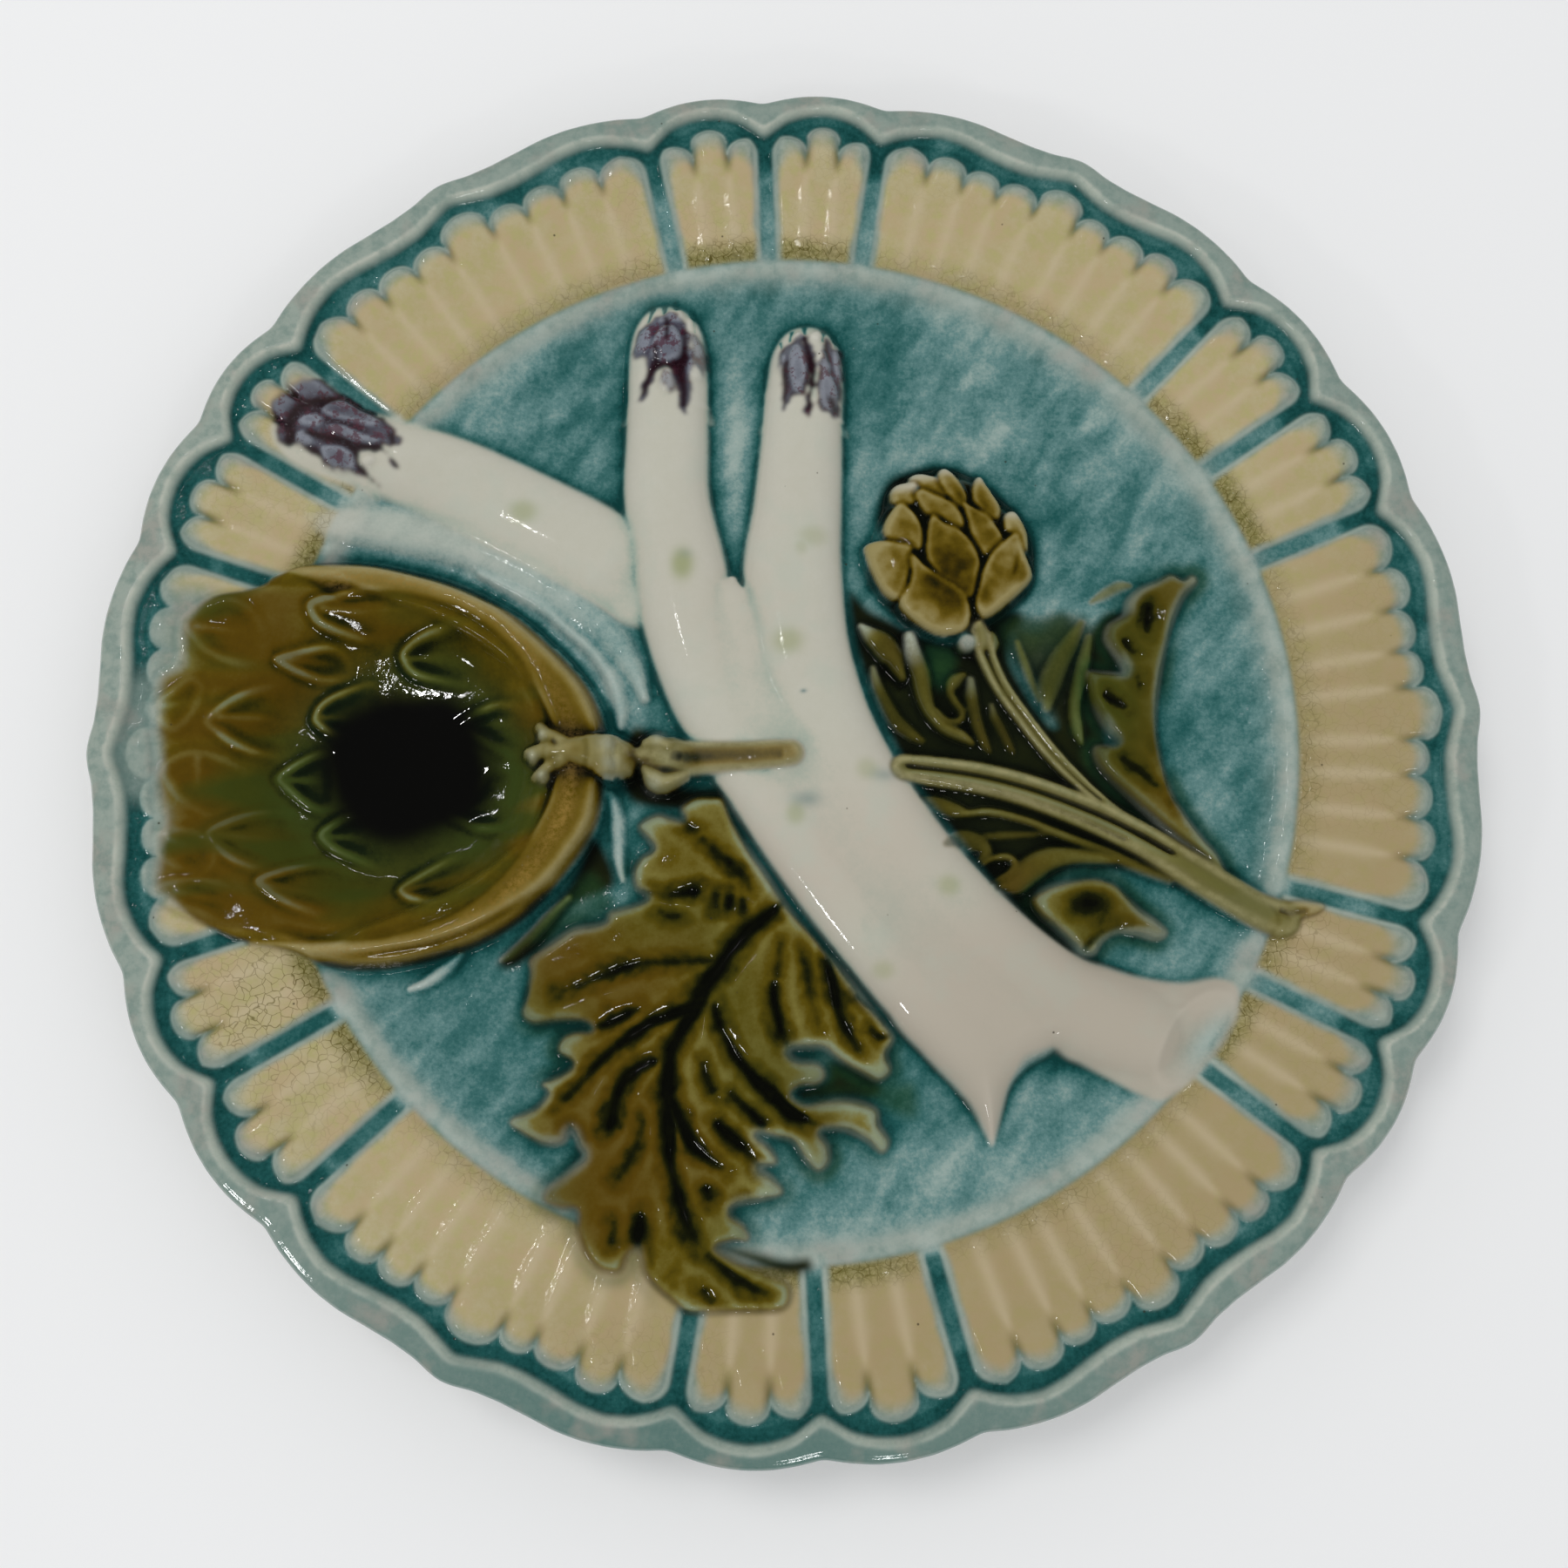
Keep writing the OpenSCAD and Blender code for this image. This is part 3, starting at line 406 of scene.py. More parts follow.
# tips: ivory head, then its bracts, then the purple that the heads carry
def head(name, x, y, a, l, w, high):
    ca, sa = math.cos(math.radians(a)), math.sin(math.radians(a))
    pts = []
    for v, q in [(-0.25, 1), (0, 1), (0.25, 1.0), (0.5, 0.97), (0.68, 0.89), (0.82, 0.74), (0.93, 0.52), (0.985, 0.26), (1.0, 0)]:
        pts.append((x + l * v * ca - w * q * sa, y + l * v * sa + w * q * ca))
    for v, q in [(0.985, 0.26), (0.93, 0.52), (0.82, 0.74), (0.68, 0.89), (0.5, 0.97), (0.25, 1.0), (0, 1), (-0.25, 1)]:
        pts.append((x + l * v * ca + w * q * sa, y + l * v * sa - w * q * ca))
    ar = Area(pts, 6)
    xs, ys = X[ar.sl] - x, Y[ar.sl] - y
    v = (xs * ca + ys * sa) / l
    q = (-xs * sa + ys * ca) / w
    body = high * np.clip(1 - np.clip(1 - ar.d / w, 0, 1) ** 2.3, 0, 1) ** 0.6
    z = BASE[ar.sl] * 0.85 + 0.15 * 9.4 + body * (1 - 0.25 * ss((v - 0.5) / 0.5))
    on = (ar.d > 0) & (v > -0.05)
    H[ar.sl] = np.where(on, smax(H[ar.sl], z, 0.3), H[ar.sl])
    OWNER[ar.sl] = np.where((ar.d > -0.1) & (v > 0.0), label(name), OWNER[ar.sl])
    paint("ivory", ar.sl, ss((ar.d + 0.2) / 1.4) * (v > -0.2))
    return ar


head("tip_centre", -22.3, 62.5, 91, 18.8, 7.6, 4.3)
head("tip_right", 2.8, 60.5, 88, 17.6, 7.4, 4.3)
head("tip_left", -75.5, 51.2, 166, 17.5, 7.4, 3.1)


def bract(name, pts, high=0.55, crest=0.22, k=0.12, shoulder=0.6):
    ar = Area(pts, 3)
    e = ar.d
    lift = high * ss((e + 0.15) / 0.9) + crest * np.exp(-((e - shoulder) / 0.4) ** 2)
    before = H[ar.sl].copy()
    H[ar.sl] = before + np.where(e > -0.15, lift, 0)
    return ar


def cut(pts, depth, pad=3.0, power=2.0):
    """A groove pressed into what is already there."""
    ln = Line(pts, pad)
    u = ln.d / np.maximum(ln.w, 0.15)
    H[ln.sl] -= depth * np.exp(-(u ** power)) * ss(np.minimum(ln.t, 1 - ln.t) / 0.04 + 0.35)
    return ln, u


TIP_BRACTS = {
    "centre": [[(-25.6, 70.5), (-25, 73.8), (-22.6, 76.6), (-20.6, 75.6), (-19.3, 72.8), (-19.5, 70.4), (-22, 68.9), (-24.4, 69.2)],
               [(-19.2, 71), (-19.6, 74.8), (-17.8, 75.6), (-16.2, 73.4), (-15.8, 71.4), (-17.6, 70.6)],
               [(-28.3, 71.8), (-27.6, 75), (-25.6, 75.9), (-25.2, 73), (-26.2, 71.2)],
               [(-23.8, 66.4), (-22.4, 68.4), (-21.2, 67.2), (-20.8, 64.6), (-22.4, 63.4), (-23.9, 64.6)],
               [(-18.7, 66.8), (-18.6, 70), (-17.2, 70.2), (-15.9, 68), (-16.2, 66.4)],
               [(-24.2, 77), (-22, 79.8), (-19.8, 79.9), (-19.4, 77.4), (-21.6, 76.8)],
               [(-19, 76), (-18.6, 78.8), (-16.8, 78), (-15.8, 74.6), (-17.4, 75.4)]],
    "right": [[(-0.3, 69), (0, 71.8), (1.2, 73.4), (2.6, 71.6), (3.4, 69), (3.4, 66.4), (2, 63.4), (0.8, 64), (0, 66.4)],
              [(4.8, 68.4), (5, 71.4), (5.9, 73.3), (7.2, 71), (7.6, 68.4), (6.4, 67.4)],
              [(5.2, 63.6), (5.4, 66.6), (6.8, 68.2), (8.4, 66.6), (9.2, 63.2), (8.4, 60.8), (6.2, 61)],
              [(8, 70.4), (8.2, 73.2), (9.4, 72.8), (9.9, 70), (9.6, 66.4), (8.6, 67.6)],
              [(-2, 68.6), (-1.8, 71), (-0.8, 71.4), (-0.6, 69), (-1.2, 67.4)],
              [(0.2, 74.6), (1.4, 76.4), (2.8, 75.6), (2.2, 74.2)], [(3.6, 74.4), (4, 76), (5.4, 76.8), (6.4, 75.4), (5.6, 73.9)],
              [(7.8, 73.8), (8.2, 75), (9.8, 73.4), (9, 73)]],
    "left": [[(-88.2, 52.2), (-88, 53.4), (-86.4, 54), (-84.8, 52.6), (-85.2, 51), (-87.2, 50.6)],
             [(-87.8, 55), (-87.6, 56.2), (-86, 57.2), (-83.6, 56.8), (-83.4, 54.8), (-85.6, 54.3)],
             [(-84, 57.6), (-83, 59.6), (-80, 60.2), (-76, 58.4), (-73.5, 56.6), (-75, 55.2), (-79, 55.8), (-82, 56.4)],
             [(-82.6, 55), (-80, 55.4), (-76.4, 54), (-73.4, 53), (-75, 51.8), (-78.6, 52.2), (-81.6, 53.4)],
             [(-83.8, 50.6), (-83, 51.4), (-80, 51.4), (-77.6, 50), (-77.4, 47.6), (-80, 46.6), (-83, 48)],
             [(-77, 48.6), (-76.2, 50), (-74.6, 50.2), (-74, 49), (-75.6, 47.8)]],
}
for key, sets in TIP_BRACTS.items():
    for pts in sets:
        bract("tip_" + key, pts, 0.6 if key != "left" else 0.5, 0.25)
# purple colour: drips and wash, given outlines over the heads
PURPLE = [
    ([(-28.9, 70.8), (-28.4, 73.7), (-27.3, 76.2), (-25.2, 78), (-23.1, 79), (-21, 79.2), (-19.6, 77.9), (-18.7, 75.9), (-17.9, 73.4), (-17.6, 71), (-17.6, 69.2),
      (-17.9, 67.4), (-17.7, 64.8), (-18.1, 61.1), (-18.8, 59.4), (-19.8, 60), (-20.1, 62.7), (-21.1, 66), (-22.2, 68), (-23.3, 68), (-24.8, 65.4), (-25.9, 62.9),
      (-26.7, 61.8), (-27.7, 62.4), (-27.5, 64.2), (-26.3, 66.7), (-26.1, 68.8), (-27.2, 70.3)], 1.0),
    ([(-23.4, 68), (-23.9, 66.2), (-22.8, 64.1), (-21.7, 63), (-20.8, 63.9), (-21, 66), (-22.1, 67.8)], 0.75),
    ([(-18, 74.8), (-16.6, 74.4), (-15.6, 72.6), (-15.2, 70.4), (-15.5, 68.1), (-15.9, 66.3), (-16.5, 68.2), (-17.6, 69), (-18.2, 71.6)], 0.75),
    ([(-2.4, 70.8), (-1.7, 72.6), (0, 73.9), (1.7, 74.8), (3.1, 73.6), (4, 71.1), (4.2, 67.8), (3.6, 65), (2.7, 63.2), (1.3, 63.2), (0.4, 63.1), (-0.2, 61.7),
      (-1, 60.5), (-1.4, 61.7), (-1.3, 64.1), (-1.6, 67), (-2.1, 69)], 0.97),
    ([(1.7, 75.4), (3, 75.6), (4.2, 73.6), (5.3, 69.9), (5.1, 66.6), (4.5, 63.3), (4.2, 60.1), (3.5, 59.1), (2.5, 60.1), (3, 62.5), (3.4, 65.8), (3.3, 69.9), (2.4, 72.3)], 1.0),
    ([(5, 69.1), (5.8, 70.6), (6.2, 72.8), (6, 74.9), (7.3, 75.5), (8.2, 73.6), (9.6, 73.1), (10.1, 69.9), (9.9, 65.8), (9.6, 62.6), (9.3, 60.1), (7.7, 59.6), (5.6, 60.8),
      (5.1, 62.5), (5, 65.4)], 0.95),
    ([(-92.6, 59.6), (-91.2, 61.2), (-89.8, 62.8), (-86, 64), (-83, 63.3), (-79.4, 61), (-76.7, 59.3), (-73.6, 57.7), (-71.6, 55.7), (-69.7, 52.8), (-71, 52.1),
      (-72.7, 51.7), (-71.7, 50.1), (-70.5, 48.6), (-69.4, 47.4), (-70.8, 48), (-72.3, 49.9), (-73.2, 50.9), (-74.7, 50.5), (-76.8, 50.5), (-77, 49.3), (-75.7, 47.3),
      (-73.7, 45.6), (-72.5, 44), (-74.4, 45), (-77.1, 46.4), (-80.2, 47), (-83.4, 48.2), (-85.6, 50), (-88.3, 51), (-91, 51.4), (-91.9, 54.3), (-92.6, 57.4)], 0.97),
]
paint_purple = np.zeros((N, N))
fringe = np.zeros((N, N))
RAG = noise(33, 0.45, -0.4, 0.4)
for pts, w in PURPLE:
    ar = Area(pts, 3)
    ragged = ar.d + RAG[ar.sl]
    feather = 1.6 * ss((-84 - X[ar.sl]) / 5) * ss((Y[ar.sl] - 57) / 4)
    paint_purple[ar.sl] = np.maximum(paint_purple[ar.sl], w * ss((ragged + 0.15) / (0.5 + feather)))
    fringe[ar.sl] = np.maximum(fringe[ar.sl], 0.75 * w * np.exp(-((ragged - 0.35) / 0.45) ** 2))
paint("purple", ALL, np.clip(blur(paint_purple, 0.16), 0, 1))
# the tops stay pale and teal: fine upright folds between small bracts
TOP_FOLDS = [[(-23.2, 81.2, 0.4), (-22.9, 77.8, 0.3)], [(-20.9, 81.5, 0.4), (-21, 77.5, 0.3)], [(-18.1, 80, 0.4), (-17.4, 75.7, 0.3)], [(-25.2, 80, 0.4), (-26, 77, 0.3)],
             [(2.8, 77.4, 0.4), (2.7, 74.7, 0.3)], [(6.3, 77.2, 0.4), (6.1, 74.4, 0.4)], [(0.5, 76.3, 0.4), (0.1, 74.2, 0.3)], [(8.2, 76, 0.4), (8.5, 73.5, 0.3)], [(-1.6, 74.4, 0.3), (-1.2, 72.2, 0.3)]]
fold_tint = np.zeros((N, N))
for pts in TOP_FOLDS:
    ln = Line(pts, 3)
    w = np.exp(-(ln.d / np.maximum(ln.w, 0.1)) ** 2)
    H[ln.sl] -= 0.35 * w
    fold_tint[ln.sl] = np.maximum(fold_tint[ln.sl], w)
tops = np.exp(-((X + 21.6) / 6.5) ** 2 - ((Y - 80.6) / 2.6) ** 2) + np.exp(-((X - 4.2) / 6.5) ** 2 - ((Y - 77) / 2.2) ** 2)
fold_tint = np.clip(fold_tint + 0.4 * tops, 0, 1)
# where the purple runs deep: between bracts and down each drip
RUNS = [[(-26.8, 63.8, 1.0), (-25.6, 67, 1.1), (-24.4, 69, 0.9), (-24.6, 72, 0.4)], [(-19.3, 61.4, 0.8), (-19.3, 64.4, 1.0), (-20, 68, 1.2), (-19.2, 71, 0.9), (-19.1, 75, 0.5)],
        [(-24.4, 68.8, 0.6), (-22.2, 68.6, 0.6), (-20.6, 69, 0.8)], [(-22.6, 77.4, 0.6), (-22.4, 76.4, 0.6), (-22.5, 73.4, 0.3)],
        [(-1, 62, 0.5), (-0.8, 65, 0.8), (-1.2, 68, 0.9), (-0.6, 69.6, 0.5)], [(3.6, 60.9, 0.8), (4.1, 64, 0.9), (4.3, 68, 0.9), (3.6, 71, 0.7), (2.9, 74.3, 0.8)],
        [(6.8, 74.3, 0.5), (6.8, 72.5, 0.4), (7.2, 70, 0.3)], [(7.8, 62.4, 0.9), (8.4, 61, 0.8)],
        [(-90.4, 51, 0.8), (-89, 52.4, 0.9), (-89.2, 55.6, 0.9), (-87.6, 58.4, 0.9), (-84, 59.6, 0.9), (-81, 60.4, 0.5)],
        [(-88, 50.6, 0.7), (-85, 50.4, 0.8), (-83.6, 48.8, 0.6)], [(-86, 53.4, 0.5), (-83, 52.8, 0.8), (-79.6, 52.3, 0.7), (-77.6, 50.6, 0.7), (-76.6, 47.6, 0.7), (-73.8, 44.8, 0.6)],
        [(-77.2, 51.6, 0.5), (-74.6, 51.4, 0.8), (-72, 51.4, 0.8), (-70.6, 48.6, 0.5), (-69.8, 47.8, 0.4)], [(-71.6, 54, 0.7), (-71.2, 52.4, 0.6)]]
deep = fringe * (paint_purple < 0.999)
for pts in RUNS:
    ln = Line(pts, 3)
    w = np.exp(-(ln.d / np.maximum(ln.w, 0.1)) ** 2)
    deep[ln.sl] = np.maximum(deep[ln.sl], w)
    H[ln.sl] -= 0.22 * w

# ----------------------------------------------------------- artichoke bowl
BX, BY = -69.0, -5.0
RB = np.hypot(X - BX, Y - BY)
LIP_TOP = [(-91, 27.2, 2.2), (-84, 27.6, 2.6), (-76, 27.2, 3.0), (-69, 25.6, 3.2), (-60, 22.6, 3.4), (-50, 17.2, 3.8), (-44, 12, 4.2), (-39.6, 6, 4.4), (-37, 0, 4.4)]
LIP_LOW = [(-36.8, -8, 4.4), (-38.6, -15, 4.6), (-44, -22.6, 4.6), (-52, -28.6, 4.2), (-60, -32.6, 3.8), (-69, -35.6, 3.4), (-77, -37.8, 3.0), (-84, -38, 2.2), (-90, -37, 1.6)]
OUTER = [(-84, 30.2), (-77, 30.9), (-70, 30.4), (-60, 28), (-51, 23.4), (-43, 17), (-36, 9.6), (-32.4, 2.6), (-31.6, -3.6), (-32, -10), (-33, -16), (-36.4, -22),
         (-41, -28), (-46, -33), (-53, -37.2), (-61, -40), (-69, -41.6), (-77, -41.4), (-84, -38.6), (-91, -37.4), (-98, -34.6), (-104, -31.6), (-107.6, -29.4),
         (-108, -24), (-107.8, -18), (-109, -12), (-109, -6), (-110.4, 1), (-110.4, 4), (-109.6, 9), (-106.6, 12), (-106.8, 16), (-106, 20), (-101, 23.6),
         (-95, 25.2), (-90, 27.6)]
bowl = Area(OUTER, 8)
dish = np.interp(RB, [0, 9, 14, 17.5, 21, 25, 29, 33, 38, 44], [5.6, 5.7, 5.9, 6.9, 9.2, 12.3, 15.0, 16.6, 17.6, 18.3])
dish = blur(dish, 0.8)
# it climbs to the rim's own height on its left
rimward = ss((-92 - X) / 14)
dish = dish * (1 - rimward) + np.minimum(dish, BASE + 1.2) * rimward
band = np.zeros((N, N)) - 50.0
for pts in (LIP_TOP, LIP_LOW):
    ln = Line(pts, 9)
    end = ss((X[ln.sl] + 96) / 12)
    outer = np.where(ln.side * (1 if pts is LIP_TOP else 1) > 0, 1.15, 0.95)
    u = ln.d / np.maximum(ln.w * outer, 0.1)
    z = 12.2 + (17.9 - 12.2) * np.clip(1 - np.clip(u, 0, 1.2) ** 2.2, -1, 1) * (0.75 + 0.25 * end)
    band[ln.sl] = np.maximum(band[ln.sl], z)
inside = bowl.d
edge_z = BASE[bowl.sl] + 0.2 + (3.8 * ss((inside + 0.4) / 2.6)) * ss((X[bowl.sl] + 99) / 16) + 1.5 * ss((inside + 0.3) / 1.2) * (1 - ss((X[bowl.sl] + 99) / 16))
bz = np.where(RB[bowl.sl] < 27.5, dish[bowl.sl], smin(np.maximum(dish[bowl.sl], 0), edge_z, 1.2))
bz = np.where(inside > -0.4, smax(bz, np.minimum(band[bowl.sl], edge_z + 1.6), 1.0), -50)
inn = inside > -0.3
H[bowl.sl] = np.where(inside > 1.5, bz, np.where(inn, np.maximum(bz, H[bowl.sl] * ss((0.2 - inside) / 0.5) + bz * (1 - ss((0.2 - inside) / 0.5))), H[bowl.sl]))
OWNER[bowl.sl] = np.where(inn, label("sauce_bowl"), OWNER[bowl.sl])
far = ss((-99 - X[bowl.sl]) / 7)
paint("olive", bowl.sl, ss((inside + 0.1 - 0.4 * far + 0.7 * far * noise(37, 1.5, -1, 1)[bowl.sl]) / (0.9 + 2.2 * far)))
lip_w = np.zeros((N, N))
for pts in (LIP_TOP, LIP_LOW):
    ln = Line(pts, 8)
    w = ss((1.25 - ln.d / np.maximum(ln.w * 1.05, 0.1)) / 0.5)
    lip_w[ln.sl] = np.maximum(lip_w[ln.sl], w)
lip_w *= 0
inner_line = np.interp(np.degrees(np.arctan2(Y - BY, X - BX)), [-180, -120, -80, -50, -20, 0, 20, 50, 80, 110, 150, 180], [60, 34, 29.5, 28.2, 27.6, 27.2, 27.2, 28, 28.8, 30, 60, 60])
inner_line = blur(inner_line, 1.5)
lip_w[bowl.sl] = ss((RB[bowl.sl] - inner_line[bowl.sl]) / 1.2) * ss((inside + 0.2) / 0.8)
OWNER[(lip_w > 0.5)] = label("sauce_lip")
crest = np.zeros((N, N))
for pts in (LIP_TOP, LIP_LOW):
    ln = Line(pts, 8)
    crest[ln.sl] = np.maximum(crest[ln.sl], ss((1.15 - ln.d / np.maximum(ln.w, 0.1)) / 0.5))
ridge = crest * (1 - lip_w)                 # the lip's inner flank, still under the bowl's olive
gap_ = np.zeros((N, N))
gap_[bowl.sl] = np.clip(inside, 0, 40)
across = np.clip((RB - inner_line) / np.maximum(RB - inner_line + gap_, 0.5), 0, 1)
# painted highlight: a lighter tan band along the crest of the bowl's lip
crest = 0.66 * np.exp(-((across - 0.42) / 0.15) ** 2) * lip_w * ss((X + 90) / 12) * (gap_ > 0) * noise(77, 2.2, 0.35, 1.3)
paint("amber", ALL, lip_w)
# groove where the lip meets the bracts
H -= 0.8 * np.exp(-((RB - inner_line) / 0.8) ** 2) * (RB < 40) * (bowl_in := np.where(np.abs(X) < 200, 1, 0)) * ss((X + 88) / 6) * (X < -38)

SAUCE = BASE * 0 + H
# bracts in the bowl: outline, lift, and the ribs drawn on them
BOWL_SCALES = [
    ([(-101.3, 1), (-98.6, 4.6), (-93.4, 8), (-87.4, 9.4), (-84.6, 6), (-84.4, 0), (-86.4, -4.2), (-92, -4.6), (-96, -3.6), (-99.4, -1.4)], [(-98.6, 1.8), (-92, 2.4), (-87, 2)]),
    ([(-107.6, -8), (-105.6, -5), (-101.4, -3.8), (-97, -5), (-94, -7), (-94, -12.4), (-98, -16.2), (-101.8, -15), (-105.6, -12)], [(-101.6, -5.4), (-101.2, -11)]),
    ([(-99.6, -18.6), (-96.6, -15.8), (-91.4, -13.4), (-86, -13.6), (-83.6, -16), (-83.4, -22), (-86.6, -25), (-92, -24.8), (-96.6, -22.4)], [(-97, -18.8), (-88, -19)]),
    ([(-90.4, -8), (-88.2, -5.4), (-83.6, -2.8), (-80, -3), (-78.6, -8), (-79.4, -13.4), (-83.4, -14), (-87.8, -11)], [(-88, -8.2), (-81, -8.2)]),
    ([(-82.6, -18), (-80, -15.2), (-75.4, -13.2), (-70, -13), (-66.8, -17), (-66.4, -24), (-69.4, -25.4), (-75, -23.2), (-79.8, -21)], [(-80.6, -18.2), (-74, -18.4)]),
    ([(-90.8, -26.6), (-87.6, -24), (-81.6, -22.2), (-76, -23.4), (-69, -26.4), (-67.4, -30), (-69.4, -33.2), (-76, -33.8), (-82.6, -32), (-87.6, -29.6)], [(-89, -27.2), (-80, -28.8)]),
    ([(-67.8, -27), (-63.4, -23.8), (-57.4, -20.6), (-52, -19.6), (-48.4, -22), (-50, -27), (-55, -30.2), (-61, -30.6), (-66, -29.4)], [(-65.6, -27.4), (-57.6, -25)]),
    ([(-84.8, 3), (-83.4, 6.2), (-79, 8.8), (-73.6, 10.2), (-70.6, 6.6), (-72.4, 0), (-76.6, -1.6), (-80.6, -0.6), (-83.4, 1)], [(-83, 3.2), (-77, 3)]),
    ([(-90.6, 12.8), (-86.8, 14.8), (-81.4, 16.2), (-78, 14), (-78, 10.4), (-82.6, 9.2), (-88, 10.6)], [(-88, 12.8), (-81, 13)]),
    ([(-84.8, 22.2), (-82, 24), (-75, 25.6), (-68, 25), (-64, 21.6), (-67, 18), (-74, 16.4), (-80, 17.4), (-83.6, 19)], [(-82, 21.6), (-72, 21.2)]),
    ([(-69.8, 14.6), (-68, 17.2), (-63, 19.4), (-55, 20.6), (-50, 17), (-50, 11.6), (-56, 8.6), (-63, 9.4), (-67.6, 11)], [(-68, 14), (-60, 14.4)]),
    ([(-105.6, 18), (-103.4, 21), (-98.6, 23.4), (-94, 21.8), (-91, 17), (-92, 11.4), (-97, 10.8), (-102.4, 13.4)], [(-103, 17.6), (-95, 16.8)]),
    ([(-110, 3), (-107.2, 6.2), (-103.6, 9), (-101, 7), (-102.6, 1.6), (-105.4, -1.4), (-108.4, 0)], [(-108, 3.2), (-104, 4)]),
    ([(-108, -19), (-103, -17.4), (-98.6, -19), (-96.6, -23), (-99, -26.4), (-104, -25), (-107, -22.6)], [(-105, -20), (-100, -21)]),
    ([(-107, -28), (-102, -26), (-95.6, -26.6), (-90, -30), (-87, -33.6), (-92, -35.4), (-99, -33), (-105, -30.6)], [(-103, -28.6), (-94, -30.6)]),
    ([(-59.6, 1.6), (-56.4, 4.6), (-51.4, 6.6), (-46.4, 5.2), (-43.6, 1), (-43.6, -3), (-48, -4.4), (-54, -1.6)], [(-57, 2), (-50, 2.4)]),
    ([(-60.4, -13.6), (-57.4, -16), (-53, -17.4), (-47.6, -16.4), (-43.6, -12.4), (-42.6, -8), (-46, -5), (-53, -5.4), (-56, -9)], [(-56, -12.6), (-49, -11)]),
]
BOWLZ = H.copy()
# paler glaze on each bract's raised rim and ribs, less a painted shadow with pooled glaze under its edge
SCALE_RIM_AND_SHADOW = np.zeros((N, N))
for n_, (pts, rib) in enumerate(BOWL_SCALES):
    ar = Area(pts, 3)
    e = ar.d
    x0, y0 = pts[0]
    away = np.hypot(X[ar.sl] - x0, Y[ar.sl] - y0)
    span = 15.0
    keep = (1 - ss((away - 3.5) / 11.5)) * (1 - 0.7 * ss((-96 - X[ar.sl]) / 6))
    lift = (0.7 * ss((e + 0.25) / 1.0) + 0.26 * np.exp(-((e - 0.75) / 0.45) ** 2) - 0.25 * ss((e - 0.8) / 2.4)) * keep
    ln = Line([(*q, 1.0) for q in rib], 3)
    rb = np.zeros((N, N))
    rb[ln.sl] = 0.22 * np.exp(-(ln.d / 0.6) ** 2) * (1 - 0.8 * ln.t)
    lift = lift + rb[ar.sl]
    onn = e > -0.25
    wet = 1 - 0.85 * ss((1.25 - np.hypot((X[ar.sl] + 66.2) / 15.2, (Y[ar.sl] + 6.0) / 13.8)) / 0.3)
    H[ar.sl] = np.where(onn, np.maximum(H[ar.sl], BOWLZ[ar.sl] + lift * wet), H[ar.sl])
    ok = onn & (e > 0.0) & ((OWNER[ar.sl] == label("sauce_bowl")) | (OWNER[ar.sl] == label("sauce_lip")))
    OWNER[ar.sl] = np.where(ok, label("sauce_scales"), OWNER[ar.sl])
    # a dip under each edge, and in colour a dark line there: painted shadow with pooled glaze
    H[ar.sl] -= 0.12 * np.exp(-((e + 0.6) / 0.6) ** 2) * keep * wet
    line = np.exp(-((e - 0.75) / 0.62) ** 2) * keep
    over = np.maximum(line, 0.55 * (rb[ar.sl] / 0.22) * (e > 0) * (1 - ss((away - 7) / 6))) * wet
    # under: painted shadow with pooled glaze just outside each edge, and a darker band inside behind the rim
    under = 0.4 * np.exp(-((e + 0.6) / 0.8) ** 2) * keep + (0.75 * np.exp(-((e - 2.3) / 1.2) ** 2) * keep + 0.25 * ss((e - 1.0) / 1.5) * (1 - ss((away - 8) / 8))) * (1 - over)
    SCALE_RIM_AND_SHADOW[ar.sl] = np.where(e > 0, over - under, np.where(e > -1.2, SCALE_RIM_AND_SHADOW[ar.sl] - under, SCALE_RIM_AND_SHADOW[ar.sl]))

H += 0.05 * noise(68, 1.1, -1, 1) * np.clip(blur((OWNER == label("sauce_scales")) * 1.0 + (OWNER == label("sauce_bowl")) * 1.0, 0.6), 0, 1) * ss((RB - 17) / 3)
# liquid glaze has filled the bottom
pool_r = np.hypot((X + 67.8) / 15.6, (Y + 5.8) / 14.4)
pool_r = pool_r + 0.07 * noise(31, 3.0, -1, 1)
level = 7.15 + 0.25 * np.clip(1 - (np.hypot(X + 66.5, Y + 5.0) / 17) ** 2, -1, 1)
H = np.where((RB < 24), smax(H, np.where(RB < 24, level, -50), 0.4), H)
pool = ss((1.22 - pool_r) / 0.42)
green_halo = ss((1.75 - pool_r) / 0.6)
paint("green", ALL, 0.3 * green_halo * (RB < 27))

# jagged calyx strip right of the lip
for pts in ([(-56, 30, 0.6), (-51, 27.6, 1.3), (-45, 24.4, 1.5), (-40, 20, 1.2), (-35, 15.6, 1.3), (-31.4, 10.4, 1.6), (-29.8, 5.4, 1.6), (-29.6, 1.6, 0.9)],
            [(-31.4, -10, 1.2), (-30, -14, 1.5), (-29.6, -18, 1.5), (-29.4, -22, 1.2), (-28.6, -25.6, 0.5)],
            [(-38, -28.6, 0.8), (-41.4, -32, 1.3), (-44.6, -35.6, 1.3), (-47.6, -38.4, 1.1), (-49.4, -39.6, 0.5)],
            [(-56, -38.4, 0.6), (-58.6, -41, 1.3), (-62, -43.6, 1.1), (-64.6, -44.6, 0.5)]):
    ln = Line(pts, 5)
    u = ln.d / np.maximum(ln.w, 0.1)
    lay("calyx_strip", ln.sl, BASE[ln.sl] + 1.5 * np.clip(1 - u * u, 0, 1) ** 0.9, u < 1, 1.0)


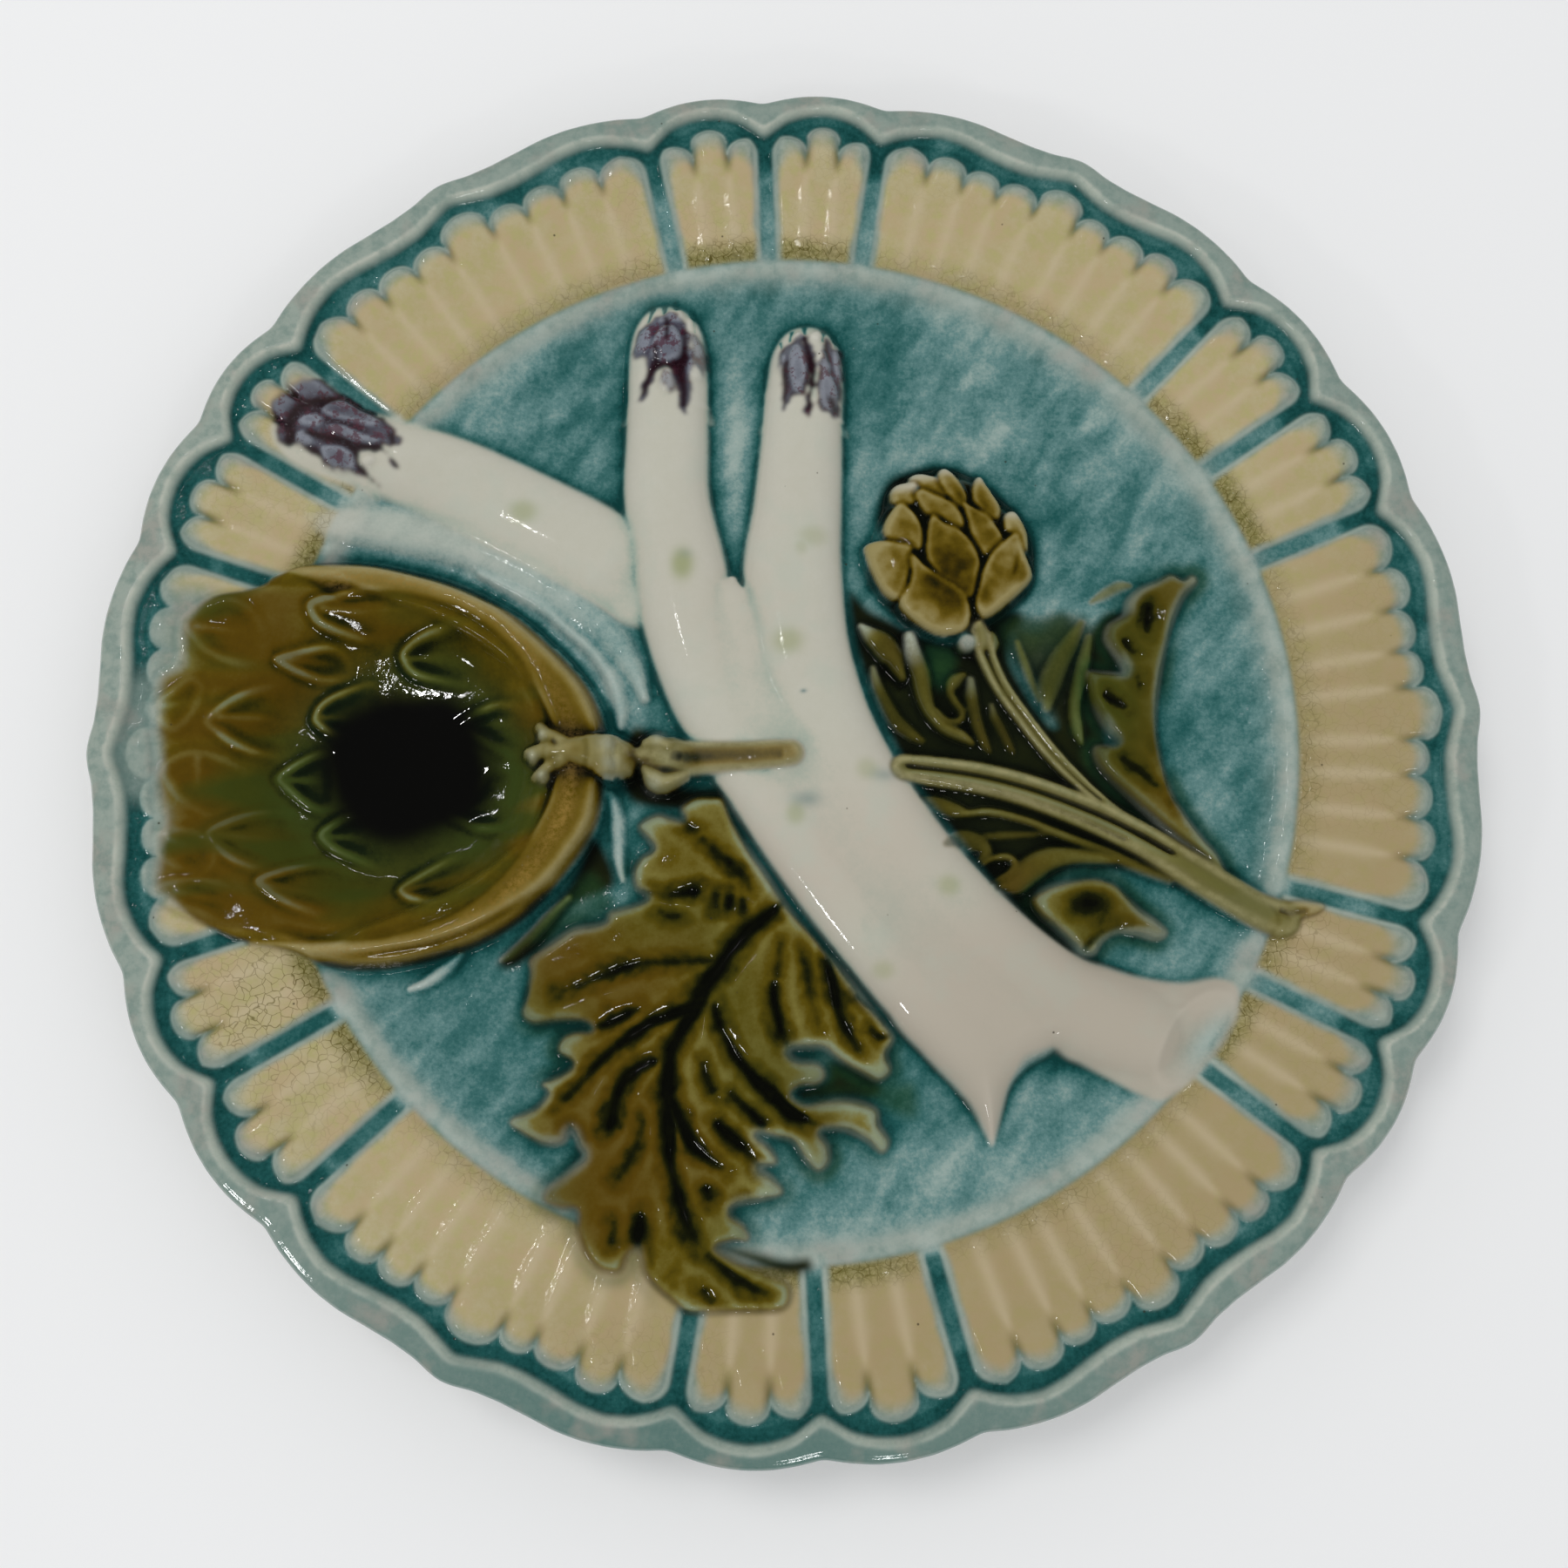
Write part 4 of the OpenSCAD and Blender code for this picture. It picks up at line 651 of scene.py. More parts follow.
def stroke(name, pts, high, k=0.3, power=0.6, base=None, over=False):
    """A rounded ridge along a path of points with half widths."""
    ln = Line(pts, 5)
    u = ln.d / np.maximum(ln.w, 0.2)
    b = (BASE if base is None else base)[ln.sl]
    taper = np.minimum(1, ln.w / 1.2) ** 0.6
    z = b + high * taper * np.clip(1 - u * u, 0, 1) ** power
    lay(name, ln.sl, z, u < 1, k)
    return ln, u


def cover(kind, ln, u, w=1.0, soft=0.3):
    paint(kind, ln.sl, w * ss((1.1 - u) / soft))


# -------------------------------------------------------------- leaves, stems
# dark glaze that lies between the leaves, painted first as ground
DARK = [
    [(11, 27), (15, 24), (19, 22), (24, 19.4), (30, 18), (34, 21.6), (36, 21.8), (41, 24), (42.6, 22), (40.4, 19), (40, 15), (42.4, 10), (45, 5.6), (48, 2.6), (49.4, 8),
     (52, 14), (54, 19), (56, 22), (59, 24), (63, 22), (60, 14), (57, 4), (58, -2), (63, -8), (70, -16), (78, -26), (74, -28), (66, -25.4), (60, -23.6), (52, -23),
     (47, -25), (44, -28), (46, -32), (50, -37), (48, -38), (42, -32), (36, -25.6), (30, -18), (24, -9.6), (19, -1), (15.6, 7), (12.4, 16)],
    [(-28, 1.4), (-24, 0.6), (-20, -8), (-12, -9), (-10.6, -12), (-14, -12), (-18, -13), (-24, -12.6), (-28, -11), (-29.6, -6)],
    [(-34, -18), (-30, -26), (-37, -30), (-41, -36), (-47, -41), (-50, -39.6), (-44, -33), (-38, -26)],
    [(2, -61.4), (6.6, -59.6), (7.4, -57), (10, -56.6), (16, -60), (15.4, -62.4), (8, -62.8), (3, -63.2)],
    [(-11.6, -86.4), (-6, -87), (0, -88.4), (4, -88.2), (4.4, -90.4), (0, -91), (-6, -89)],
    [(17, 34), (16, 41), (18, 48), (22.4, 50.6), (28, 51.4), (33, 50.2), (38, 46.4), (42.4, 42), (45, 36), (45, 30), (42, 25), (36, 21), (30, 18.6), (22, 20), (16.4, 26), (14, 31)],
]
dark = np.zeros((N, N))
for pts in DARK:
    ar = Area(pts, 4)
    dark[ar.sl] = np.maximum(dark[ar.sl], ss((ar.d + 0.9) / 2.2))
dry = 1 - np.clip(GLAZE["ivory"], 0, 1)
dark *= dry
H -= 0.35 * blur(dark, 1.2) * dry
paint("dark", ALL, dark)
for pts, w in (([(24, 18), (30, 17), (30.4, 13), (28, 9), (25, 11)], 0.85), ([(49, 20), (54, 18), (54, 8), (52, 1), (50, 3), (48.6, 10)], 0.55),
               ([(8, -57), (16, -60), (22, -60), (22, -66), (14, -63)], 0.6), ([(-38, -27), (-34, -24), (-30, -30), (-36, -33), (-42, -37), (-44, -36)], 0.6),
               ([(38, -30), (44, -37), (49, -43), (46, -34), (41, -29)], 0.5)):
    ar = Area(pts, 4)
    paint("green", ar.sl, w * ss((ar.d + 1.2) / 3) * dry[ar.sl])


# darker glaze: painted shade with pooled glaze round leaf veins; brown in stem grooves and knuckle recesses; darker
# stroke centres; where negative it lightens a leaf's lobes as painted highlight
SHADE_AND_POOLING = np.zeros((N, N))
CORE = np.zeros((N, N))                     # deepest run of the widest veins
BLADE = np.zeros((N, N))
HALO = noise(65, 4.0, -0.4, 1.3)
MOTTLE = noise(62, 1.3, -0.34, 0.34) + noise(63, 3.2, -0.34, 0.34) + noise(64, 0.5, -0.24, 0.24)
RIMS = noise(61, 3.0, -0.3, 1.3)           # how far the thin rim of a leaf reaches


class Leaf:
    """A lobed blade: outline, pressed grooves with a raised shoulder beside
    each, and a shallow dish between them."""

    def __init__(self, name, outline, grooves, thick=2.0, base=None, kind="olive", lift=0.3):
        ar = Area(outline, 6)
        sl = ar.sl
        e = ar.d.copy()
        press = np.zeros(e.shape)
        near = np.full(e.shape, 9.0)
        full = np.zeros((N, N))
        core = np.zeros((N, N))
        wide = np.zeros((N, N))
        dist = np.full((N, N), 9.0)
        veil = np.zeros((N, N))
        for pts in grooves:
            ln = Line(pts, 5)
            w = np.maximum(ln.w * 0.8, 0.2)
            core[ln.sl] = np.maximum(core[ln.sl], np.exp(-(ln.d / (w * 0.6)) ** 2) * ss((ln.w - 0.4) / 0.9))
            g = np.exp(-(ln.d / w) ** 2.0) * np.minimum(1.0, 0.35 + 0.75 * w) * ss(np.minimum(ln.t, 1 - ln.t) / 0.06 + 0.3)
            full[ln.sl] = np.maximum(full[ln.sl], g)
            wide[ln.sl] = np.maximum(wide[ln.sl], np.exp(-(ln.d / (w * 1.4 + 1.5)) ** 2) * np.minimum(1.0, 0.3 + 0.5 * w) * ss(np.minimum(ln.t, 1 - ln.t) / 0.06 + 0.4))
            dist[ln.sl] = np.minimum(dist[ln.sl], ln.d - w * 0.9)
        # faint side veins leave each long groove and run toward the edge
        rng = np.random.default_rng(len(outline))
        for pts in grooves:
            p = spline(pts)
            if len(p) < 16:
                continue
            k = 4 + int(rng.integers(0, 3))
            while k < len(p) - 4:
                tx, ty = p[k + 1, :2] - p[k - 1, :2]
                q = math.hypot(tx, ty)
                tx, ty = tx / q, ty / q
                for side in (-1, 1):
                    a_ = math.radians(side * rng.uniform(34, 50))
                    c_, s_ = math.cos(a_), math.sin(a_)
                    dx, dy = tx * c_ - ty * s_, tx * s_ + ty * c_
                    o = p[k, 2] * 0.9 + 0.3
                    reach = rng.uniform(2.6, 4.6)
                    ex, ey = dx + 0.35 * tx, dy + 0.35 * ty
                    ln = Line([(p[k, 0] + dx * o, p[k, 1] + dy * o, 0.3), (p[k, 0] + dx * (o + reach * 0.5), p[k, 1] + dy * (o + reach * 0.5), 0.32),
                               (p[k, 0] + dx * o + ex * reach, p[k, 1] + dy * o + ey * reach, 0.14)], 3)
                    g = np.exp(-(ln.d / np.maximum(ln.w, 0.1)) ** 2) * (1 - 0.6 * ln.t) * rng.uniform(0.5, 1.0)
                    full[ln.sl] = np.maximum(full[ln.sl], 0.16 * g)
                    veil[ln.sl] = np.maximum(veil[ln.sl], np.exp(-(ln.d / (np.maximum(ln.w, 0.1) * 2.6)) ** 2) * (1 - ln.t) * rng.uniform(0.4, 0.8))
                k += int(rng.integers(4, 7))
        press, near = full[sl], dist[sl]
        e2 = np.minimum(e, near)
        b = (BASE if base is None else base)[sl]
        shoulder = 0.16 * np.exp(-((e - 0.9) / 0.7) ** 2)
        dome = 0.5 * ss(e / 7) + 0.75 * ss(near / 3.2) - 0.5
        h = thick * ss((e + 0.3) / 1.6) ** 0.8 + shoulder + dome * ss(e / 1.5) - 1.1 * press * ss(e / 1.0 + 0.6)
        lay(name, sl, b + h, e > -0.25, 0.3)
        self.sl, self.e, self.e2, self.press = sl, e, e2, press
        edge = np.exp(-((e - 0.3) / (0.7 + 0.5 * np.clip(RIMS[sl], 0, 1))) ** 2)
        CORE[sl] = np.where(e > -0.2, core[sl] * ss((e + 0.3) / 0.8), CORE[sl])
        BLADE[sl] = np.where(e > -0.2, 1.0, BLADE[sl])
        # painted shade with pooled glaze round the veins (wide), painted highlight on the lobes away from them (lift),
        # paler thin glaze at the rim (edge)
        SHADE_AND_POOLING[sl] = np.where(e > -0.2, 1.0 * wide[sl] * (1 - edge) + 0.22 * veil[sl] + MOTTLE[sl] - lift * ss((near - 1.6) / 2.0) * ss((e - 1.0) / 2.0) - 0.42 * edge * (0.5 + 0.5 * np.clip(RIMS[sl], 0, 1)), SHADE_AND_POOLING[sl])
        paint("green", sl, (0.65 * np.exp(-((e + 1.1) / 1.25) ** 2) * np.clip(HALO[sl], 0, 1)) * (e < 0) * (1 - np.clip(GLAZE["ivory"][sl], 0, 1)))
        paint(kind, sl, 0.62 * ss((e + 0.7) / 0.8) + 0.38 * ss((e - 0.0) / (1.0 + 1.0 * np.clip(RIMS[sl], 0, 2))))
        PALE_AND_HIGHLIGHT[sl] = np.where(e > -0.6, 0.2 * np.exp(-((e - 0.1) / 0.4) ** 2) * np.clip(RIMS[sl] - 0.25, 0, 1), PALE_AND_HIGHLIGHT[sl])


LARGE = [(-11, -11), (-13.5, -10.6), (-16.4, -10.9), (-18.6, -12.6), (-18.4, -14.6), (-20.4, -14.4), (-23, -13.9), (-26, -15.8), (-24.8, -18), (-23.6, -20), (-25.6, -21.6),
         (-26.8, -24), (-26.4, -26.8), (-24.4, -28.6), (-26.6, -29.8), (-30.6, -31), (-31.4, -32.6), (-33.4, -33.3), (-37, -34), (-41, -36.6), (-44.4, -39.2), (-44.4, -42),
         (-44.8, -45.4), (-45.4, -48.8), (-43.2, -50.4), (-38.4, -50), (-35, -50.2), (-33.6, -51.2), (-36.4, -51.6), (-38.4, -52.8), (-39, -55), (-36.6, -57), (-38, -58.6),
         (-41.6, -60.4), (-40.6, -62), (-42.6, -64.4), (-46.4, -66.5), (-44.4, -68.6), (-40.6, -70.4), (-37.4, -70.2), (-36.2, -68.4), (-34.8, -70.8), (-34, -72.4),
         (-36.4, -74.6), (-39.6, -77.2), (-40, -79.4), (-37.4, -80.6), (-34.6, -81), (-34.4, -84), (-32.8, -87.6), (-30.4, -90), (-28, -90.6), (-26.6, -90.2), (-25.6, -88),
         (-24.2, -87.4), (-23.2, -90.6), (-21, -93), (-18.4, -95), (-16, -96.6), (-12, -96.8), (-7, -96.6), (-1, -96.4), (1, -94.8), (0.6, -92), (-3, -90.6), (-7.6, -88.8),
         (-11, -86.8), (-8.6, -85.8), (-6, -85.6), (-6.6, -83.4), (-8.8, -81.4), (-8, -80.2), (-4, -79.4), (-0.4, -78.2), (-2, -75.8), (-4, -74.2), (-1.4, -73.4), (-2.4, -71),
         (-4.6, -68.8), (-1.6, -69.2), (1.2, -70), (3.4, -73), (5.6, -74.6), (7.4, -73.2), (7.4, -70.6), (6.2, -68.2), (10, -68), (13.6, -69.6), (16.4, -71.6), (17.6, -69.8),
         (16, -67), (15.4, -64.4), (11.4, -63), (7, -63), (3.4, -63.6), (1.2, -62.2), (2.6, -60.8), (5.4, -60.4), (6.8, -58.8), (5.6, -56.8), (1.8, -56.2), (0.8, -54.6),
         (4, -54.2), (6.6, -54.4), (9, -56.2), (13, -58.4), (16, -59.6), (18, -58), (17.4, -55.2), (18.6, -52.4), (16.6, -49.4), (13.4, -45.4), (8.8, -39.6), (4, -34),
         (0.4, -30), (-3, -25), (-6.2, -20.4), (-9, -15.4)]
LARGE_CUTS = [
    [(-0.6, -29.4, 1.0), (-5, -33, 1.5), (-9, -37, 1.6), (-12, -41, 1.5), (-14.4, -45, 1.6), (-17, -50, 1.6), (-19.6, -55, 1.8), (-20, -60, 2.0), (-20, -65, 2.1), (-19.6, -69, 1.5),
     (-19.2, -74, 0.9), (-17.6, -79, 0.8), (-15.6, -84, 0.6), (-13.4, -87, 0.4)],
    [(-20, -62, 1.2), (-18, -66, 1.3), (-15.8, -70, 1.2), (-13, -72.6, 0.9), (-10, -74.4, 0.4)],
    [(-12, -39.3, 0.5), (-18, -39.6, 0.7), (-25, -40, 0.6), (-30, -41.6, 0.6), (-36, -44, 0.5), (-39, -45, 0.2)],
    [(-15, -46.6, 1.3), (-19, -48.6, 1.1), (-23, -50, 1.0), (-27, -52.6, 1.0), (-31, -56, 0.9), (-35, -60.4, 0.6), (-38, -64, 0.25)],
    [(-25, -47.6, 0.6), (-28, -49, 1.1), (-31, -50.4, 0.9), (-33, -51, 0.4)],
    [(-22, -56.4, 1.2), (-25.4, -58, 1.2), (-28, -60.6, 0.9), (-29, -64, 0.8), (-29.4, -67, 0.9), (-30.6, -68.4, 0.3)],
    [(-12.2, -46.4, 0.6), (-11.6, -50, 0.8), (-10, -53, 0.9), (-7.6, -57, 1.2), (-3, -61.4, 1.4), (1, -64.8, 1.5), (4.6, -66.6, 0.6), (7, -67.2, 0.3)],
    [(-9.6, -61.6, 0.4), (-7, -64, 0.8), (-4.4, -66.4, 0.9), (-3.6, -68, 0.4)],
    [(-2, -42.6, 0.6), (-2.1, -45, 1.2), (-1.6, -48, 1.0), (-0.8, -51, 0.8), (0.2, -54, 0.4)],
    [(-1, -36, 0.25), (-1.2, -39, 0.55), (-1.8, -42.4, 0.6)],
    [(2.4, -37, 0.25), (3.4, -41, 0.3), (4.2, -46, 0.3), (5.8, -50.6, 0.3)],
    [(7, -38.4, 0.6), (8, -43, 0.8), (9, -48, 0.9), (11, -52, 0.8), (12.6, -54.8, 0.4)],
    [(12, -45, 0.4), (13.4, -46.4, 0.6), (15, -47.6, 0.3)],
    [(14.4, -50.6, 0.4), (16, -52.2, 0.7), (18, -52.2, 0.5)],
    [(-18.6, -14.2, 0.5), (-17.2, -16.2, 0.6), (-15.2, -16.9, 0.4)],
    [(-15.2, -18, 0.4), (-12, -20.6, 0.5), (-9, -23.4, 0.5), (-7, -25.4, 0.5), (-6.2, -27.4, 0.4)],
    [(-25.4, -27.6, 0.4), (-21, -28.1, 0.4), (-18, -27.8, 0.8), (-16, -27.5, 1.1), (-15, -27.7, 0.8)],
    [(-12.2, -27.8, 0.3), (-12.2, -30.6, 0.35)], [(-9.8, -28, 0.5), (-10.2, -30.4, 0.6)], [(-7.6, -28.6, 0.3), (-7.4, -30.6, 0.3)],
    [(-22.4, -31, 0.3), (-20, -32, 0.45), (-18.4, -31.9, 0.3)],
    [(-12, -66.5, 0.8), (-10.4, -68, 1.2), (-8, -70, 1.0), (-6, -72, 0.6), (-4, -74.2, 0.4)],
    [(-14.2, -56.4, 0.4), (-13.6, -59, 0.8), (-12.2, -61.8, 0.6)],
    [(-24, -66, 0.3), (-24.6, -69.4, 0.45), (-26.4, -73.4, 0.35), (-28, -76, 0.2)],
    [(-23.8, -81.2, 0.8), (-24.2, -83.6, 1.2), (-24.3, -86.4, 1.0), (-24.4, -89.6, 0.8)],
    [(-13.4, -77, 0.8), (-12.5, -79.2, 0.6)], [(-13.4, -92.8, 0.7), (-11.8, -95.2, 0.6)],
    [(-13, -87.4, 0.5), (-9.4, -90.4, 0.8), (-5.6, -92.6, 0.6), (-2.6, -93.6, 0.3)],
    [(-36.6, -66.6, 0.3), (-35.8, -69.4, 0.9), (-35.2, -71, 0.7)], [(-28, -82.4, 0.3), (-28.6, -86, 0.5)], [(-6.8, -79.8, 0.6), (-5.6, -80.2, 0.4)],
]
large = Leaf("leaf_large", LARGE, LARGE_CUTS, 2.0)

# behind the right-hand stems: soft low leaves
ar = Area([(40.6, 22), (45, 21), (49, 24.4), (54, 24), (56, 20), (54, 14), (52.6, 6), (50, 2), (46, 6), (42.6, 12), (40.4, 17)], 4)
paint("olive", ar.sl, 0.75 * ss((ar.d + 0.6) / 3) * ss((27 - Y[ar.sl]) / 8))
paint("dark", ar.sl, 0.8 * ss((ar.d + 0.6) / 3) * ss((13 - Y[ar.sl]) / 8))
ar = Area([(36, 22.4), (40, 24.6), (45, 23.2), (50, 24), (53, 20), (52.4, 10), (49, 2), (45, 5), (41, 12), (37.4, 17.6)], 4)
paint("dark", ar.sl, 0.7 * ss((ar.d + 0.8) / 3))
paint("green", ar.sl, 0.45 * ss((ar.d + 0.8) / 3) * ss((Y[ar.sl] - 12) / 8))
for pts in ([(53, 21.6, 0.8), (51, 18, 1.6), (48.6, 14, 2.1), (46.8, 9.6, 2.2), (46.4, 6, 1.1)], [(54.4, 19, 0.8), (53.4, 15, 1.3), (52.4, 11, 1.3), (51.4, 6, 1.2), (52, 1.6, 1.1), (52.6, -0.4, 0.5)],
            [(41.4, 18, 0.6), (42.6, 14, 1.0), (43.8, 10.4, 0.9), (45, 7, 0.4)]):
    ln, u = stroke("leaf_behind", pts, 1.3, 0.9)
    cover("green", ln, u, 0.6, 0.9)
    cover("olive", ln, u, 0.5 if pts[0][0] < 54 else 0.4, 0.9)
    SHADE_AND_POOLING[ln.sl] = np.maximum(SHADE_AND_POOLING[ln.sl], 0.6 * ss((0.9 - u) / 0.7))

STEMS = np.zeros((N, N))                   # greener, greyer olive
CROWN_HIGHLIGHT = np.zeros((N, N))                   # painted highlight: lighter tan on the crowns of stems
LEFT = [
    [(13.2, 20.8, 0.6), (15, 19, 1.9), (17, 17.4, 2.5), (18.6, 15.4, 2.4), (19.6, 13.4, 1.7), (20.6, 11.4, 0.9)],
    [(15.4, 13, 0.7), (16, 10, 1.2), (17.5, 6.5, 1.4), (19.5, 3.2, 1.5), (22, 1, 1.3), (24, -0.2, 0.7)],
    [(22, 18.8, 1.3), (22.6, 15.5, 1.8), (23.8, 12, 1.9), (24.5, 8, 1.7), (25.6, 5, 1.4), (28, 2.2, 1.3), (31, 0.7, 1.2), (33, -0.6, 0.6)],
    [(26.6, 5.4, 0.6), (28.4, 3.4, 0.8), (30.6, 3.3, 0.8), (31.3, 5, 0.8), (30, 7, 0.8), (29.2, 8.8, 0.9), (30, 10.6, 1.4), (31.6, 11.9, 0.7)],
    [(32.9, 11, 0.8), (33, 8, 1.3), (33.4, 5, 1.3), (34.2, 2, 1.2), (35.2, -0.6, 1.0), (36, -2, 0.5)],
    [(36.6, 6.4, 0.5), (37, 4.4, 0.9), (38.4, 1.6, 0.9), (39.6, -1, 0.8), (40.4, -2.2, 0.4)],
]
for i, pts in enumerate(LEFT):
    ln, u = stroke("leaf_left", pts, [1.9, 1.2, 1.8, 1.5, 1.2, 0.9][i], 0.7)
    cover("olive", ln, u, [0.9, 0.6, 0.85, 0.7, 0.55, 0.4][i], 0.9)
    SHADE_AND_POOLING[ln.sl] = np.maximum(SHADE_AND_POOLING[ln.sl], 1.0 * ss((0.95 - u) / 0.7) * ss((ln.t - 0.0) / 0.45))
    tip = ss((0.28 - ln.t) / 0.28) * ss((1.05 - u) / 0.5)
    PALE_AND_HIGHLIGHT[ln.sl] = np.maximum(PALE_AND_HIGHLIGHT[ln.sl] * (u > 1.1), [0.5, 0.12, 0.62, 0.0, 0.15, 0.05][i] * tip)
    STEMS[ln.sl] = np.maximum(STEMS[ln.sl], 0.2 * ss((1.1 - u) / 0.5))
LOWER = [
    ([(23.6, -10.4, 0.5), (26, -11.6, 1.6), (29, -12.6, 1.6), (31.6, -13.2, 0.9)], 1.5, 0.8),
    ([(31, -13.4, 0.6), (36, -13, 0.8), (42, -14.4, 0.8), (47, -16.4, 0.9), (52, -18.4, 1.0), (57, -20.4, 1.2), (62, -22.8, 1.3), (67, -24.8, 1.1)], 1.8, 0.85),
    ([(27.8, -19, 0.8), (30, -18.2, 2.0), (33, -18.6, 2.1), (35, -20, 1.4), (34, -21.6, 0.8)], 1.6, 0.7),
    ([(34.6, -17.4, 0.6), (38, -17.2, 0.8), (42, -17, 0.6), (46, -16.8, 0.4)], 1.0, 0.5),
    ([(34.4, -22.4, 0.5), (36.4, -21.2, 0.6), (38.8, -21, 0.75), (40.1, -22.2, 0.85), (39.2, -23.9, 0.85), (37, -25.2, 0.75), (35.8, -25.6, 0.5)], 2.2, 0.9),
    ([(37, -26.4, 1.0), (39.8, -25.8, 2.2), (42.6, -23.4, 2.6), (46, -21.4, 2.3), (50, -20.8, 1.7), (55, -21.2, 1.2), (58.4, -21.8, 0.5)], 2.2, 1.0),
]
for pts, high, w in LOWER:
    ln, u = stroke("leaf_lower", pts, 0.8 * high, 0.5)
    cover("olive", ln, u, 0.85 * w, 0.7)
    SHADE_AND_POOLING[ln.sl] = np.maximum(SHADE_AND_POOLING[ln.sl], 0.55 * ss((0.95 - u) / 0.7))
    STEMS[ln.sl] = np.maximum(STEMS[ln.sl], 0.2 * ss((1.1 - u) / 0.5))
Leaf("leaf_lower", [(43, -28.4), (45.4, -26.4), (50, -25), (54, -24.6), (57.4, -25.6), (59.8, -28), (61.8, -30.2), (64.6, -32.2), (66.2, -34.2), (64.4, -35.4), (61, -34.5), (57.6, -34.3),
                    (55, -35.8), (53.6, -37.8), (51.6, -38), (49.8, -36.4), (46.6, -33.4), (44, -31)],
     [[(51.8, -37.2, 0.9), (53.2, -35.6, 0.9), (55.4, -34, 0.6), (58, -33.2, 0.5), (60.6, -33, 0.3)]], 2.0, lift=-0.1)
RIGHT = [(73, 30.2), (71.4, 29.4), (69.4, 30.6), (66.6, 29.4), (63.6, 28), (61.4, 25.8), (60.8, 23.2), (59.4, 22.2), (57.8, 21), (57.4, 18.6), (58.6, 16.4), (59.8, 14.4), (60.2, 12.4),
         (57, 12.4), (53.8, 12.4), (54, 9), (55.2, 5.4), (57, 2), (58.6, -0.4), (56.6, -1), (54.9, -1.4), (55.2, -4), (57.4, -7), (60.6, -10.2), (64.4, -13.8), (68, -17.2), (72.6, -21),
         (76.6, -25.2), (75.6, -21), (73, -17.4), (70.4, -13.4), (68, -8.4), (66.6, -3), (66, 2), (66.2, 7), (67, 12), (68.2, 17), (69.6, 22), (71.4, 26), (73.8, 29)]
RIGHT_CUTS = [[(65.2, 25, 0.5), (65, 22, 0.7), (64.4, 19.4, 0.4)], [(60.2, 18.6, 0.6), (61, 17.2, 0.7), (62.2, 15.6, 0.5)], [(56.4, 8.4, 0.7), (58, 7.2, 0.9), (60.4, 5.6, 0.5)],
              [(59, -3.4, 0.3), (61.6, -5, 0.5), (64.4, -7.4, 0.5), (65.6, -8.6, 0.25)], [(66.6, 0, 0.3), (67.4, -8, 0.4), (69, -12, 0.3)], [(62.4, 12, 0.5), (63, 9.6, 0.4)]]
Leaf("leaf_right", RIGHT, RIGHT_CUTS, 2.0, lift=0.05)
ln, u = stroke("leaf_right", [(55, 25.6, 0.6), (57.4, 27, 1.3), (60, 28.4, 1.4), (62, 28.6, 0.8)], 1.0, 0.8)
cover("green", ln, u, 0.7, 0.9)
cover("olive", ln, u, 0.55, 0.9)
PALE_AND_HIGHLIGHT[ln.sl] *= 1 - 0.8 * ss((1.3 - u) / 0.5)
right = Area(RIGHT, 6)

# stems: each is a pair of fine ridges with a groove between
STEM = [(20.6, -5.3, 2.7), (26, -5.8, 2.8), (34, -6.9, 2.9), (42, -8.9, 3.0), (50, -11.8, 3.1), (57, -14.9, 3.2), (64, -18.7, 3.3), (70, -22.8, 3.4), (76, -27, 3.4), (81, -30.4, 3.4), (84.6, -32, 3.6)]
ln, u = stroke("long_stem", STEM, 2.6, 0.3, 0.45)
cover("olive", ln, u, 0.97)
STEMS[ln.sl] = np.maximum(STEMS[ln.sl], 0.8 * ss((1.1 - u) / 0.3))
CROWN_HIGHLIGHT[ln.sl] = np.maximum(CROWN_HIGHLIGHT[ln.sl], 0.95 * np.exp(-((u - 0.6) / 0.24) ** 2) * (1 - 0.4 * ln.t))
BUD_STEM = [(34.6, 19.6, 1.9), (35.4, 16.4, 1.9), (38, 10.4, 1.6), (42, 4.4, 1.5), (46.8, -2, 1.45), (51.6, -7.2, 1.3), (56, -11.2, 1.1), (60.6, -14.4, 0.8)]
ln, u = stroke("bud_stem", BUD_STEM, 2.2, 0.25, 0.45)
cover("olive", ln, u, 0.95)
STEMS[ln.sl] = np.maximum(STEMS[ln.sl], 0.8 * ss((1.1 - u) / 0.3))
CROWN_HIGHLIGHT[ln.sl] = np.maximum(CROWN_HIGHLIGHT[ln.sl], 0.95 * np.exp(-((u - 0.65) / 0.25) ** 2))
for pts, high, kind, w in (([(34.2, 20.8, 1.2), (34.8, 19, 1.7), (35.2, 17, 1.2)], 3.0, "amber", 0.8), ([(36.8, 19.4, 0.7), (37.2, 17.6, 1.0), (36.4, 15.6, 0.7)], 2.4, "olive", 0.6)):
    ln, u = stroke("bud_stem", pts, high, 0.25)
    cover(kind, ln, u, w)
    STEMS[ln.sl] = np.maximum(STEMS[ln.sl], 0.7 * ss((1.1 - u) / 0.3))
CUT = [(82, -33.4), (83.6, -30.8), (86, -28.8), (89, -28.6), (92.4, -29.6), (91, -31.2), (88, -32.4), (85.6, -34), (83.4, -35)]
ar = Area(CUT, 4)
lay("cut_end", ar.sl, BASE[ar.sl] + 2.6 * ss((ar.d + 0.3) / 1.4), ar.d > -0.2, 0.3)
paint("amber", ar.sl, 0.75 * ss((ar.d + 0.4) / 0.9))

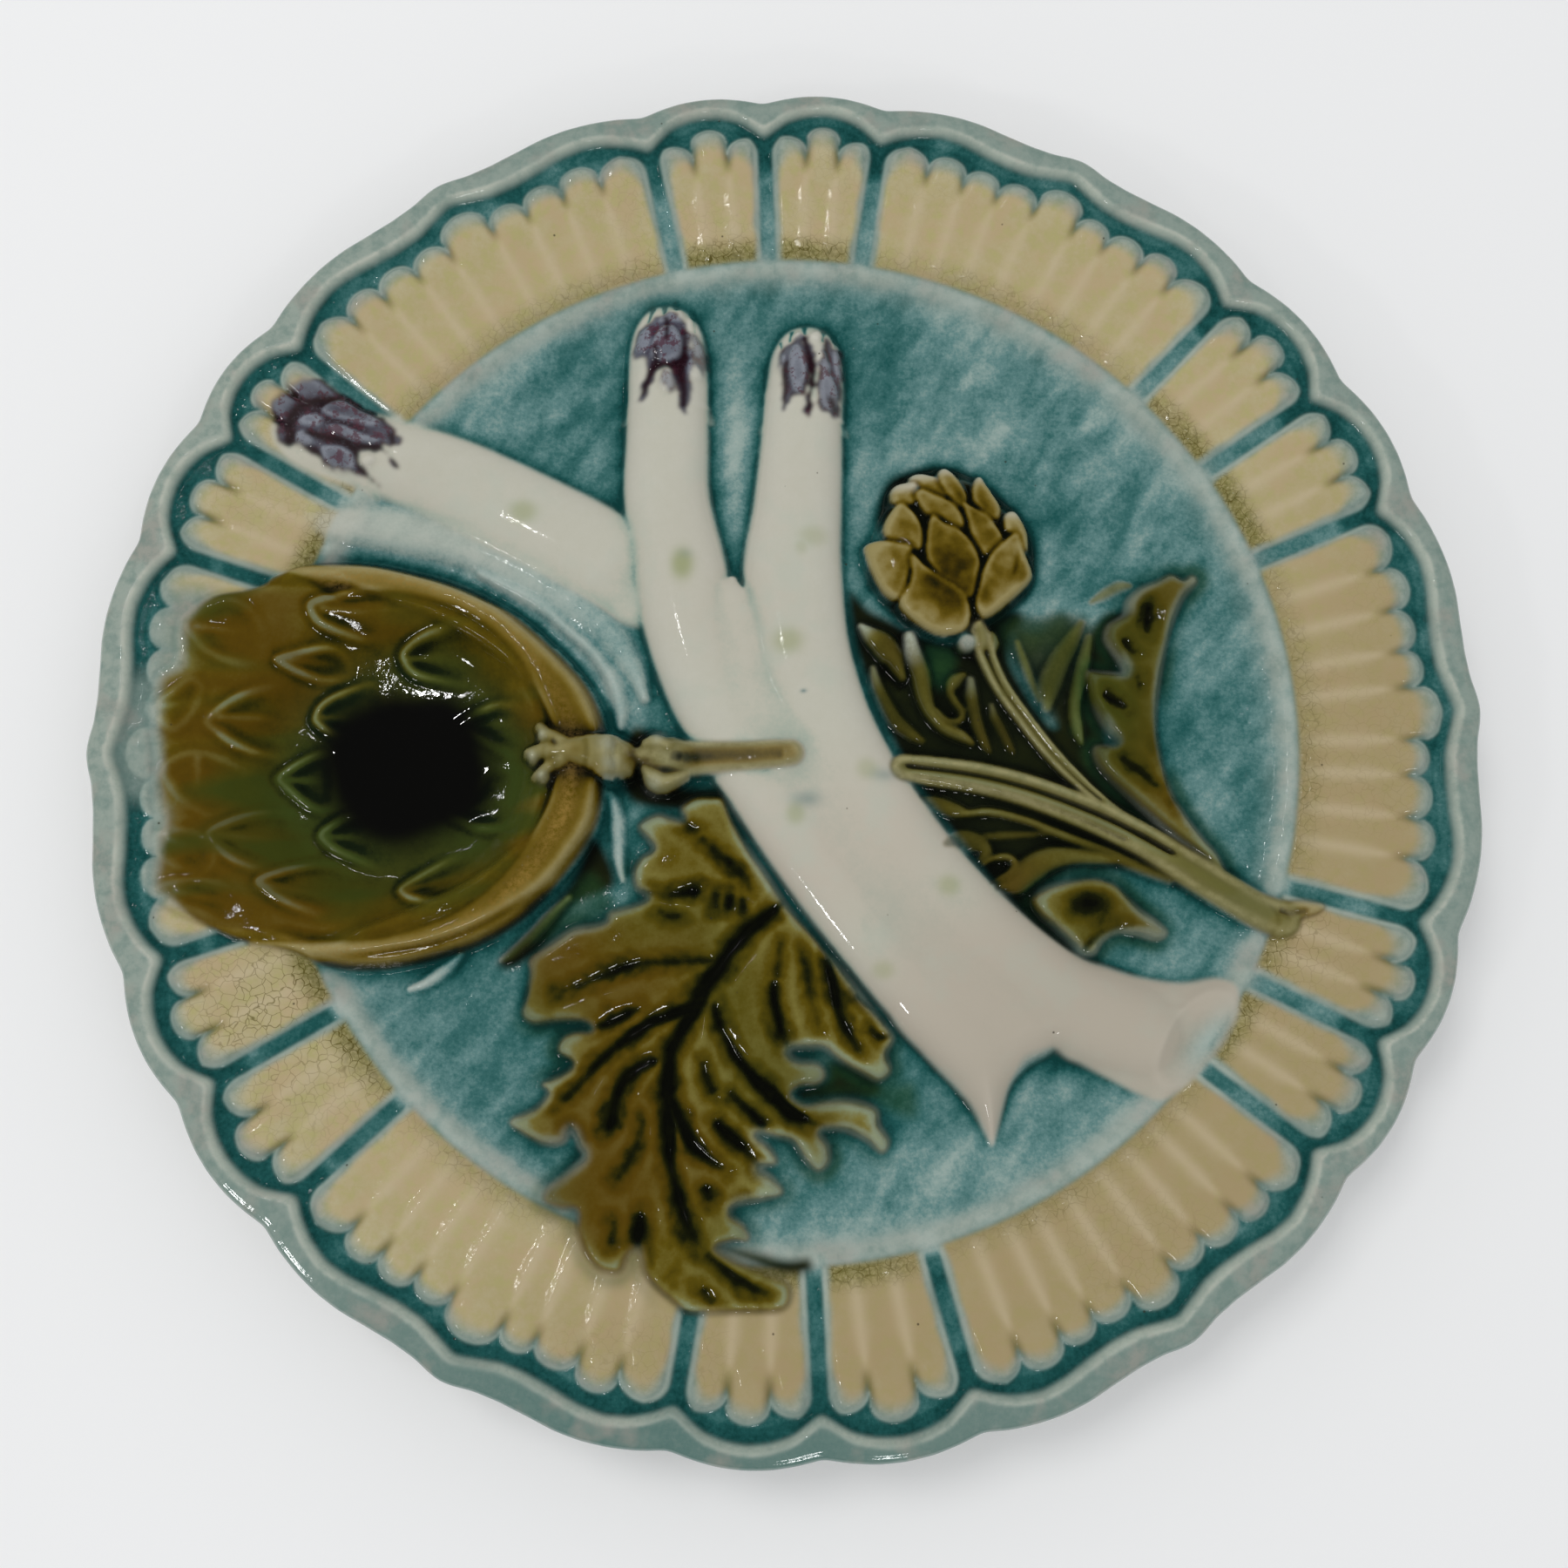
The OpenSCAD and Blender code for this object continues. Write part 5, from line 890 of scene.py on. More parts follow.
# bud: a dome, then its bracts
dome = Area([(24, 49.4), (28, 50.4), (33, 49.2), (37.6, 45.6), (41.8, 41.8), (44.2, 36.4), (44.2, 30.6), (41.4, 25.6), (36.4, 21.6), (31, 19), (26, 19.2), (21, 22), (17, 26.6), (14.4, 32), (14.8, 37), (17, 42), (19.4, 46.8)], 6)
dome_z = np.full((N, N), -50.0)
q = np.clip(1 - np.hypot((X - 29.2) / 16.2, (Y - 34.6) / 17) ** 2, 0, 1)
dome_z = 9.4 + 4.1 * q ** 0.5
lay("artichoke_bud", dome.sl, np.minimum(dome_z[dome.sl], 9.6 + 4 * ss((dome.d + 0.3) / 4)), dome.d > -0.2, 0.3)
BRACTS = [
    [(22.3, 48.2), (24, 48.8), (27, 47.6), (28.4, 46), (28.4, 44), (26.4, 44.6), (24, 45.8), (22.4, 46.8)],
    [(27.4, 48), (28.2, 49.9), (29.4, 49.2), (31, 46.6), (32, 44), (31.6, 42), (29.8, 42.8), (28.6, 45)],
    [(33.6, 46), (34.8, 48.4), (35.6, 47), (37.1, 44.4), (38.1, 42), (37.6, 40), (36, 40.4), (34.4, 42), (33.5, 43.6)],
    [(19.6, 46.6), (22.6, 46.6), (23.3, 44.4), (22.4, 42.8), (19.7, 42.9), (18.7, 44.4)],
    [(41, 41.6), (42.4, 39.4), (43.1, 37), (42.9, 34.6), (41.7, 35.4), (41, 37.2), (39.2, 38), (39.2, 40.2), (40, 41.2)],
    [(24, 45.3), (26, 44.3), (29, 42.8), (31, 40.5), (31.4, 38.4), (30, 37.9), (27.4, 40), (25.2, 40.5), (23.8, 42.4), (23.2, 44.3)],
    [(20, 42.5), (21.5, 41.8), (23, 39.8), (23.8, 37.5), (23.9, 34.6), (22.4, 34), (20.5, 35.3), (18.2, 36), (17.4, 38), (18.4, 40.6)],
    [(31.7, 42.5), (33.5, 41.5), (36, 40), (37.8, 37.5), (38.4, 35.8), (37, 34.4), (35.5, 33), (34.4, 34), (33, 36.5), (32.4, 39.5)],
    [(14.2, 35.2), (16.5, 35.6), (19.5, 35), (21.9, 34), (21.8, 31), (21.2, 28), (20.8, 25.8), (19, 25.3), (17, 27), (15.2, 30.5), (14.2, 33.5)],
    [(26, 40), (28, 38.5), (31, 37), (33, 34.5), (34.1, 31.5), (33.6, 28.5), (32.8, 25.5), (31.4, 25.4), (29, 27.3), (26.5, 29.5), (25, 32.5), (25, 36), (25.4, 38.6)],
    [(40.9, 37), (41.8, 35), (43, 32.5), (43.9, 30), (42.6, 28), (40, 25.5), (37, 23), (35, 22.1), (33.7, 24), (34.3, 27), (35, 30), (36.5, 33), (39, 35.6)],
    [(22.3, 32.7), (24, 31), (27, 28.5), (30, 26.5), (31.9, 24.5), (32.4, 22), (31.8, 20), (30, 19.1), (27, 19), (24, 20.5), (21.5, 22.5), (20.2, 24.5), (21.4, 26.5), (22.2, 29)],
]
DOMEZ = np.where(dome_z > 9.5, dome_z, 9.5)
FACE = np.zeros((N, N))
for i, pts in enumerate(BRACTS):
    ar = Area(pts, 3)
    e = ar.d + 0.42
    y_hi, y_lo = max(q[1] for q in pts), min(q[1] for q in pts)
    foot = np.clip((y_hi - Y[ar.sl]) / (y_hi - y_lo), 0, 1)
    h = 0.95 * ss((e + 0.3) / 1.0) + 0.16 * np.exp(-((e - 0.75) / 0.5) ** 2) + 0.2 * ss((e - 0.8) / 2.4) - 0.35 * np.exp(-((e + 0.5) / 0.35) ** 2)
    lay("bud_bracts", ar.sl, DOMEZ[ar.sl] + h + 0.35, e > -0.2, 0.12)
    paint("amber", ar.sl, ss((e + 0.25) / 0.6))
    FACE[ar.sl] = np.where(e > -0.9, np.maximum(FACE[ar.sl], 0.34 * np.exp(-((e + 0.05) / 0.5) ** 2)), FACE[ar.sl])
    FACE[ar.sl] = np.where(e > 0.1, -0.03 + 0.1 * ss((e - 0.9) / 2.2) + 0.1 * (foot - 0.45) * ss((e - 0.5) / 1.5) - 0.13 * np.exp(-((e - 0.65) / 0.35) ** 2) * (1.4 - foot) + 0.5 * MOTTLE[ar.sl] * ss(e), FACE[ar.sl])
    STEMS[ar.sl] = np.where(e > -0.1, 0.0, STEMS[ar.sl])
    PALE_AND_HIGHLIGHT[ar.sl] = np.where(e > -0.1, 0.0, PALE_AND_HIGHLIGHT[ar.sl])
    if i < 5:
        paint("ivory", ar.sl, 0.55 * ss((Y[ar.sl] - max(q[1] for q in pts) + 2.3) / 2.0) * ss((e + 0.2) / 0.6))
cut([(41.4, 34, 0.3), (41, 31.6, 0.35), (40.4, 29.6, 0.25)], 0.5)
# glassy bead under the bud
bead = np.hypot(X - 32.2, Y - 17.6)
on = bead < 2.0
z = BASE + 3.1 * np.sqrt(np.clip(1 - (bead / 2.0) ** 2, 0, 1))
lay("bud_stem", ALL, z, on, 0.15)
paint("lip", ALL, 0.75 * ss((1.9 - bead) / 0.8))

# ------------------------------------------------------ knuckle and short stem
KN = [([(-45.4, -3.7, 1.0), (-42.4, -3.6, 1.7), (-38, -3.5, 2.2), (-34, -3.8, 3.2), (-31, -4.2, 4.2), (-29.4, -4.4, 3.6)], 2.4),
      ([(-43.4, 0.8, 0.9), (-41.6, -0.8, 1.3), (-39, -2.2, 1.4)], 1.9), ([(-44, -8, 0.8), (-41.6, -6.4, 1.3), (-39, -5, 1.4)], 1.7)]
KNOBS = [(-42.6, -0.8, 1.15), (-44.2, -4.6, 1.2), (-42.4, -8.0, 1.1)]
KNB = np.interp(X, [-50, -46, -42, -38, -34, -31, -28.5, -26], [12.6, 13.4, 14.8, 16.0, 16.3, 15.2, 12.6, 10.6])
for pts, high in KN:
    ln, u = stroke("stem_knuckle", pts, high, 0.4, 0.55, KNB)
    cover("amber", ln, u, 0.93)
    STEMS[ln.sl] = np.maximum(STEMS[ln.sl], 0.62 * ss((1.1 - u) / 0.3))
    CROWN_HIGHLIGHT[ln.sl] = np.maximum(CROWN_HIGHLIGHT[ln.sl], 0.75 * np.exp(-(u / 0.4) ** 2) * np.clip(0.6 + 0.4 * np.cos((X[ln.sl] + 30.6) * 0.75), 0, 1))
for x, y, r in KNOBS:
    q = np.hypot(X - x, Y - y) / r
    lay("stem_knuckle", ALL, KNB + 2.5 * np.sqrt(np.clip(1 - q * q, 0, 1)), q < 1, 0.3)
    paint("amber", ALL, 0.93 * ss((1.2 - q) / 0.3))
    STEMS = np.maximum(STEMS, 0.85 * ss((1.2 - q) / 0.3))
    CROWN_HIGHLIGHT = np.maximum(CROWN_HIGHLIGHT, 0.8 * np.exp(-(q / 0.6) ** 2))
REST = np.interp(X, [-30, -24, -16, -10, -4, 2.4], [10.6, 10.0, 10.2, 12.2, 13.2, 13.4])
ST = [([(-29, -3.2, 1.3), (-26.6, -3.4, 1.6), (-24.6, -3.6, 2.8), (-21, -4, 4.2), (-17.4, -4, 3.4), (-13, -4, 2.9), (-7, -3.9, 2.7), (-2, -3.6, 2.6), (0.6, -3.4, 2.4)], 2.6),
      ([(-25, -1.4, 1.1), (-23.4, -1.2, 1.7), (-21, -1.8, 1.2)], 3.4), ([(-25.2, -6.2, 0.9), (-23.6, -7.6, 2.2), (-21.6, -8.4, 2.0), (-18, -7.4, 1.0)], 3.6)]
for pts, high in ST:
    ln, u = stroke("sauce_stem", pts, high, 0.35, 0.5, REST)
    cover("amber", ln, u, 0.93)
    flat = ss((X[ln.sl] + 20.5) / 4) if high == 2.6 else np.zeros_like(u)
    STEMS[ln.sl] = np.maximum(STEMS[ln.sl], 0.85 * ss((1.1 - u) / 0.3) * (1 - flat * ss((0.74 - u) / 0.3)))
    SHADE_AND_POOLING[ln.sl] = np.maximum(SHADE_AND_POOLING[ln.sl], 0.5 * flat * ss((0.62 - u) / 0.3) + 0.8 * flat * np.exp(-((X[ln.sl] + 18.6) / 1.2) ** 2) * ss((0.5 - u) / 0.3))
    CROWN_HIGHLIGHT[ln.sl] = np.maximum(CROWN_HIGHLIGHT[ln.sl], (1 - flat) * 0.75 * np.exp(-(u / 0.5) ** 2) + flat * np.exp(-((u - 0.8) / 0.17) ** 2))

# brown recesses and pale glassy lumps on the knuckle
for x, y, sx, sy, g in ((-36.6, -3.8, 1.9, 0.9, 0.7), (-33.2, -6.9, 1.3, 0.8, 0.9), (-27.5, -3.8, 1.0, 1.9, 0.9), (-21.4, -6.2, 1.8, 0.6, 1.0), (-19.0, -3.8, 1.3, 1.0, 1.0), (-24.8, -4.4, 1.0, 0.7, 0.6), (-40.6, -2.4, 0.6, 0.9, 0.6), (-40.8, -5.8, 0.6, 0.8, 0.6)):
    q = g * np.exp(-((X - x) / sx) ** 2 - ((Y - y) / sy) ** 2)
    SHADE_AND_POOLING = np.maximum(SHADE_AND_POOLING, q)
    CROWN_HIGHLIGHT *= 1 - np.clip(q, 0, 1)
    STEMS *= 1 - 0.8 * np.clip(q, 0, 1)
for x, y, s_, g in ((-31.2, -2.4, 1.4, 0.34), (-30.6, -5.8, 1.2, 0.3), (-23.2, -8.6, 1.3, 0.3), (-22.8, -0.4, 1.1, 0.36), (-42.8, -0.8, 0.8, 0.4), (-44.4, -4.6, 0.8, 0.4), (-42.6, -8.0, 0.8, 0.4)):
    PALE_AND_HIGHLIGHT = np.maximum(PALE_AND_HIGHLIGHT, g * np.exp(-((X - x) ** 2 + (Y - y) ** 2) / s_ ** 2))

# ------------------------------------------- grooves drawn on stems and knobs
for pts, depth in (
    ([(-29.8, -9, 0.5), (-30.2, -4, 0.45), (-29.6, 0.4, 0.45)], 1.3), ([(-20.4, -3.6, 0.8), (-18.6, -3.9, 0.9)], 0.9), ([(-18.4, -4, 0.9), (-8, -4.0, 1.4), (-0.6, -3.7, 1.2)], 0.75),
    ([(-24.4, -8.4, 0.4), (-22.8, -8.9, 0.4)], 0.7), ([(-26.8, -6, 0.5), (-25.4, -8.6, 0.6), (-23.4, -10.6, 0.5)], 0.9),
    ([(20.6, -4.9, 0.6), (32, -6.3, 0.85), (42, -8.6, 0.85), (52, -12.2, 0.8), (60, -15.9, 0.65), (68, -20.6, 0.4)], 2.2),
    ([(22, -7.0, 0.35), (32, -8.5, 0.6), (42, -10.9, 0.6), (52, -14.5, 0.5), (60, -18.3, 0.4)], 1.6),
    ([(66, -22, 0.4), (72, -26, 0.4), (78, -29.8, 0.4)], 0.35), ([(62, -16.4, 0.35), (70, -21.4, 0.4), (78, -27, 0.3)], 0.35),
    ([(35.4, 16.6, 0.6), (38.1, 10.2, 0.75), (42.1, 4.2, 0.75), (46.9, -2.2, 0.7), (51.7, -7.4, 0.5), (56, -11.2, 0.35)], 2.0),
    ([(84.4, -30.4, 0.6), (86.4, -31, 1.1), (89, -30.6, 0.6)], 1.5), ([(82.8, -29.2, 0.3), (84, -31.6, 0.35), (83.2, -34.4, 0.3)], 0.6),
    ([(17, 13.6, 0.9), (19, 12, 1.6), (20.8, 9.4, 1.0)], 0.9),
    ([(-40.6, -1.6, 0.35), (-39.8, -3.2, 0.4)], 0.7), ([(-42.2, -3, 0.35), (-42.6, -6, 0.35)], 0.6), ([(-40.4, -6.8, 0.35), (-39.4, -5.2, 0.4)], 0.7),
    ([(-35, -1.6, 0.4), (-34.4, -4, 0.45), (-35, -6.6, 0.4)], 0.6), ([(-31.8, -7.4, 0.35), (-30.8, -4, 0.3)], 0.4),
):
    cut(pts, depth)
# shallow valley where the two full spears lie against each other
cut([(-10, 30, 0.9), (-8.6, 22, 0.9), (-7.4, 12, 0.8), (-4.4, 4, 0.8), (4, -8, 0.8), (12, -19, 0.8), (22, -33, 0.8), (33, -45.4, 0.8)], 0.25)

ln = Line([(-10, 27, 2.4), (-8.8, 18, 3.6), (-7.4, 10, 4.0), (-4, 3, 4.2), (4, -8.4, 4.2), (12, -19.4, 4.2), (22, -33, 4.2), (31, -43.4, 4.0), (38, -49, 3.0)], 8)
w_ = ss((1.3 - ln.d / np.maximum(ln.w, 0.1)) / 0.5) * ss((GLAZE["ivory"][ln.sl] - 0.5) / 0.3)
soft = blur(H, 1.5)
H[ln.sl] = H[ln.sl] * (1 - w_) + soft[ln.sl] * w_

# a deep hollow in the folded lower leaf
PIT = np.exp(-(np.hypot((X - 52.8) / 3.9, (Y + 29.3) / 2.9)) ** 2.4)
H -= 0.5 * PIT
PIT = PIT + 0.0

# --------------------------------------------------------------- glaze depth, with painted shade and highlights
CLAY = H.copy()
H = 0.25 * blur(CLAY, 0.22) + 0.75 * blur(CLAY, 0.46)
depth = 0.45 * (blur(CLAY, 0.9) - CLAY) / 0.5 + 0.55 * (blur(CLAY, 2.4) - CLAY) / 1.1
rimz = ss((R - 89.6) / 1.0) * ss((-X - Y + 400) / 10)          # panels and channels: more even
depth *= 1 - 0.72 * rimz * (OWNER != label("sauce_bowl")) * (GLAZE["olive"] < 0.4) * (GLAZE["amber"] < 0.4) * (paint_purple < 0.3)
THICK_AND_PAINTED_LIGHT = 0.5 + 0.5 * blur(depth, 0.25) * (1 + 0.7 * paint_purple)
in_bowl = np.clip(blur(((OWNER == label("sauce_bowl")) | (OWNER == label("sauce_scales"))) * 1.0, 0.5), 0, 1)
blade = np.clip(blur(BLADE, 0.4), 0, 1)
# thin runs over blades and bowl stay translucent: the darkening levels off
for zone, knee, gain in ((blade, 0.56, 0.38), (in_bowl, 0.54, 0.36)):
    over_ = np.clip(THICK_AND_PAINTED_LIGHT - knee, 0, None)
    THICK_AND_PAINTED_LIGHT = THICK_AND_PAINTED_LIGHT - zone * (1 - gain) * over_
# painted shade and highlight from the leaves and the bowl's bracts, with pooled glaze
THICK_AND_PAINTED_LIGHT += 0.34 * blur(SHADE_AND_POOLING, 0.2) - 0.34 * blur(SCALE_RIM_AND_SHADOW, 0.25) + 0.6 * blur(PIT, 0.8) + blur(FACE, 0.2) + 0.3 * blur(CORE, 0.18) - 0.045 * blade
THICK_AND_PAINTED_LIGHT += in_bowl * (0.05 * noise(66, 1.6, -1, 1) + 0.05 * noise(67, 4.5, -1, 1) - 0.03) * ss((RB - 17) / 4)
THICK_AND_PAINTED_LIGHT += 0.12 * in_bowl * ss((22 - RB) / 6)
THICK_AND_PAINTED_LIGHT[bowl.sl] -= (0.42 * ss((6.5 + 1.5 * noise(78, 1.6, -1, 1)[bowl.sl] - inside) / 6.5) * ss((-97 - X[bowl.sl]) / 8) + 0.12 * ss((2.0 - inside) / 2.0) * ss((-84 - X[bowl.sl]) / 8)) * np.clip(GLAZE["olive"][bowl.sl], 0, 1)
THICK_AND_PAINTED_LIGHT += np.clip(0.5 - THICK_AND_PAINTED_LIGHT, 0, 1) * ridge * np.clip(in_bowl + 0.0, 0, 1) * 0.9
THICK_AND_PAINTED_LIGHT[right.sl] += 0.07 * ss((right.d + 0.6) / 1.0)
THICK_AND_PAINTED_LIGHT += 0.5 * blur(fold_tint, 0.15) * (1 - paint_purple)
# painted highlight: the glaze along the lip's inner crest is made paler, for the lamps' reflection on the ridge
THICK_AND_PAINTED_LIGHT -= 0.34 * np.exp(-((R - R_IN - 0.65) / 0.34) ** 2) * np.clip(noise(79, 2.4, 0.1, 1.3), 0, 1)
# the bowl's lip is darker away from its painted crest highlight
THICK_AND_PAINTED_LIGHT += 0.17 * blur(lip_w * (1 - np.clip(crest, 0, 1)), 0.4)
THICK_AND_PAINTED_LIGHT += 0.03 * GLAZE["amber"] * (RB > 40)
THICK_AND_PAINTED_LIGHT += 0.05 * ss((X + Y) / 90) * (R > R_IN) - 0.07 * ss((-X - 40) / 60) * (R > R_IN)
THICK_AND_PAINTED_LIGHT += 0.3 * np.exp(-(((PH - 262) / 42) ** 2)) * (R > R_IN)
THICK_AND_PAINTED_LIGHT += 0.12 * np.exp(-((X - 15) / 9) ** 2 - ((Y + 37) / 9) ** 2) + 0.1 * np.exp(-((X - 32) / 9) ** 2 - ((Y + 27) / 6) ** 2)
ditch = Area([(-86, 33.6), (-74, 32.6), (-62, 30.2), (-52, 25.8), (-44, 19.8), (-37.4, 13.4), (-32.4, 6.8), (-29.6, 1.4), (-26, 0), (-24.6, 8), (-26, 18), (-30, 27), (-40, 35), (-52, 40.6), (-66, 44.4), (-83, 45.5)], 6)
w_ = 0.9 * ss((ditch.d + 0.8) / 2.2) * (1 - np.clip(GLAZE["ivory"][ditch.sl], 0, 1))
THICK_AND_PAINTED_LIGHT[ditch.sl] = THICK_AND_PAINTED_LIGHT[ditch.sl] * (1 - w_) + w_ * (0.3 + 0.35 * (THICK_AND_PAINTED_LIGHT[ditch.sl] - 0.5))
for x, y, sx, sy, ang, g in [(-50, 27, 20, 4.5, -28, -0.1), (-34, 10, 8, 4, -60, -0.1), (-27, -20, 2.5, 8, 0, -0.1)]:
    c_, s_ = math.cos(math.radians(ang)), math.sin(math.radians(ang))
    THICK_AND_PAINTED_LIGHT += g * np.exp(-((((X - x) * c_ + (Y - y) * s_) / sx) ** 2 + ((-(X - x) * s_ + (Y - y) * c_) / sy) ** 2)) * (GLAZE["olive"] < 0.2) * (GLAZE["amber"] < 0.2)
THICK_AND_PAINTED_LIGHT = np.clip(THICK_AND_PAINTED_LIGHT, 0, 1)
for kind in KINDS:
    GLAZE[kind] = np.clip(blur(GLAZE[kind], 0.22), 0, 1)
POOL = np.clip(blur(pool, 0.5), 0, 1)
DEEP = np.clip(blur(deep, 0.2), 0, 1)

# slow tone fields: brushed teal in the well, panel tone, spear spots
tone = 0.52 + 0.05 * noise2(21, 5.0, 1.6, 62) + 0.06 * noise2(23, 1.8, 0.7, 55) + 0.1 * noise(22, 4.0, -1, 1)
TONE_AT = [(-44, 56, 14, 10, 0.1), (-56, 62, 10, 6, 0.05), (-36, 50, 8, 12, 0.2), (-51, -52, 12, 9, 0.55), (80, -2, 5, 12, 0.75), (-9.6, 48, 2.4, 14, -0.9), (48.3, -57.6, 3, 2, 1.0), (41, -60, 3, 5, -0.9), (50, 40, 16, 10, 0.25), (60, 48, 12, 10, 0.1), (-4, 84, 26, 3.5, 0.4), (17, 78, 7, 12, 0.85), (16, 62, 5, 8, 0.6),
           (62, -30, 5, 3, 0.7), (58, -36, 7, 3, 0.55), (-28, -20, 4, 6, 0.7), (16, -62, 6, 7, 0.9), (22, -66, 8, 4, 0.5), (-40, -48, 8, 6, 0.4), (-60, 33, 22, 3, 0.1),
           (-36, 20, 12, 4, 0.1), (68, -2, 2.6, 14, 0.6), (66, 30, 12, 2.6, 0.6), (-26, 2, 4, 6, 0.4), (52, 30, 5, 8, 0.25), (76, -20, 4, 6, 0.2),
           (14, 40, 3, 16, -0.45), (48, 34, 3.5, 9, -0.35), (-10, 62, 1.6, 16, -0.5), (-33, -30, 6, 3, -0.3), (30, 56, 14, 4, -0.6), (72, 12, 9, 20, 0.1), (0, -84, 20, 3, -0.3),
           (40, 22, 4, 6, -0.35), (-34, -45, 1, 1, 0)]
for x, y, sx, sy, g in TONE_AT:
    tone += g * 0.27 * np.exp(-(((X - x) / sx) ** 2 + ((Y - y) / sy) ** 2))
tone -= 0.5 * np.exp(-((R - 88.0) / 2.6) ** 2)
cusp = np.zeros((N, N))
for g_ in GROOVES:
    arc = np.abs((PH - g_ + 180) % 360 - 180) * np.pi / 180 * R
    cusp = np.maximum(cusp, np.exp(-(arc / 6.5) ** 2))
low_left = ss((-X - Y + 40) / 120)
chan = ss((R - 104) / 3) * ss((R_IN + 0.4 - R) / 0.6) * ss((0.2 - panel_side) / 0.6)
t_chan = 0.66 + 0.2 * cusp + 0.2 * ss((3.2 - (R_IN - R)) / 0.9) * (0.45 + 0.55 * np.maximum(cusp, low_left)) + 0.16 * low_left + 0.16 * noise(38, 1.3, -1, 1)
upper = ss((X + Y - 40) / 80)
t_chan = t_chan + 0.05 * upper * (1 - ss((2.6 - (R_IN - R)) / 1.0)) * (0.6 + 0.8 * noise(40, 1.0, 0, 1))
THICK_AND_PAINTED_LIGHT = np.clip(THICK_AND_PAINTED_LIGHT + 0.08 * chan * upper * (1 - ss((2.6 - (R_IN - R)) / 1.0)), 0, 1)
t_chan = np.minimum(t_chan, 0.98 - 0.25 * ss((1.0 - (R_IN - R)) / 1.2))
tone = tone * (1 - chan) + t_chan * chan
groove_mid = ss((R - 90) / 2) * ss((106 - R) / 4) * ss((0.2 - panel_side) / 0.6)
tone = tone * (1 - groove_mid) + groove_mid * (0.56 + 0.3 * low_left + 0.16 * noise(39, 1.6, -1, 1))
TONE = np.clip(tone, -0.2, 1.1)
SPOTS = [(-19, 31, 2.1, 3.0, 0.8), (4.5, 36.5, 2.6, 2.0, 0.35), (-48, 41, 2.6, 2.2, 0.55), (0, 17, 2.8, 2.4, 0.55), (14, -6, 2.0, 1.9, 0.4), (1.5, -14, 1.7, 2.0, 0.5), (28, -26.4, 2.0, 1.9, 0.5),
         (16.6, -41, 1.9, 1.6, 0.4), (2.4, 34.4, 1.2, 1.4, 0.3)]
spot = np.zeros((N, N))
for x, y, sx, sy, g in SPOTS:
    spot = np.maximum(spot, g * np.exp(-(((X - x) / sx) ** 2 + ((Y - y) / sy) ** 2) ** 1.5))
SPOT = spot
TSPOTS = [(17, -7, 2.2, 1.2, 0.5), (3.4, -11.4, 2.6, 1.4, 0.6), (-18.4, 33, 1.4, 1.0, 0.25), (2.8, 7.8, 0.55, 0.35, 1.0)]
tsp = np.zeros((N, N))
for x, y, sx, sy, g in TSPOTS:
    tsp = np.maximum(tsp, g * np.exp(-(((X - x) / sx) ** 2 + ((Y - y) / sy) ** 2)))
TSPOT = tsp

# amber pooling at the panels' inner ends, strongest in the narrow ones
ends = ss((94.8 - R) / 3.6) * ss((R - 88.2) / 0.9)
narrow = np.zeros((N, N))
for i in range(18):
    if i % 3 != 2:
        narrow = np.maximum(narrow, (panel_of == i + 1) * 1.0)
END = np.clip(blur(ends * (0.4 + 0.6 * narrow), 0.4), 0, 1) * np.clip(noise(51, 4.0, 0.45, 1.25), 0, 1)
VALLEY = np.clip(blur(flute_v * ss(panel_edge / 0.8) * ss((R - 105) / 4.5), 0.18), 0, 1)


# -------------------------------------------------------------- mesh building
GY, GX = np.gradient(H, P)
NZ = 1 / np.sqrt(1 + GX ** 2 + GY ** 2)
ZB = H.copy()                               # where the pieces' undersides lie
for _ in range(int(round(2.4 / P))):
    ZB[1:-1, 1:-1] = np.minimum.reduce([ZB[1:-1, 1:-1], ZB[:-2, 1:-1], ZB[2:, 1:-1], ZB[1:-1, :-2], ZB[1:-1, 2:]])
ZB = blur(ZB, 1.2) - 0.9


def sample(f, x, y):
    """Bilinear reading of a field at any point."""
    u = np.clip((x - AX[0]) / P, 0, N - 1.001)
    v = np.clip((y - AX[0]) / P, 0, N - 1.001)
    i, j = u.astype(int), v.astype(int)
    a, b = u - i, v - j
    return (f[j, i] * (1 - a) + f[j, i + 1] * a) * (1 - b) + (f[j + 1, i] * (1 - a) + f[j + 1, i + 1] * a) * b


RUST = noise(71, 5.0, -0.5, 0.7)
for x, y, r, g in [(-38, -40, 9, 0.9), (-34, -76, 8, 0.7), (-30, -44, 8, 0.5), (-24, -82, 7, 0.5), (-95, -26, 12, 0.9), (-100, -22, 8, 0.6), (-100, 20, 10, 0.7), (-90, -34, 12, 0.8), (-76, 20, 16, 0.35),
                   (20, 16, 4, 0.9), (53, -29, 4, 0.9), (40, -26, 4, 0.5), (-104, -8, 8, 0.5), (30, 34, 14, 0.3), (-8, -88, 8, 0.4)]:
    RUST += g * np.exp(-((X - x) ** 2 + (Y - y) ** 2) / r ** 2)
MOSS = noise(72, 6.0, -0.5, 0.8)
for x, y, r, g in [(-78, -22, 16, 0.9), (-84, -12, 12, 0.5), (-55, -2, 12, 0.8), (-60, 16, 10, 0.4), (-92, 18, 12, 0.5), (-50, -12, 10, 0.7), (58, 8, 12, 0.7), (-12, -60, 12, 0.4), (4, -66, 8, 0.5),
                   (-26, -18, 6, 0.4), (50, -28, 14, 0.5), (32, 8, 10, 0.5), (-18, -30, 6, 0.4)]:
    MOSS += g * np.exp(-((X - x) ** 2 + (Y - y) ** 2) / r ** 2)
MOSS[right.sl] += 0.55 * ss((right.d + 0.4) / 1.0)
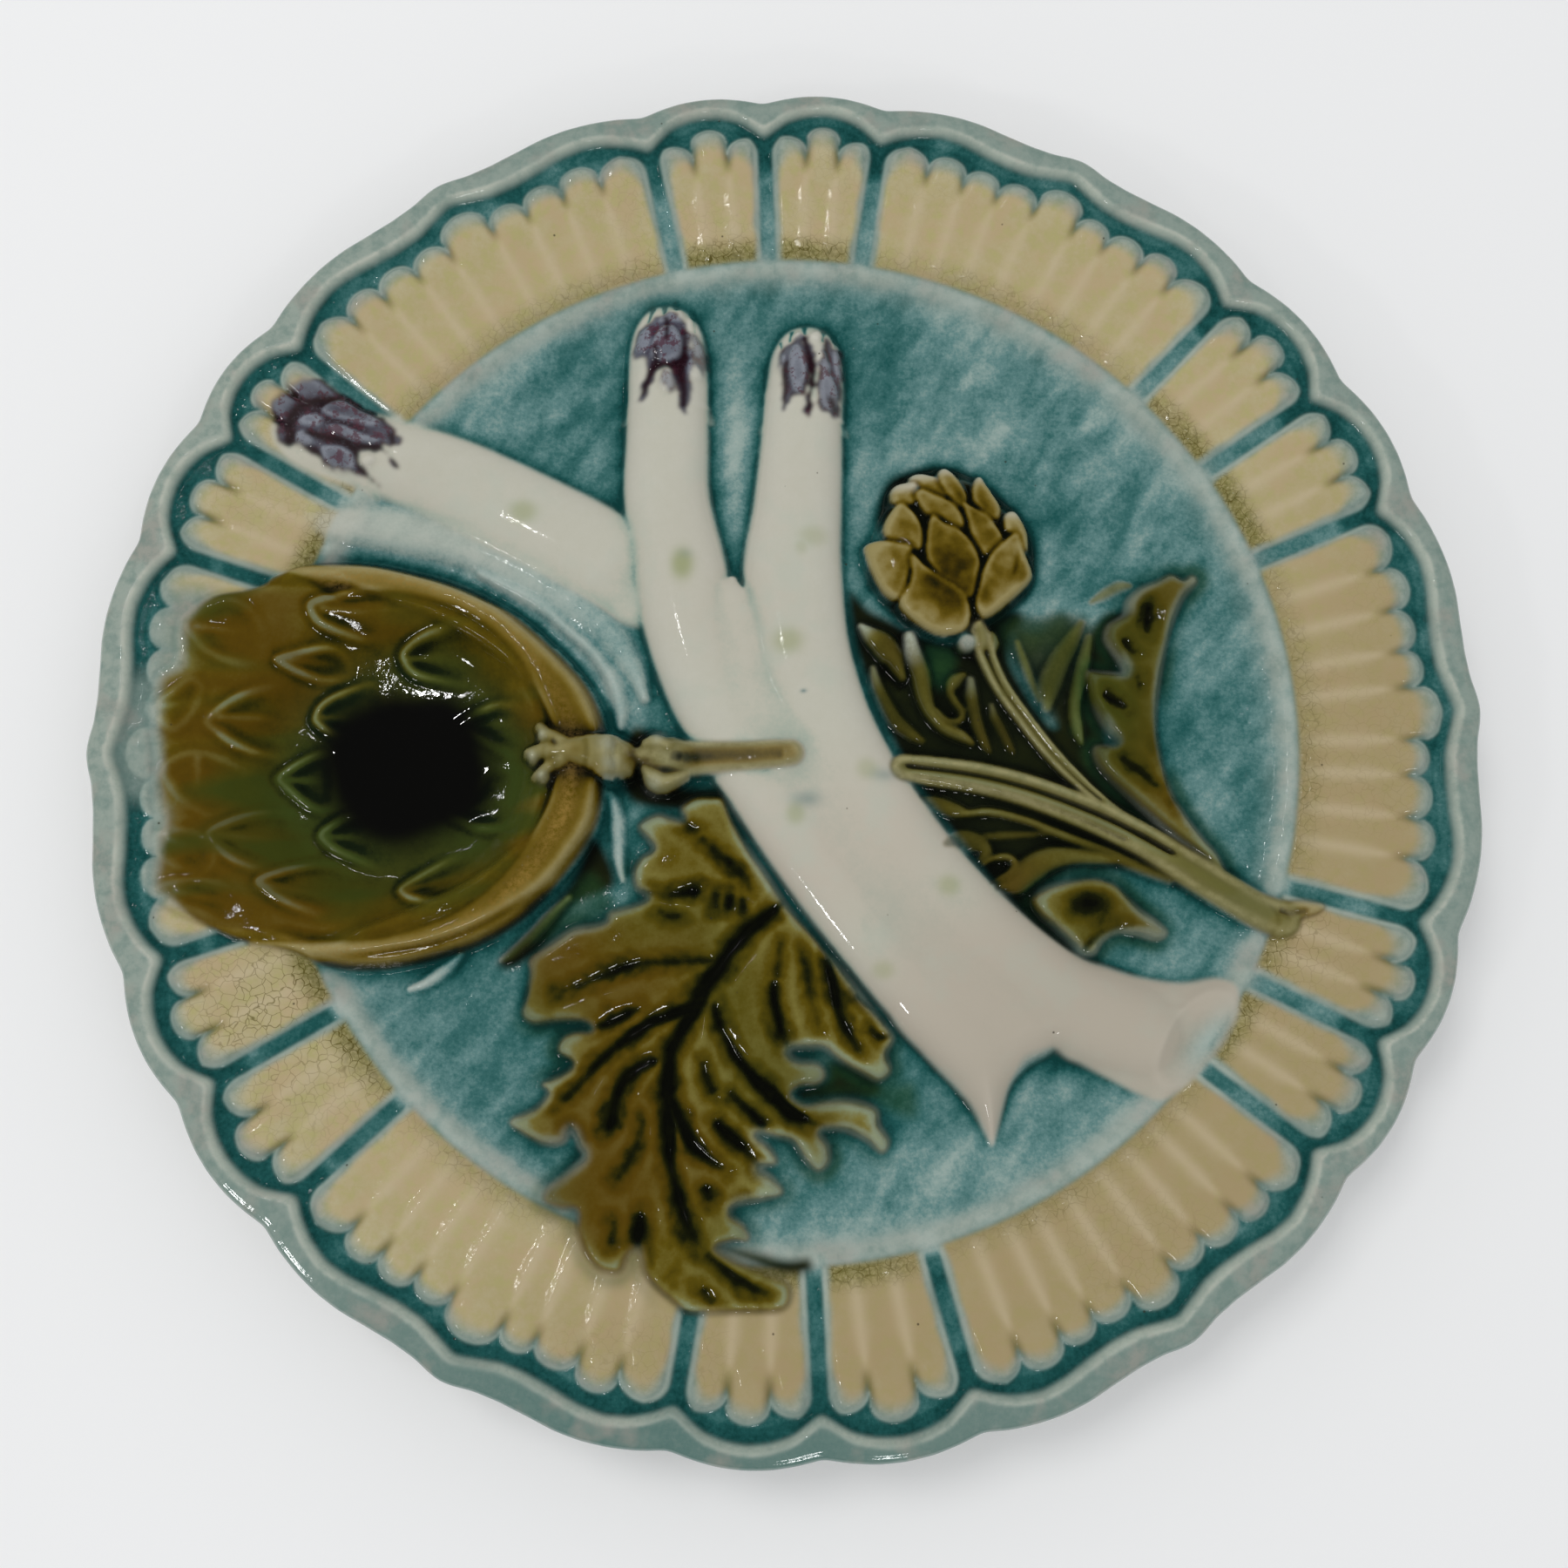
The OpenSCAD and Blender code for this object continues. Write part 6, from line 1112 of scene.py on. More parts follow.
RUST = RUST + 0.3 * noise(76, 6.0, -0.9, 1.1) * blade
streak = noise2(75, 4.0, 1.1, 8) * ss((RB - 16) / 8) * (RB < 44)
RUST = RUST + (0.22 * streak + 0.12 * ss((-80 - X) / 12) - 0.12) * (RB < 44)
MOSS = MOSS * (1 - 0.5 * ss((RB - 40) / 6)) - (0.25 * streak + 0.12) * (RB < 44)
RUST, MOSS = np.clip(0.65 * RUST, 0, 0.62), np.clip(MOSS, 0, 0.9)
PAINTED_FALLOFF = ss((X - Y - 20) / 80)                # painted shade: the lower right is darker and browner, where the light falls off
WARM_OFF = np.exp(-((X - 13) / 9) ** 2 - ((Y + 36) / 12) ** 2) + np.exp(-((X - 30) / 8) ** 2 - ((Y + 26) / 7) ** 2)
CRAZE = np.clip(0.9 * END + 0.14 * ss((noise(73, 9, 0, 1) - 0.5) / 0.3) + 0.8 * np.exp(-((X + 86) ** 2 + (Y + 48) ** 2) / 160) + 0.5 * np.exp(-((X - 84) ** 2 + (Y + 34) ** 2) / 100), 0, 1) * GLAZE["cream"]
RIB = np.clip(blur(flute_v * ss(panel_edge / 0.8) * ss((106.5 - R) / 3.0), 0.15), 0, 1)
BODY = np.clip(1 - sum(GLAZE.values()), 0, 1)
WARM = np.clip(ss((6 - Y) / 40) * 0.9 + 0.25 * noise(74, 9, -1, 1) - 0.8 * WARM_OFF, 0, 1)
GLAZE["ivory"] = GLAZE["ivory"] * (1 - 0.85 * np.clip(hollow, 0, 1))
PALE_AND_HIGHLIGHT = np.clip(blur(PALE_AND_HIGHLIGHT, 0.18), 0, 1)
FIELDS = {"painted_falloff": PAINTED_FALLOFF, "pale": PALE_AND_HIGHLIGHT, "stems": np.clip(blur(STEMS, 0.3), 0, 1), "crown": np.clip(blur(CROWN_HIGHLIGHT, 0.25), 0, 1), "rust": RUST, "warm": WARM, "crest": np.clip(blur(crest, 0.5), 0, 1), "moss": MOSS, "craze": CRAZE, "rib": RIB, "body": BODY, "thick": THICK_AND_PAINTED_LIGHT, "pool": POOL, "deep": DEEP, "tone": TONE, "spot": SPOT, "tspot": TSPOT, "inner_end": END, "valley": VALLEY}
rest = np.ones((N, N))
for kind in reversed(KINDS):
    FIELDS["g_" + kind] = np.clip(GLAZE[kind] / np.maximum(rest, 1e-3), 0, 1)
    rest = rest - GLAZE[kind]


def make(name, verts, faces, normals, custom, at=None):
    me = bpy.data.meshes.new(name)
    me.vertices.add(len(verts))
    me.vertices.foreach_set("co", (verts * 0.001).astype(np.float32).ravel())
    sizes = np.array([len(f) for f in faces[1]]) if isinstance(faces, tuple) else None
    quads = faces[0] if isinstance(faces, tuple) else faces
    tris = faces[1] if isinstance(faces, tuple) else []
    total = len(quads) * 4 + len(tris) * 3
    loops = np.concatenate([np.asarray(quads).ravel(), np.asarray(tris).ravel()]).astype(np.int32) if len(tris) else np.asarray(quads).ravel().astype(np.int32)
    me.loops.add(total)
    me.loops.foreach_set("vertex_index", loops)
    me.polygons.add(len(quads) + len(tris))
    starts = np.concatenate([np.arange(len(quads)) * 4, len(quads) * 4 + np.arange(len(tris)) * 3]).astype(np.int32)
    me.polygons.foreach_set("loop_start", starts)
    me.update(calc_edges=True)
    me.validate()
    me.polygons.foreach_set("use_smooth", np.ones(len(me.polygons), bool))
    co = np.zeros(len(me.vertices) * 3, np.float32)
    me.vertices.foreach_get("co", co)
    co = co.reshape(-1, 3) * 1000
    pos = co if at is None else at
    for key, f in FIELDS.items():
        at_ = me.attributes.new(key, "FLOAT", "POINT")
        at_.data.foreach_set("value", sample(f, pos[:, 0], pos[:, 1]).astype(np.float32))
    uv = me.uv_layers.new(name="OFBake")
    vi = np.zeros(len(me.loops), np.int32)
    me.loops.foreach_get("vertex_index", vi)
    lo, hi = co[:, :2].min(0), co[:, :2].max(0)
    span = max(hi - lo)
    uv.data.foreach_set("uv", (0.01 + 0.98 * (co[vi, :2] - lo) / span).astype(np.float32).ravel())
    me.update()
    if custom is not None:
        geo = np.zeros(len(me.vertices) * 3, np.float32)
        me.vertices.foreach_get("normal", geo)
        geo = geo.reshape(-1, 3)
        nn = np.where(custom[:, None], normals, geo)
        me.normals_split_custom_set_from_vertices(nn.tolist())
    ob = bpy.data.objects.new(name, me)
    bpy.context.scene.collection.objects.link(ob)
    return ob


def dilate(m):
    o = m.copy()
    o[1:] |= m[:-1]
    o[:-1] |= m[1:]
    o[:, 1:] |= m[:, :-1]
    o[:, :-1] |= m[:, 1:]
    return o


def clean(m):
    """Drops cells joined only by a corner, which would not close as a solid."""
    for _ in range(6):
        a = m[:-1, :-1] & m[1:, 1:] & ~m[:-1, 1:] & ~m[1:, :-1]
        b = ~m[:-1, :-1] & ~m[1:, 1:] & m[:-1, 1:] & m[1:, :-1]
        if not (a.any() or b.any()):
            break
        m[:-1, 1:] |= a
        m[:-1, :-1] |= b
    return m


def patch(name):
    """Closed solid cut from the field where this element is on top. It reaches
    two cells past its border and sinks there, so that neighbours meet cleanly."""
    lab = LABELS.index(name)
    own = OWNER == lab
    if not own.any():
        return None
    rows = np.nonzero(own.any(1))[0]
    cols = np.nonzero(own.any(0))[0]
    r0, r1 = max(0, rows[0] - 4), min(N, rows[-1] + 5)
    c0, c1 = max(0, cols[0] - 4), min(N, cols[-1] + 5)
    own = own[r0:r1, c0:c1]
    one = dilate(own)
    two = dilate(one)
    three = dilate(two)
    sink = np.where(own, 0.0, np.where(one, 0.02, np.where(two, 0.07, 0.2)))
    # cells whose four corners are inside
    v = three
    cell = v[:-1, :-1] & v[1:, :-1] & v[:-1, 1:] & v[1:, 1:]
    cell = clean(cell)
    used = np.zeros(v.shape, bool)
    used[:-1, :-1] |= cell
    used[1:, :-1] |= cell
    used[:-1, 1:] |= cell
    used[1:, 1:] |= cell
    idx = -np.ones(v.shape, int)
    idx[used] = np.arange(used.sum())
    nv = int(used.sum())
    jj, ii = np.nonzero(used)
    x, y = AX[ii + c0], AX[jj + r0]
    z = H[jj + r0, ii + c0] - sink[jj, ii]
    top = np.stack([x, y, z], 1)
    cj, ci = np.nonzero(cell)
    quads = np.stack([idx[cj, ci], idx[cj, ci + 1], idx[cj + 1, ci + 1], idx[cj + 1, ci]], 1)
    # border edges, in order, for the wall and the floor
    left = cell & ~np.pad(cell, ((0, 0), (1, 0)))[:, :-1]
    right = cell & ~np.pad(cell, ((0, 0), (0, 1)))[:, 1:]
    down = cell & ~np.pad(cell, ((1, 0), (0, 0)))[:-1]
    up = cell & ~np.pad(cell, ((0, 1), (0, 0)))[1:]
    edges = []
    j, i = np.nonzero(left)
    edges.append(np.stack([idx[j + 1, i], idx[j, i]], 1))
    j, i = np.nonzero(right)
    edges.append(np.stack([idx[j, i + 1], idx[j + 1, i + 1]], 1))
    j, i = np.nonzero(down)
    edges.append(np.stack([idx[j, i], idx[j, i + 1]], 1))
    j, i = np.nonzero(up)
    edges.append(np.stack([idx[j + 1, i + 1], idx[j + 1, i]], 1))
    edges = np.concatenate(edges)
    ring_v = np.unique(edges)
    ring_new = -np.ones(nv, int)
    ring_new[ring_v] = nv + np.arange(len(ring_v))
    # floor: the border, and a few points inside that follow the underside
    core = ~dilate(dilate(~used))
    step = max(1, int(round(4.0 / P)))
    gj, gi = np.nonzero(core[::step, ::step])
    gj, gi = gj * step, gi * step
    low = np.concatenate([top[ring_v], np.stack([AX[gi + c0], AX[gj + r0], 0 * gi], 1)])
    low[:, 2] = sample(ZB, low[:, 0], low[:, 1])
    walls = np.stack([edges[:, 1], edges[:, 0], ring_new[edges[:, 0]], ring_new[edges[:, 1]]], 1)
    verts = np.concatenate([top, low])
    local = {int(a): k for k, a in enumerate(ring_v)}
    e2 = [(local[int(a)], local[int(b)]) for a, b in edges]
    pts = [Vector((float(px), float(py))) for px, py in low[:, :2]]
    res = delaunay_2d_cdt(pts, e2, [], 0, 1e-6)
    tris = []
    origin = [o[0] if o else -1 for o in res[3]]
    for f in res[2]:
        t = [origin[k] for k in f]
        if -1 in t:
            continue
        a, b, c = [pts[k] for k in t]
        mid = (a + b + c) / 3
        ci_ = int((mid.x - AX[0]) / P) - c0
        cj_ = int((mid.y - AX[0]) / P) - r0
        if not (0 <= ci_ < cell.shape[1] and 0 <= cj_ < cell.shape[0] and cell[cj_, ci_]):
            continue
        if (b - a).cross(c - a) > 0:
            t = t[::-1]
        tris.append([nv + k for k in t])
    normals = np.concatenate([np.stack([-GX[jj + r0, ii + c0] * NZ[jj + r0, ii + c0], -GY[jj + r0, ii + c0] * NZ[jj + r0, ii + c0], NZ[jj + r0, ii + c0]], 1), np.zeros((len(low), 3))])
    custom = np.zeros(len(verts), bool)
    custom[:nv] = True
    return make(name, verts, (np.concatenate([quads, walls]), np.array(tris, int).reshape(-1, 3)), normals, custom)


def turned(name, rings, segs, close=True, custom_top=0):
    """Closed turned solid from rings of (radius, height) arrays."""
    n = segs
    th = np.radians(np.arange(n) * 360 / n)
    verts = []
    for rr, zz in rings:
        rr = np.broadcast_to(rr, (n,))
        zz = np.broadcast_to(zz, (n,))
        verts.append(np.stack([rr * np.cos(th), rr * np.sin(th), zz], 1))
    m = len(rings)
    verts = np.concatenate(verts)
    a = np.arange(m * n).reshape(m, n)
    nxt = np.roll(a, -1, 1)
    if close:
        pairs = [(k, (k + 1) % m) for k in range(m)]
    else:
        pairs = [(k, k + 1) for k in range(m - 1)]
    quads = np.concatenate([np.stack([a[p], nxt[p], nxt[q], a[q]], 1) for p, q in pairs])
    return verts, quads, a


# ------------------------------------------------------------------ materials
def srgb(r, g, b):
    out = []
    for c in (r, g, b):
        c /= 255
        out.append(c / 12.92 if c <= 0.04045 else ((c + 0.055) / 1.055) ** 2.4)
    return (*out, 1.0)


class Tree:
    """Short writing for node trees."""

    def __init__(self, name):
        self.mat = bpy.data.materials.new(name)
        self.mat.use_nodes = True
        self.t = self.mat.node_tree
        self.t.nodes.clear()

    def node(self, kind, **kw):
        n = self.t.nodes.new(kind)
        for k, v in kw.items():
            setattr(n, k, v)
        return n

    def put(self, sock, v):
        if isinstance(v, bpy.types.NodeSocket):
            self.t.links.new(v, sock)
        else:
            sock.default_value = v

    def attr(self, key):
        return self.node("ShaderNodeAttribute", attribute_name=key).outputs["Fac"]

    def math(self, op, a, b=0.0, c=None, clamp=False):
        n = self.node("ShaderNodeMath", operation=op, use_clamp=clamp)
        self.put(n.inputs[0], a)
        self.put(n.inputs[1], b)
        if c is not None:
            self.put(n.inputs[2], c)
        return n.outputs[0]

    def ramp(self, f, stops, interp="LINEAR"):
        n = self.node("ShaderNodeValToRGB")
        cr = n.color_ramp
        cr.interpolation = interp
        while len(cr.elements) < len(stops):
            cr.elements.new(0.5)
        for e, (p, c) in zip(cr.elements, stops):
            e.position = p
            e.color = c if len(c) == 4 else srgb(*c)
        self.put(n.inputs[0], f)
        return n.outputs["Color"]

    def mix(self, f, a, b, blend="MIX"):
        n = self.node("ShaderNodeMix", data_type="RGBA", blend_type=blend, clamp_factor=True)
        self.put(n.inputs["Factor"], f)
        self.put(n.inputs[6], a)
        self.put(n.inputs[7], b)
        return n.outputs[2]

    def noise(self, scale, detail=2.0, rough=0.5, out="Fac", distort=0.0):
        n = self.node("ShaderNodeTexNoise")
        self.put(n.inputs["Vector"], self.where)
        n.inputs["Scale"].default_value = scale
        n.inputs["Detail"].default_value = detail
        n.inputs["Roughness"].default_value = rough
        n.inputs["Distortion"].default_value = distort
        return n.outputs[out]

    def span(self, f, a, b, lo=0.0, hi=1.0):
        n = self.node("ShaderNodeMapRange", clamp=True)
        self.put(n.inputs["Value"], f)
        n.inputs["From Min"].default_value = a
        n.inputs["From Max"].default_value = b
        n.inputs["To Min"].default_value = lo
        n.inputs["To Max"].default_value = hi
        return n.outputs[0]


# colour of each glaze against its depth, thin to thick
GLAZES = {
    "teal": [(0.0, (172, 184, 176)), (0.3, (144, 165, 159)), (0.5, (98, 135, 133)), (0.66, (62, 108, 106)), (0.82, (34, 86, 84)), (1.0, (16, 62, 60))],
    "lip": [(0.0, (182, 184, 172)), (0.35, (150, 161, 151)), (0.55, (128, 144, 136)), (0.75, (90, 118, 112)), (1.0, (38, 88, 86))],
    "cream": [(0.0, (198, 194, 176)), (0.3, (188, 180, 150)), (0.5, (177, 164, 124)), (0.7, (158, 146, 98)), (1.0, (96, 90, 34))],
    "ivory": [(0.0, (200, 198, 186)), (0.3, (193, 191, 178)), (0.5, (188, 186, 171)), (0.7, (160, 172, 158)), (0.85, (96, 134, 128)), (1.0, (32, 84, 82))],
    "olive": [(0.0, (134, 142, 108)), (0.2, (120, 112, 56)), (0.42, (92, 78, 17)), (0.55, (74, 63, 12)), (0.68, (50, 46, 11)), (0.82, (26, 28, 11)), (1.0, (12, 13, 9))],
    "amber": [(0.0, (150, 138, 92)), (0.25, (126, 110, 56)), (0.42, (104, 86, 26)), (0.55, (86, 70, 14)), (0.7, (60, 48, 10)), (0.85, (32, 30, 11)), (1.0, (14, 14, 9))],
    "purple": [(0.0, (126, 130, 140)), (0.3, (94, 97, 108)), (0.48, (74, 72, 84)), (0.62, (52, 38, 48)), (0.8, (38, 20, 30)), (1.0, (22, 12, 18))],
    "dark": [(0.0, (60, 68, 34)), (0.35, (42, 46, 20)), (0.55, (30, 34, 16)), (0.75, (20, 24, 14)), (1.0, (12, 14, 10))],
    "green": [(0.0, (112, 134, 86)), (0.3, (68, 94, 52)), (0.5, (38, 70, 38)), (0.75, (20, 48, 30)), (1.0, (9, 25, 17))],
}


def glaze_material(name, rough=0.1, grain=1.0):
    """The fired glazes: a depth ramp for each kind over the body's teal, with
    mottling, brush streaks, pinholes, crazing and a soft orange-peel surface."""
    t = Tree(name)
    co = t.node("ShaderNodeTexCoord")
    mp = t.node("ShaderNodeMapping")
    t.put(mp.inputs["Vector"], co.outputs["Object"])
    mp.inputs["Scale"].default_value = (1000, 1000, 1000)
    t.where = mp.outputs["Vector"]
    # thick: glaze depth, with painted shade and highlights laid in
    thick = t.attr("thick")
    wide = t.noise(0.11, 3, 0.55)
    mid = t.noise(0.42, 4, 0.62)
    fine = t.noise(1.5, 3, 0.62)

    def about(n, k):
        return t.math("MULTIPLY", t.math("SUBTRACT", n, 0.5), k)

    depth = t.math("ADD", thick, t.math("ADD", about(mid, 0.22), about(fine, 0.12)), clamp=True)
    teal_d = t.math("ADD", thick, t.math("ADD", t.math("ADD", about(mid, 0.36), about(fine, 0.34)), about(t.attr("tone"), 0.7)), clamp=True)
    col = t.ramp(teal_d, GLAZES["teal"])
    for kind in KINDS:
        c = t.ramp(depth, GLAZES[kind])
        if kind == "cream":
            c = t.mix(t.span(wide, 0.45, 0.6, 0, 0.75), c, srgb(180, 160, 124))
            c = t.mix(t.span(mid, 0.48, 0.66, 0, 0.65), c, srgb(172, 166, 112))
            # painted shade: cream darker and browner towards the lower right
            c = t.mix(t.math("MULTIPLY", t.attr("painted_falloff"), 0.6), c, srgb(152, 134, 96))
            c = t.mix(t.math("MULTIPLY", t.attr("rib"), 0.55), c, srgb(190, 174, 144))
            c = t.mix(t.math("MULTIPLY", t.attr("inner_end"), 0.9), c, t.ramp(fine, [(0.35, (98, 95, 46)), (0.5, (126, 120, 70)), (0.66, (152, 144, 100))]))
            c = t.mix(t.math("MULTIPLY", t.attr("valley"), 0.9), c, srgb(92, 92, 48))
        if kind == "ivory":
            c = t.mix(t.math("MULTIPLY", t.attr("warm"), 0.75), c, srgb(186, 175, 160))
            c = t.mix(t.span(wide, 0.5, 0.66, 0, 0.4), c, srgb(180, 186, 172))
            # painted shade: ivory darker towards the lower right
            c = t.mix(t.math("MULTIPLY", t.attr("painted_falloff"), 0.4), c, srgb(160, 152, 136))
        if kind == "lip":
            c = t.mix(t.span(wide, 0.52, 0.66, 0, 0.6), c, srgb(152, 148, 139))
            c = t.mix(t.span(mid, 0.46, 0.68, 0, 0.6), c, srgb(112, 134, 126))
        if kind == "purple":
            c = t.mix(t.span(fine, 0.5, 0.68, 0, 0.5), c, srgb(104, 110, 120))
            c = t.mix(t.span(t.math("ADD", mid, about(fine, 0.5)), 0.5, 0.6, 0, 0.7), c, srgb(78, 36, 50))
            c = t.mix(t.math("MULTIPLY", t.attr("deep"), 0.94), c, srgb(34, 16, 22))
        if kind == "olive":
            c = t.mix(t.math("MULTIPLY", t.attr("rust"), t.span(depth, 0.72, 0.5)), c, srgb(84, 59, 13))
            c = t.mix(t.math("MULTIPLY", t.attr("moss"), t.span(depth, 0.8, 0.55)), c, srgb(58, 66, 22))
        if kind == "amber":
            # painted highlight along the crest of the bowl's lip
            c = t.mix(t.math("MULTIPLY", t.attr("crest"), t.span(fine, 0.34, 0.62, 0.0, 0.9)), c, srgb(148, 118, 58))
        if kind in ("olive", "amber"):
            c = t.mix(t.math("MULTIPLY", t.attr("stems"), t.span(depth, 0.66, 0.5, 0, 0.75)), c, srgb(98, 98, 56))
            # painted highlight on the crowns of stems and knuckle
            c = t.mix(t.math("MULTIPLY", t.attr("crown"), t.span(mid, 0.35, 0.6, 0.45, 1.0)), c, srgb(160, 153, 110))
        col = t.mix(t.attr("g_" + kind), col, c)
    col = t.mix(t.math("MULTIPLY", t.attr("spot"), 0.9), col, srgb(140, 148, 96))
    col = t.mix(t.math("MULTIPLY", t.attr("tspot"), 0.8), col, srgb(88, 118, 118))
    # pale: thin glaze on raised edges, and the painted highlight along the lip's inner crest
    col = t.mix(t.math("MULTIPLY", t.attr("pale"), t.span(fine, 0.3, 0.6, 0.7, 1.0)), col, srgb(190, 198, 184))
    col = t.mix(t.attr("pool"), col, srgb(13, 13, 12))
    # crazing: fine dark lines where the glaze is thick and pale
    v = t.node("ShaderNodeTexVoronoi", feature="DISTANCE_TO_EDGE")
    warp = t.node("ShaderNodeVectorMath", operation="ADD")
    t.put(warp.inputs[0], t.where)
    sc = t.node("ShaderNodeVectorMath", operation="SCALE")
    t.put(sc.inputs[0], t.noise(0.5, 1, 0.5, "Color"))
    sc.inputs["Scale"].default_value = 1.6
    t.put(warp.inputs[1], sc.outputs[0])
    t.put(v.inputs["Vector"], warp.outputs[0])
    v.inputs["Scale"].default_value = 0.62
    crack = t.math("MULTIPLY", t.span(v.outputs["Distance"], 0.0, 0.05, 1, 0), t.attr("craze"))
    col = t.mix(crack, col, srgb(84, 74, 26))
    # pinholes and specks
    p = t.node("ShaderNodeTexVoronoi", feature="F1")
    t.put(p.inputs["Vector"], t.where)
    p.inputs["Scale"].default_value = 0.17
    dot = t.span(p.outputs["Distance"], 0.02, 0.045, 1, 0)
    sep = t.node("ShaderNodeSeparateColor")
    t.put(sep.inputs[0], p.outputs["Color"])
    dot = t.math("MULTIPLY", dot, t.span(sep.outputs[0], 0.55, 0.6))
    col = t.mix(t.math("MULTIPLY", dot, 0.75), col, srgb(50, 46, 34))
    # surface, in tenths of a millimetre
    peel = t.noise(0.8, 2, 0.5)
    h = t.math("ADD", t.math("MULTIPLY", peel, t.math("ADD", 0.45, t.math("MULTIPLY", t.attr("body"), 1.0))), t.math("MULTIPLY", fine, 0.12))
    h = t.math("MULTIPLY", h, t.math("SUBTRACT", 1.0, t.math("MULTIPLY", t.attr("pool"), 0.93)))
    h = t.math("SUBTRACT", h, t.math("MULTIPLY", dot, 0.4))
    h = t.math("SUBTRACT", h, t.math("MULTIPLY", crack, 0.06))
    b = t.node("ShaderNodeBump")
    b.inputs["Strength"].default_value = 0.8 * grain
    b.inputs["Distance"].default_value = 0.0001
    t.put(b.inputs["Height"], h)
    bs = t.node("ShaderNodeBsdfPrincipled")
    t.put(bs.inputs["Base Color"], col)
    t.put(bs.inputs["Roughness"], t.math("MULTIPLY", t.span(fine, 0.3, 0.7, rough * 0.8, rough * 1.4), t.math("SUBTRACT", 1.0, t.math("MULTIPLY", t.attr("pool"), 0.75))))
    bs.inputs["IOR"].default_value = 1.5
    bs.inputs["Specular IOR Level"].default_value = 0.5
    t.put(bs.inputs["Normal"], b.outputs[0])
    out = t.node("ShaderNodeOutputMaterial")
    t.t.links.new(bs.outputs[0], out.inputs[0])
    return t.mat


def under_material():
    """Glazed underside, wiped bare on the foot."""
    t = Tree("foot_clay")
    co = t.node("ShaderNodeTexCoord")
    mp = t.node("ShaderNodeMapping")
    t.put(mp.inputs["Vector"], co.outputs["Object"])
    mp.inputs["Scale"].default_value = (1000, 1000, 1000)
    t.where = mp.outputs["Vector"]
    sp = t.node("ShaderNodeSeparateXYZ")
    t.put(sp.inputs[0], t.where)
    n1 = t.noise(0.25, 4, 0.6)
    col = t.ramp(n1, [(0.3, (196, 188, 160)), (0.5, (206, 199, 174)), (0.7, (186, 180, 152))])
    col = t.mix(t.span(t.noise(1.6, 4, 0.7), 0.55, 0.75, 0, 0.5), col, srgb(160, 146, 112))
    bare = t.span(t.math("ADD", sp.outputs[2], t.math("MULTIPLY", t.math("SUBTRACT", n1, 0.5), 1.2)), 0.5, 1.1, 1, 0)
    col = t.mix(bare, col, t.ramp(t.noise(1.2, 4, 0.7), [(0.35, (158, 128, 96)), (0.65, (186, 160, 128))]))
    b = t.node("ShaderNodeBump")
    b.inputs["Strength"].default_value = 0.35
    b.inputs["Distance"].default_value = 0.0002
    t.put(b.inputs["Height"], t.noise(0.9, 4, 0.6))
    bs = t.node("ShaderNodeBsdfPrincipled")
    t.put(bs.inputs["Base Color"], col)
    t.put(bs.inputs["Roughness"], t.math("ADD", 0.22, t.math("MULTIPLY", bare, 0.5)))
    t.put(bs.inputs["Normal"], b.outputs[0])
    out = t.node("ShaderNodeOutputMaterial")
    t.t.links.new(bs.outputs[0], out.inputs[0])
    return t.mat


MATS = {
    "body_glaze": glaze_material("body_glaze", 0.07), "lip_glaze": glaze_material("lip_glaze", 0.055, 0.8), "ring_glaze": glaze_material("ring_glaze", 0.07),
    "cream_glaze": glaze_material("cream_glaze", 0.07, 0.9), "ivory_glaze": glaze_material("ivory_glaze", 0.055, 0.7), "purple_glaze": glaze_material("purple_glaze", 0.055, 0.8),
    "olive_glaze": glaze_material("olive_glaze", 0.045), "amber_glaze": glaze_material("amber_glaze", 0.055, 1.2), "stem_glaze": glaze_material("stem_glaze", 0.05),
}
UNDER = under_material()

# name of the piece: CAD nodes it stands for, slot
PIECES = {
    "well_floor": ([], "body_glaze"),
    "well_ring": (["well_ring"], "ring_glaze"),
    "spear_left": (["spear_left"], "ivory_glaze"), "spear_centre": (["spear_centre"], "ivory_glaze"), "spear_right": (["spear_right"], "ivory_glaze"),
    "tip_centre": (["asparagus_tips"], "purple_glaze"), "tip_right": (["asparagus_tips"], "purple_glaze"), "tip_left": (["asparagus_tips"], "purple_glaze"),
    "sauce_bowl": (["sauce_bowl"], "olive_glaze"), "sauce_lip": (["sauce_lip"], "amber_glaze"), "sauce_scales": (["sauce_scales"], "olive_glaze"),
    "calyx_strip": ([], "body_glaze"),
    "stem_knuckle": (["stem_knuckle"], "stem_glaze"), "sauce_stem": (["sauce_stem"], "stem_glaze"),
    "artichoke_bud": (["artichoke_bud"], "olive_glaze"), "bud_bracts": (["bud_scales"], "amber_glaze"), "bud_stem": (["bud_stem"], "stem_glaze"),
    "long_stem": (["long_stem"], "stem_glaze"), "cut_end": (["cut_end"], "stem_glaze"),
    "leaf_large": (["leaf_large", "leaf_veins"], "olive_glaze"), "leaf_right": (["leaf_right"], "olive_glaze"), "leaf_left": (["leaf_left"], "olive_glaze"),
    "leaf_lower": (["leaf_lower"], "olive_glaze"), "leaf_behind": ([], "olive_glaze"),
}
for i in range(18):
    PIECES[("wide_panel_%d" if i % 3 == 2 else "narrow_panel_%d") % (i + 1)] = (["wide_panels" if i % 3 == 2 else "narrow_panels"], "cream_glaze")
for name, (nodes, slot_name) in PIECES.items():
    ob = patch(name)
    if ob is None:
        continue
    ob.data.materials.append(MATS[slot_name])
    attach(ob, "root")
    if nodes:
        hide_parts(*nodes)

# lip: its own turned mesh, top from the field, edge and underside rolled
SEG = 1440
th = np.arange(SEG) * 360 / SEG
rin, rout = around(IN_CURVE, th), around(OUT_CURVE, th)


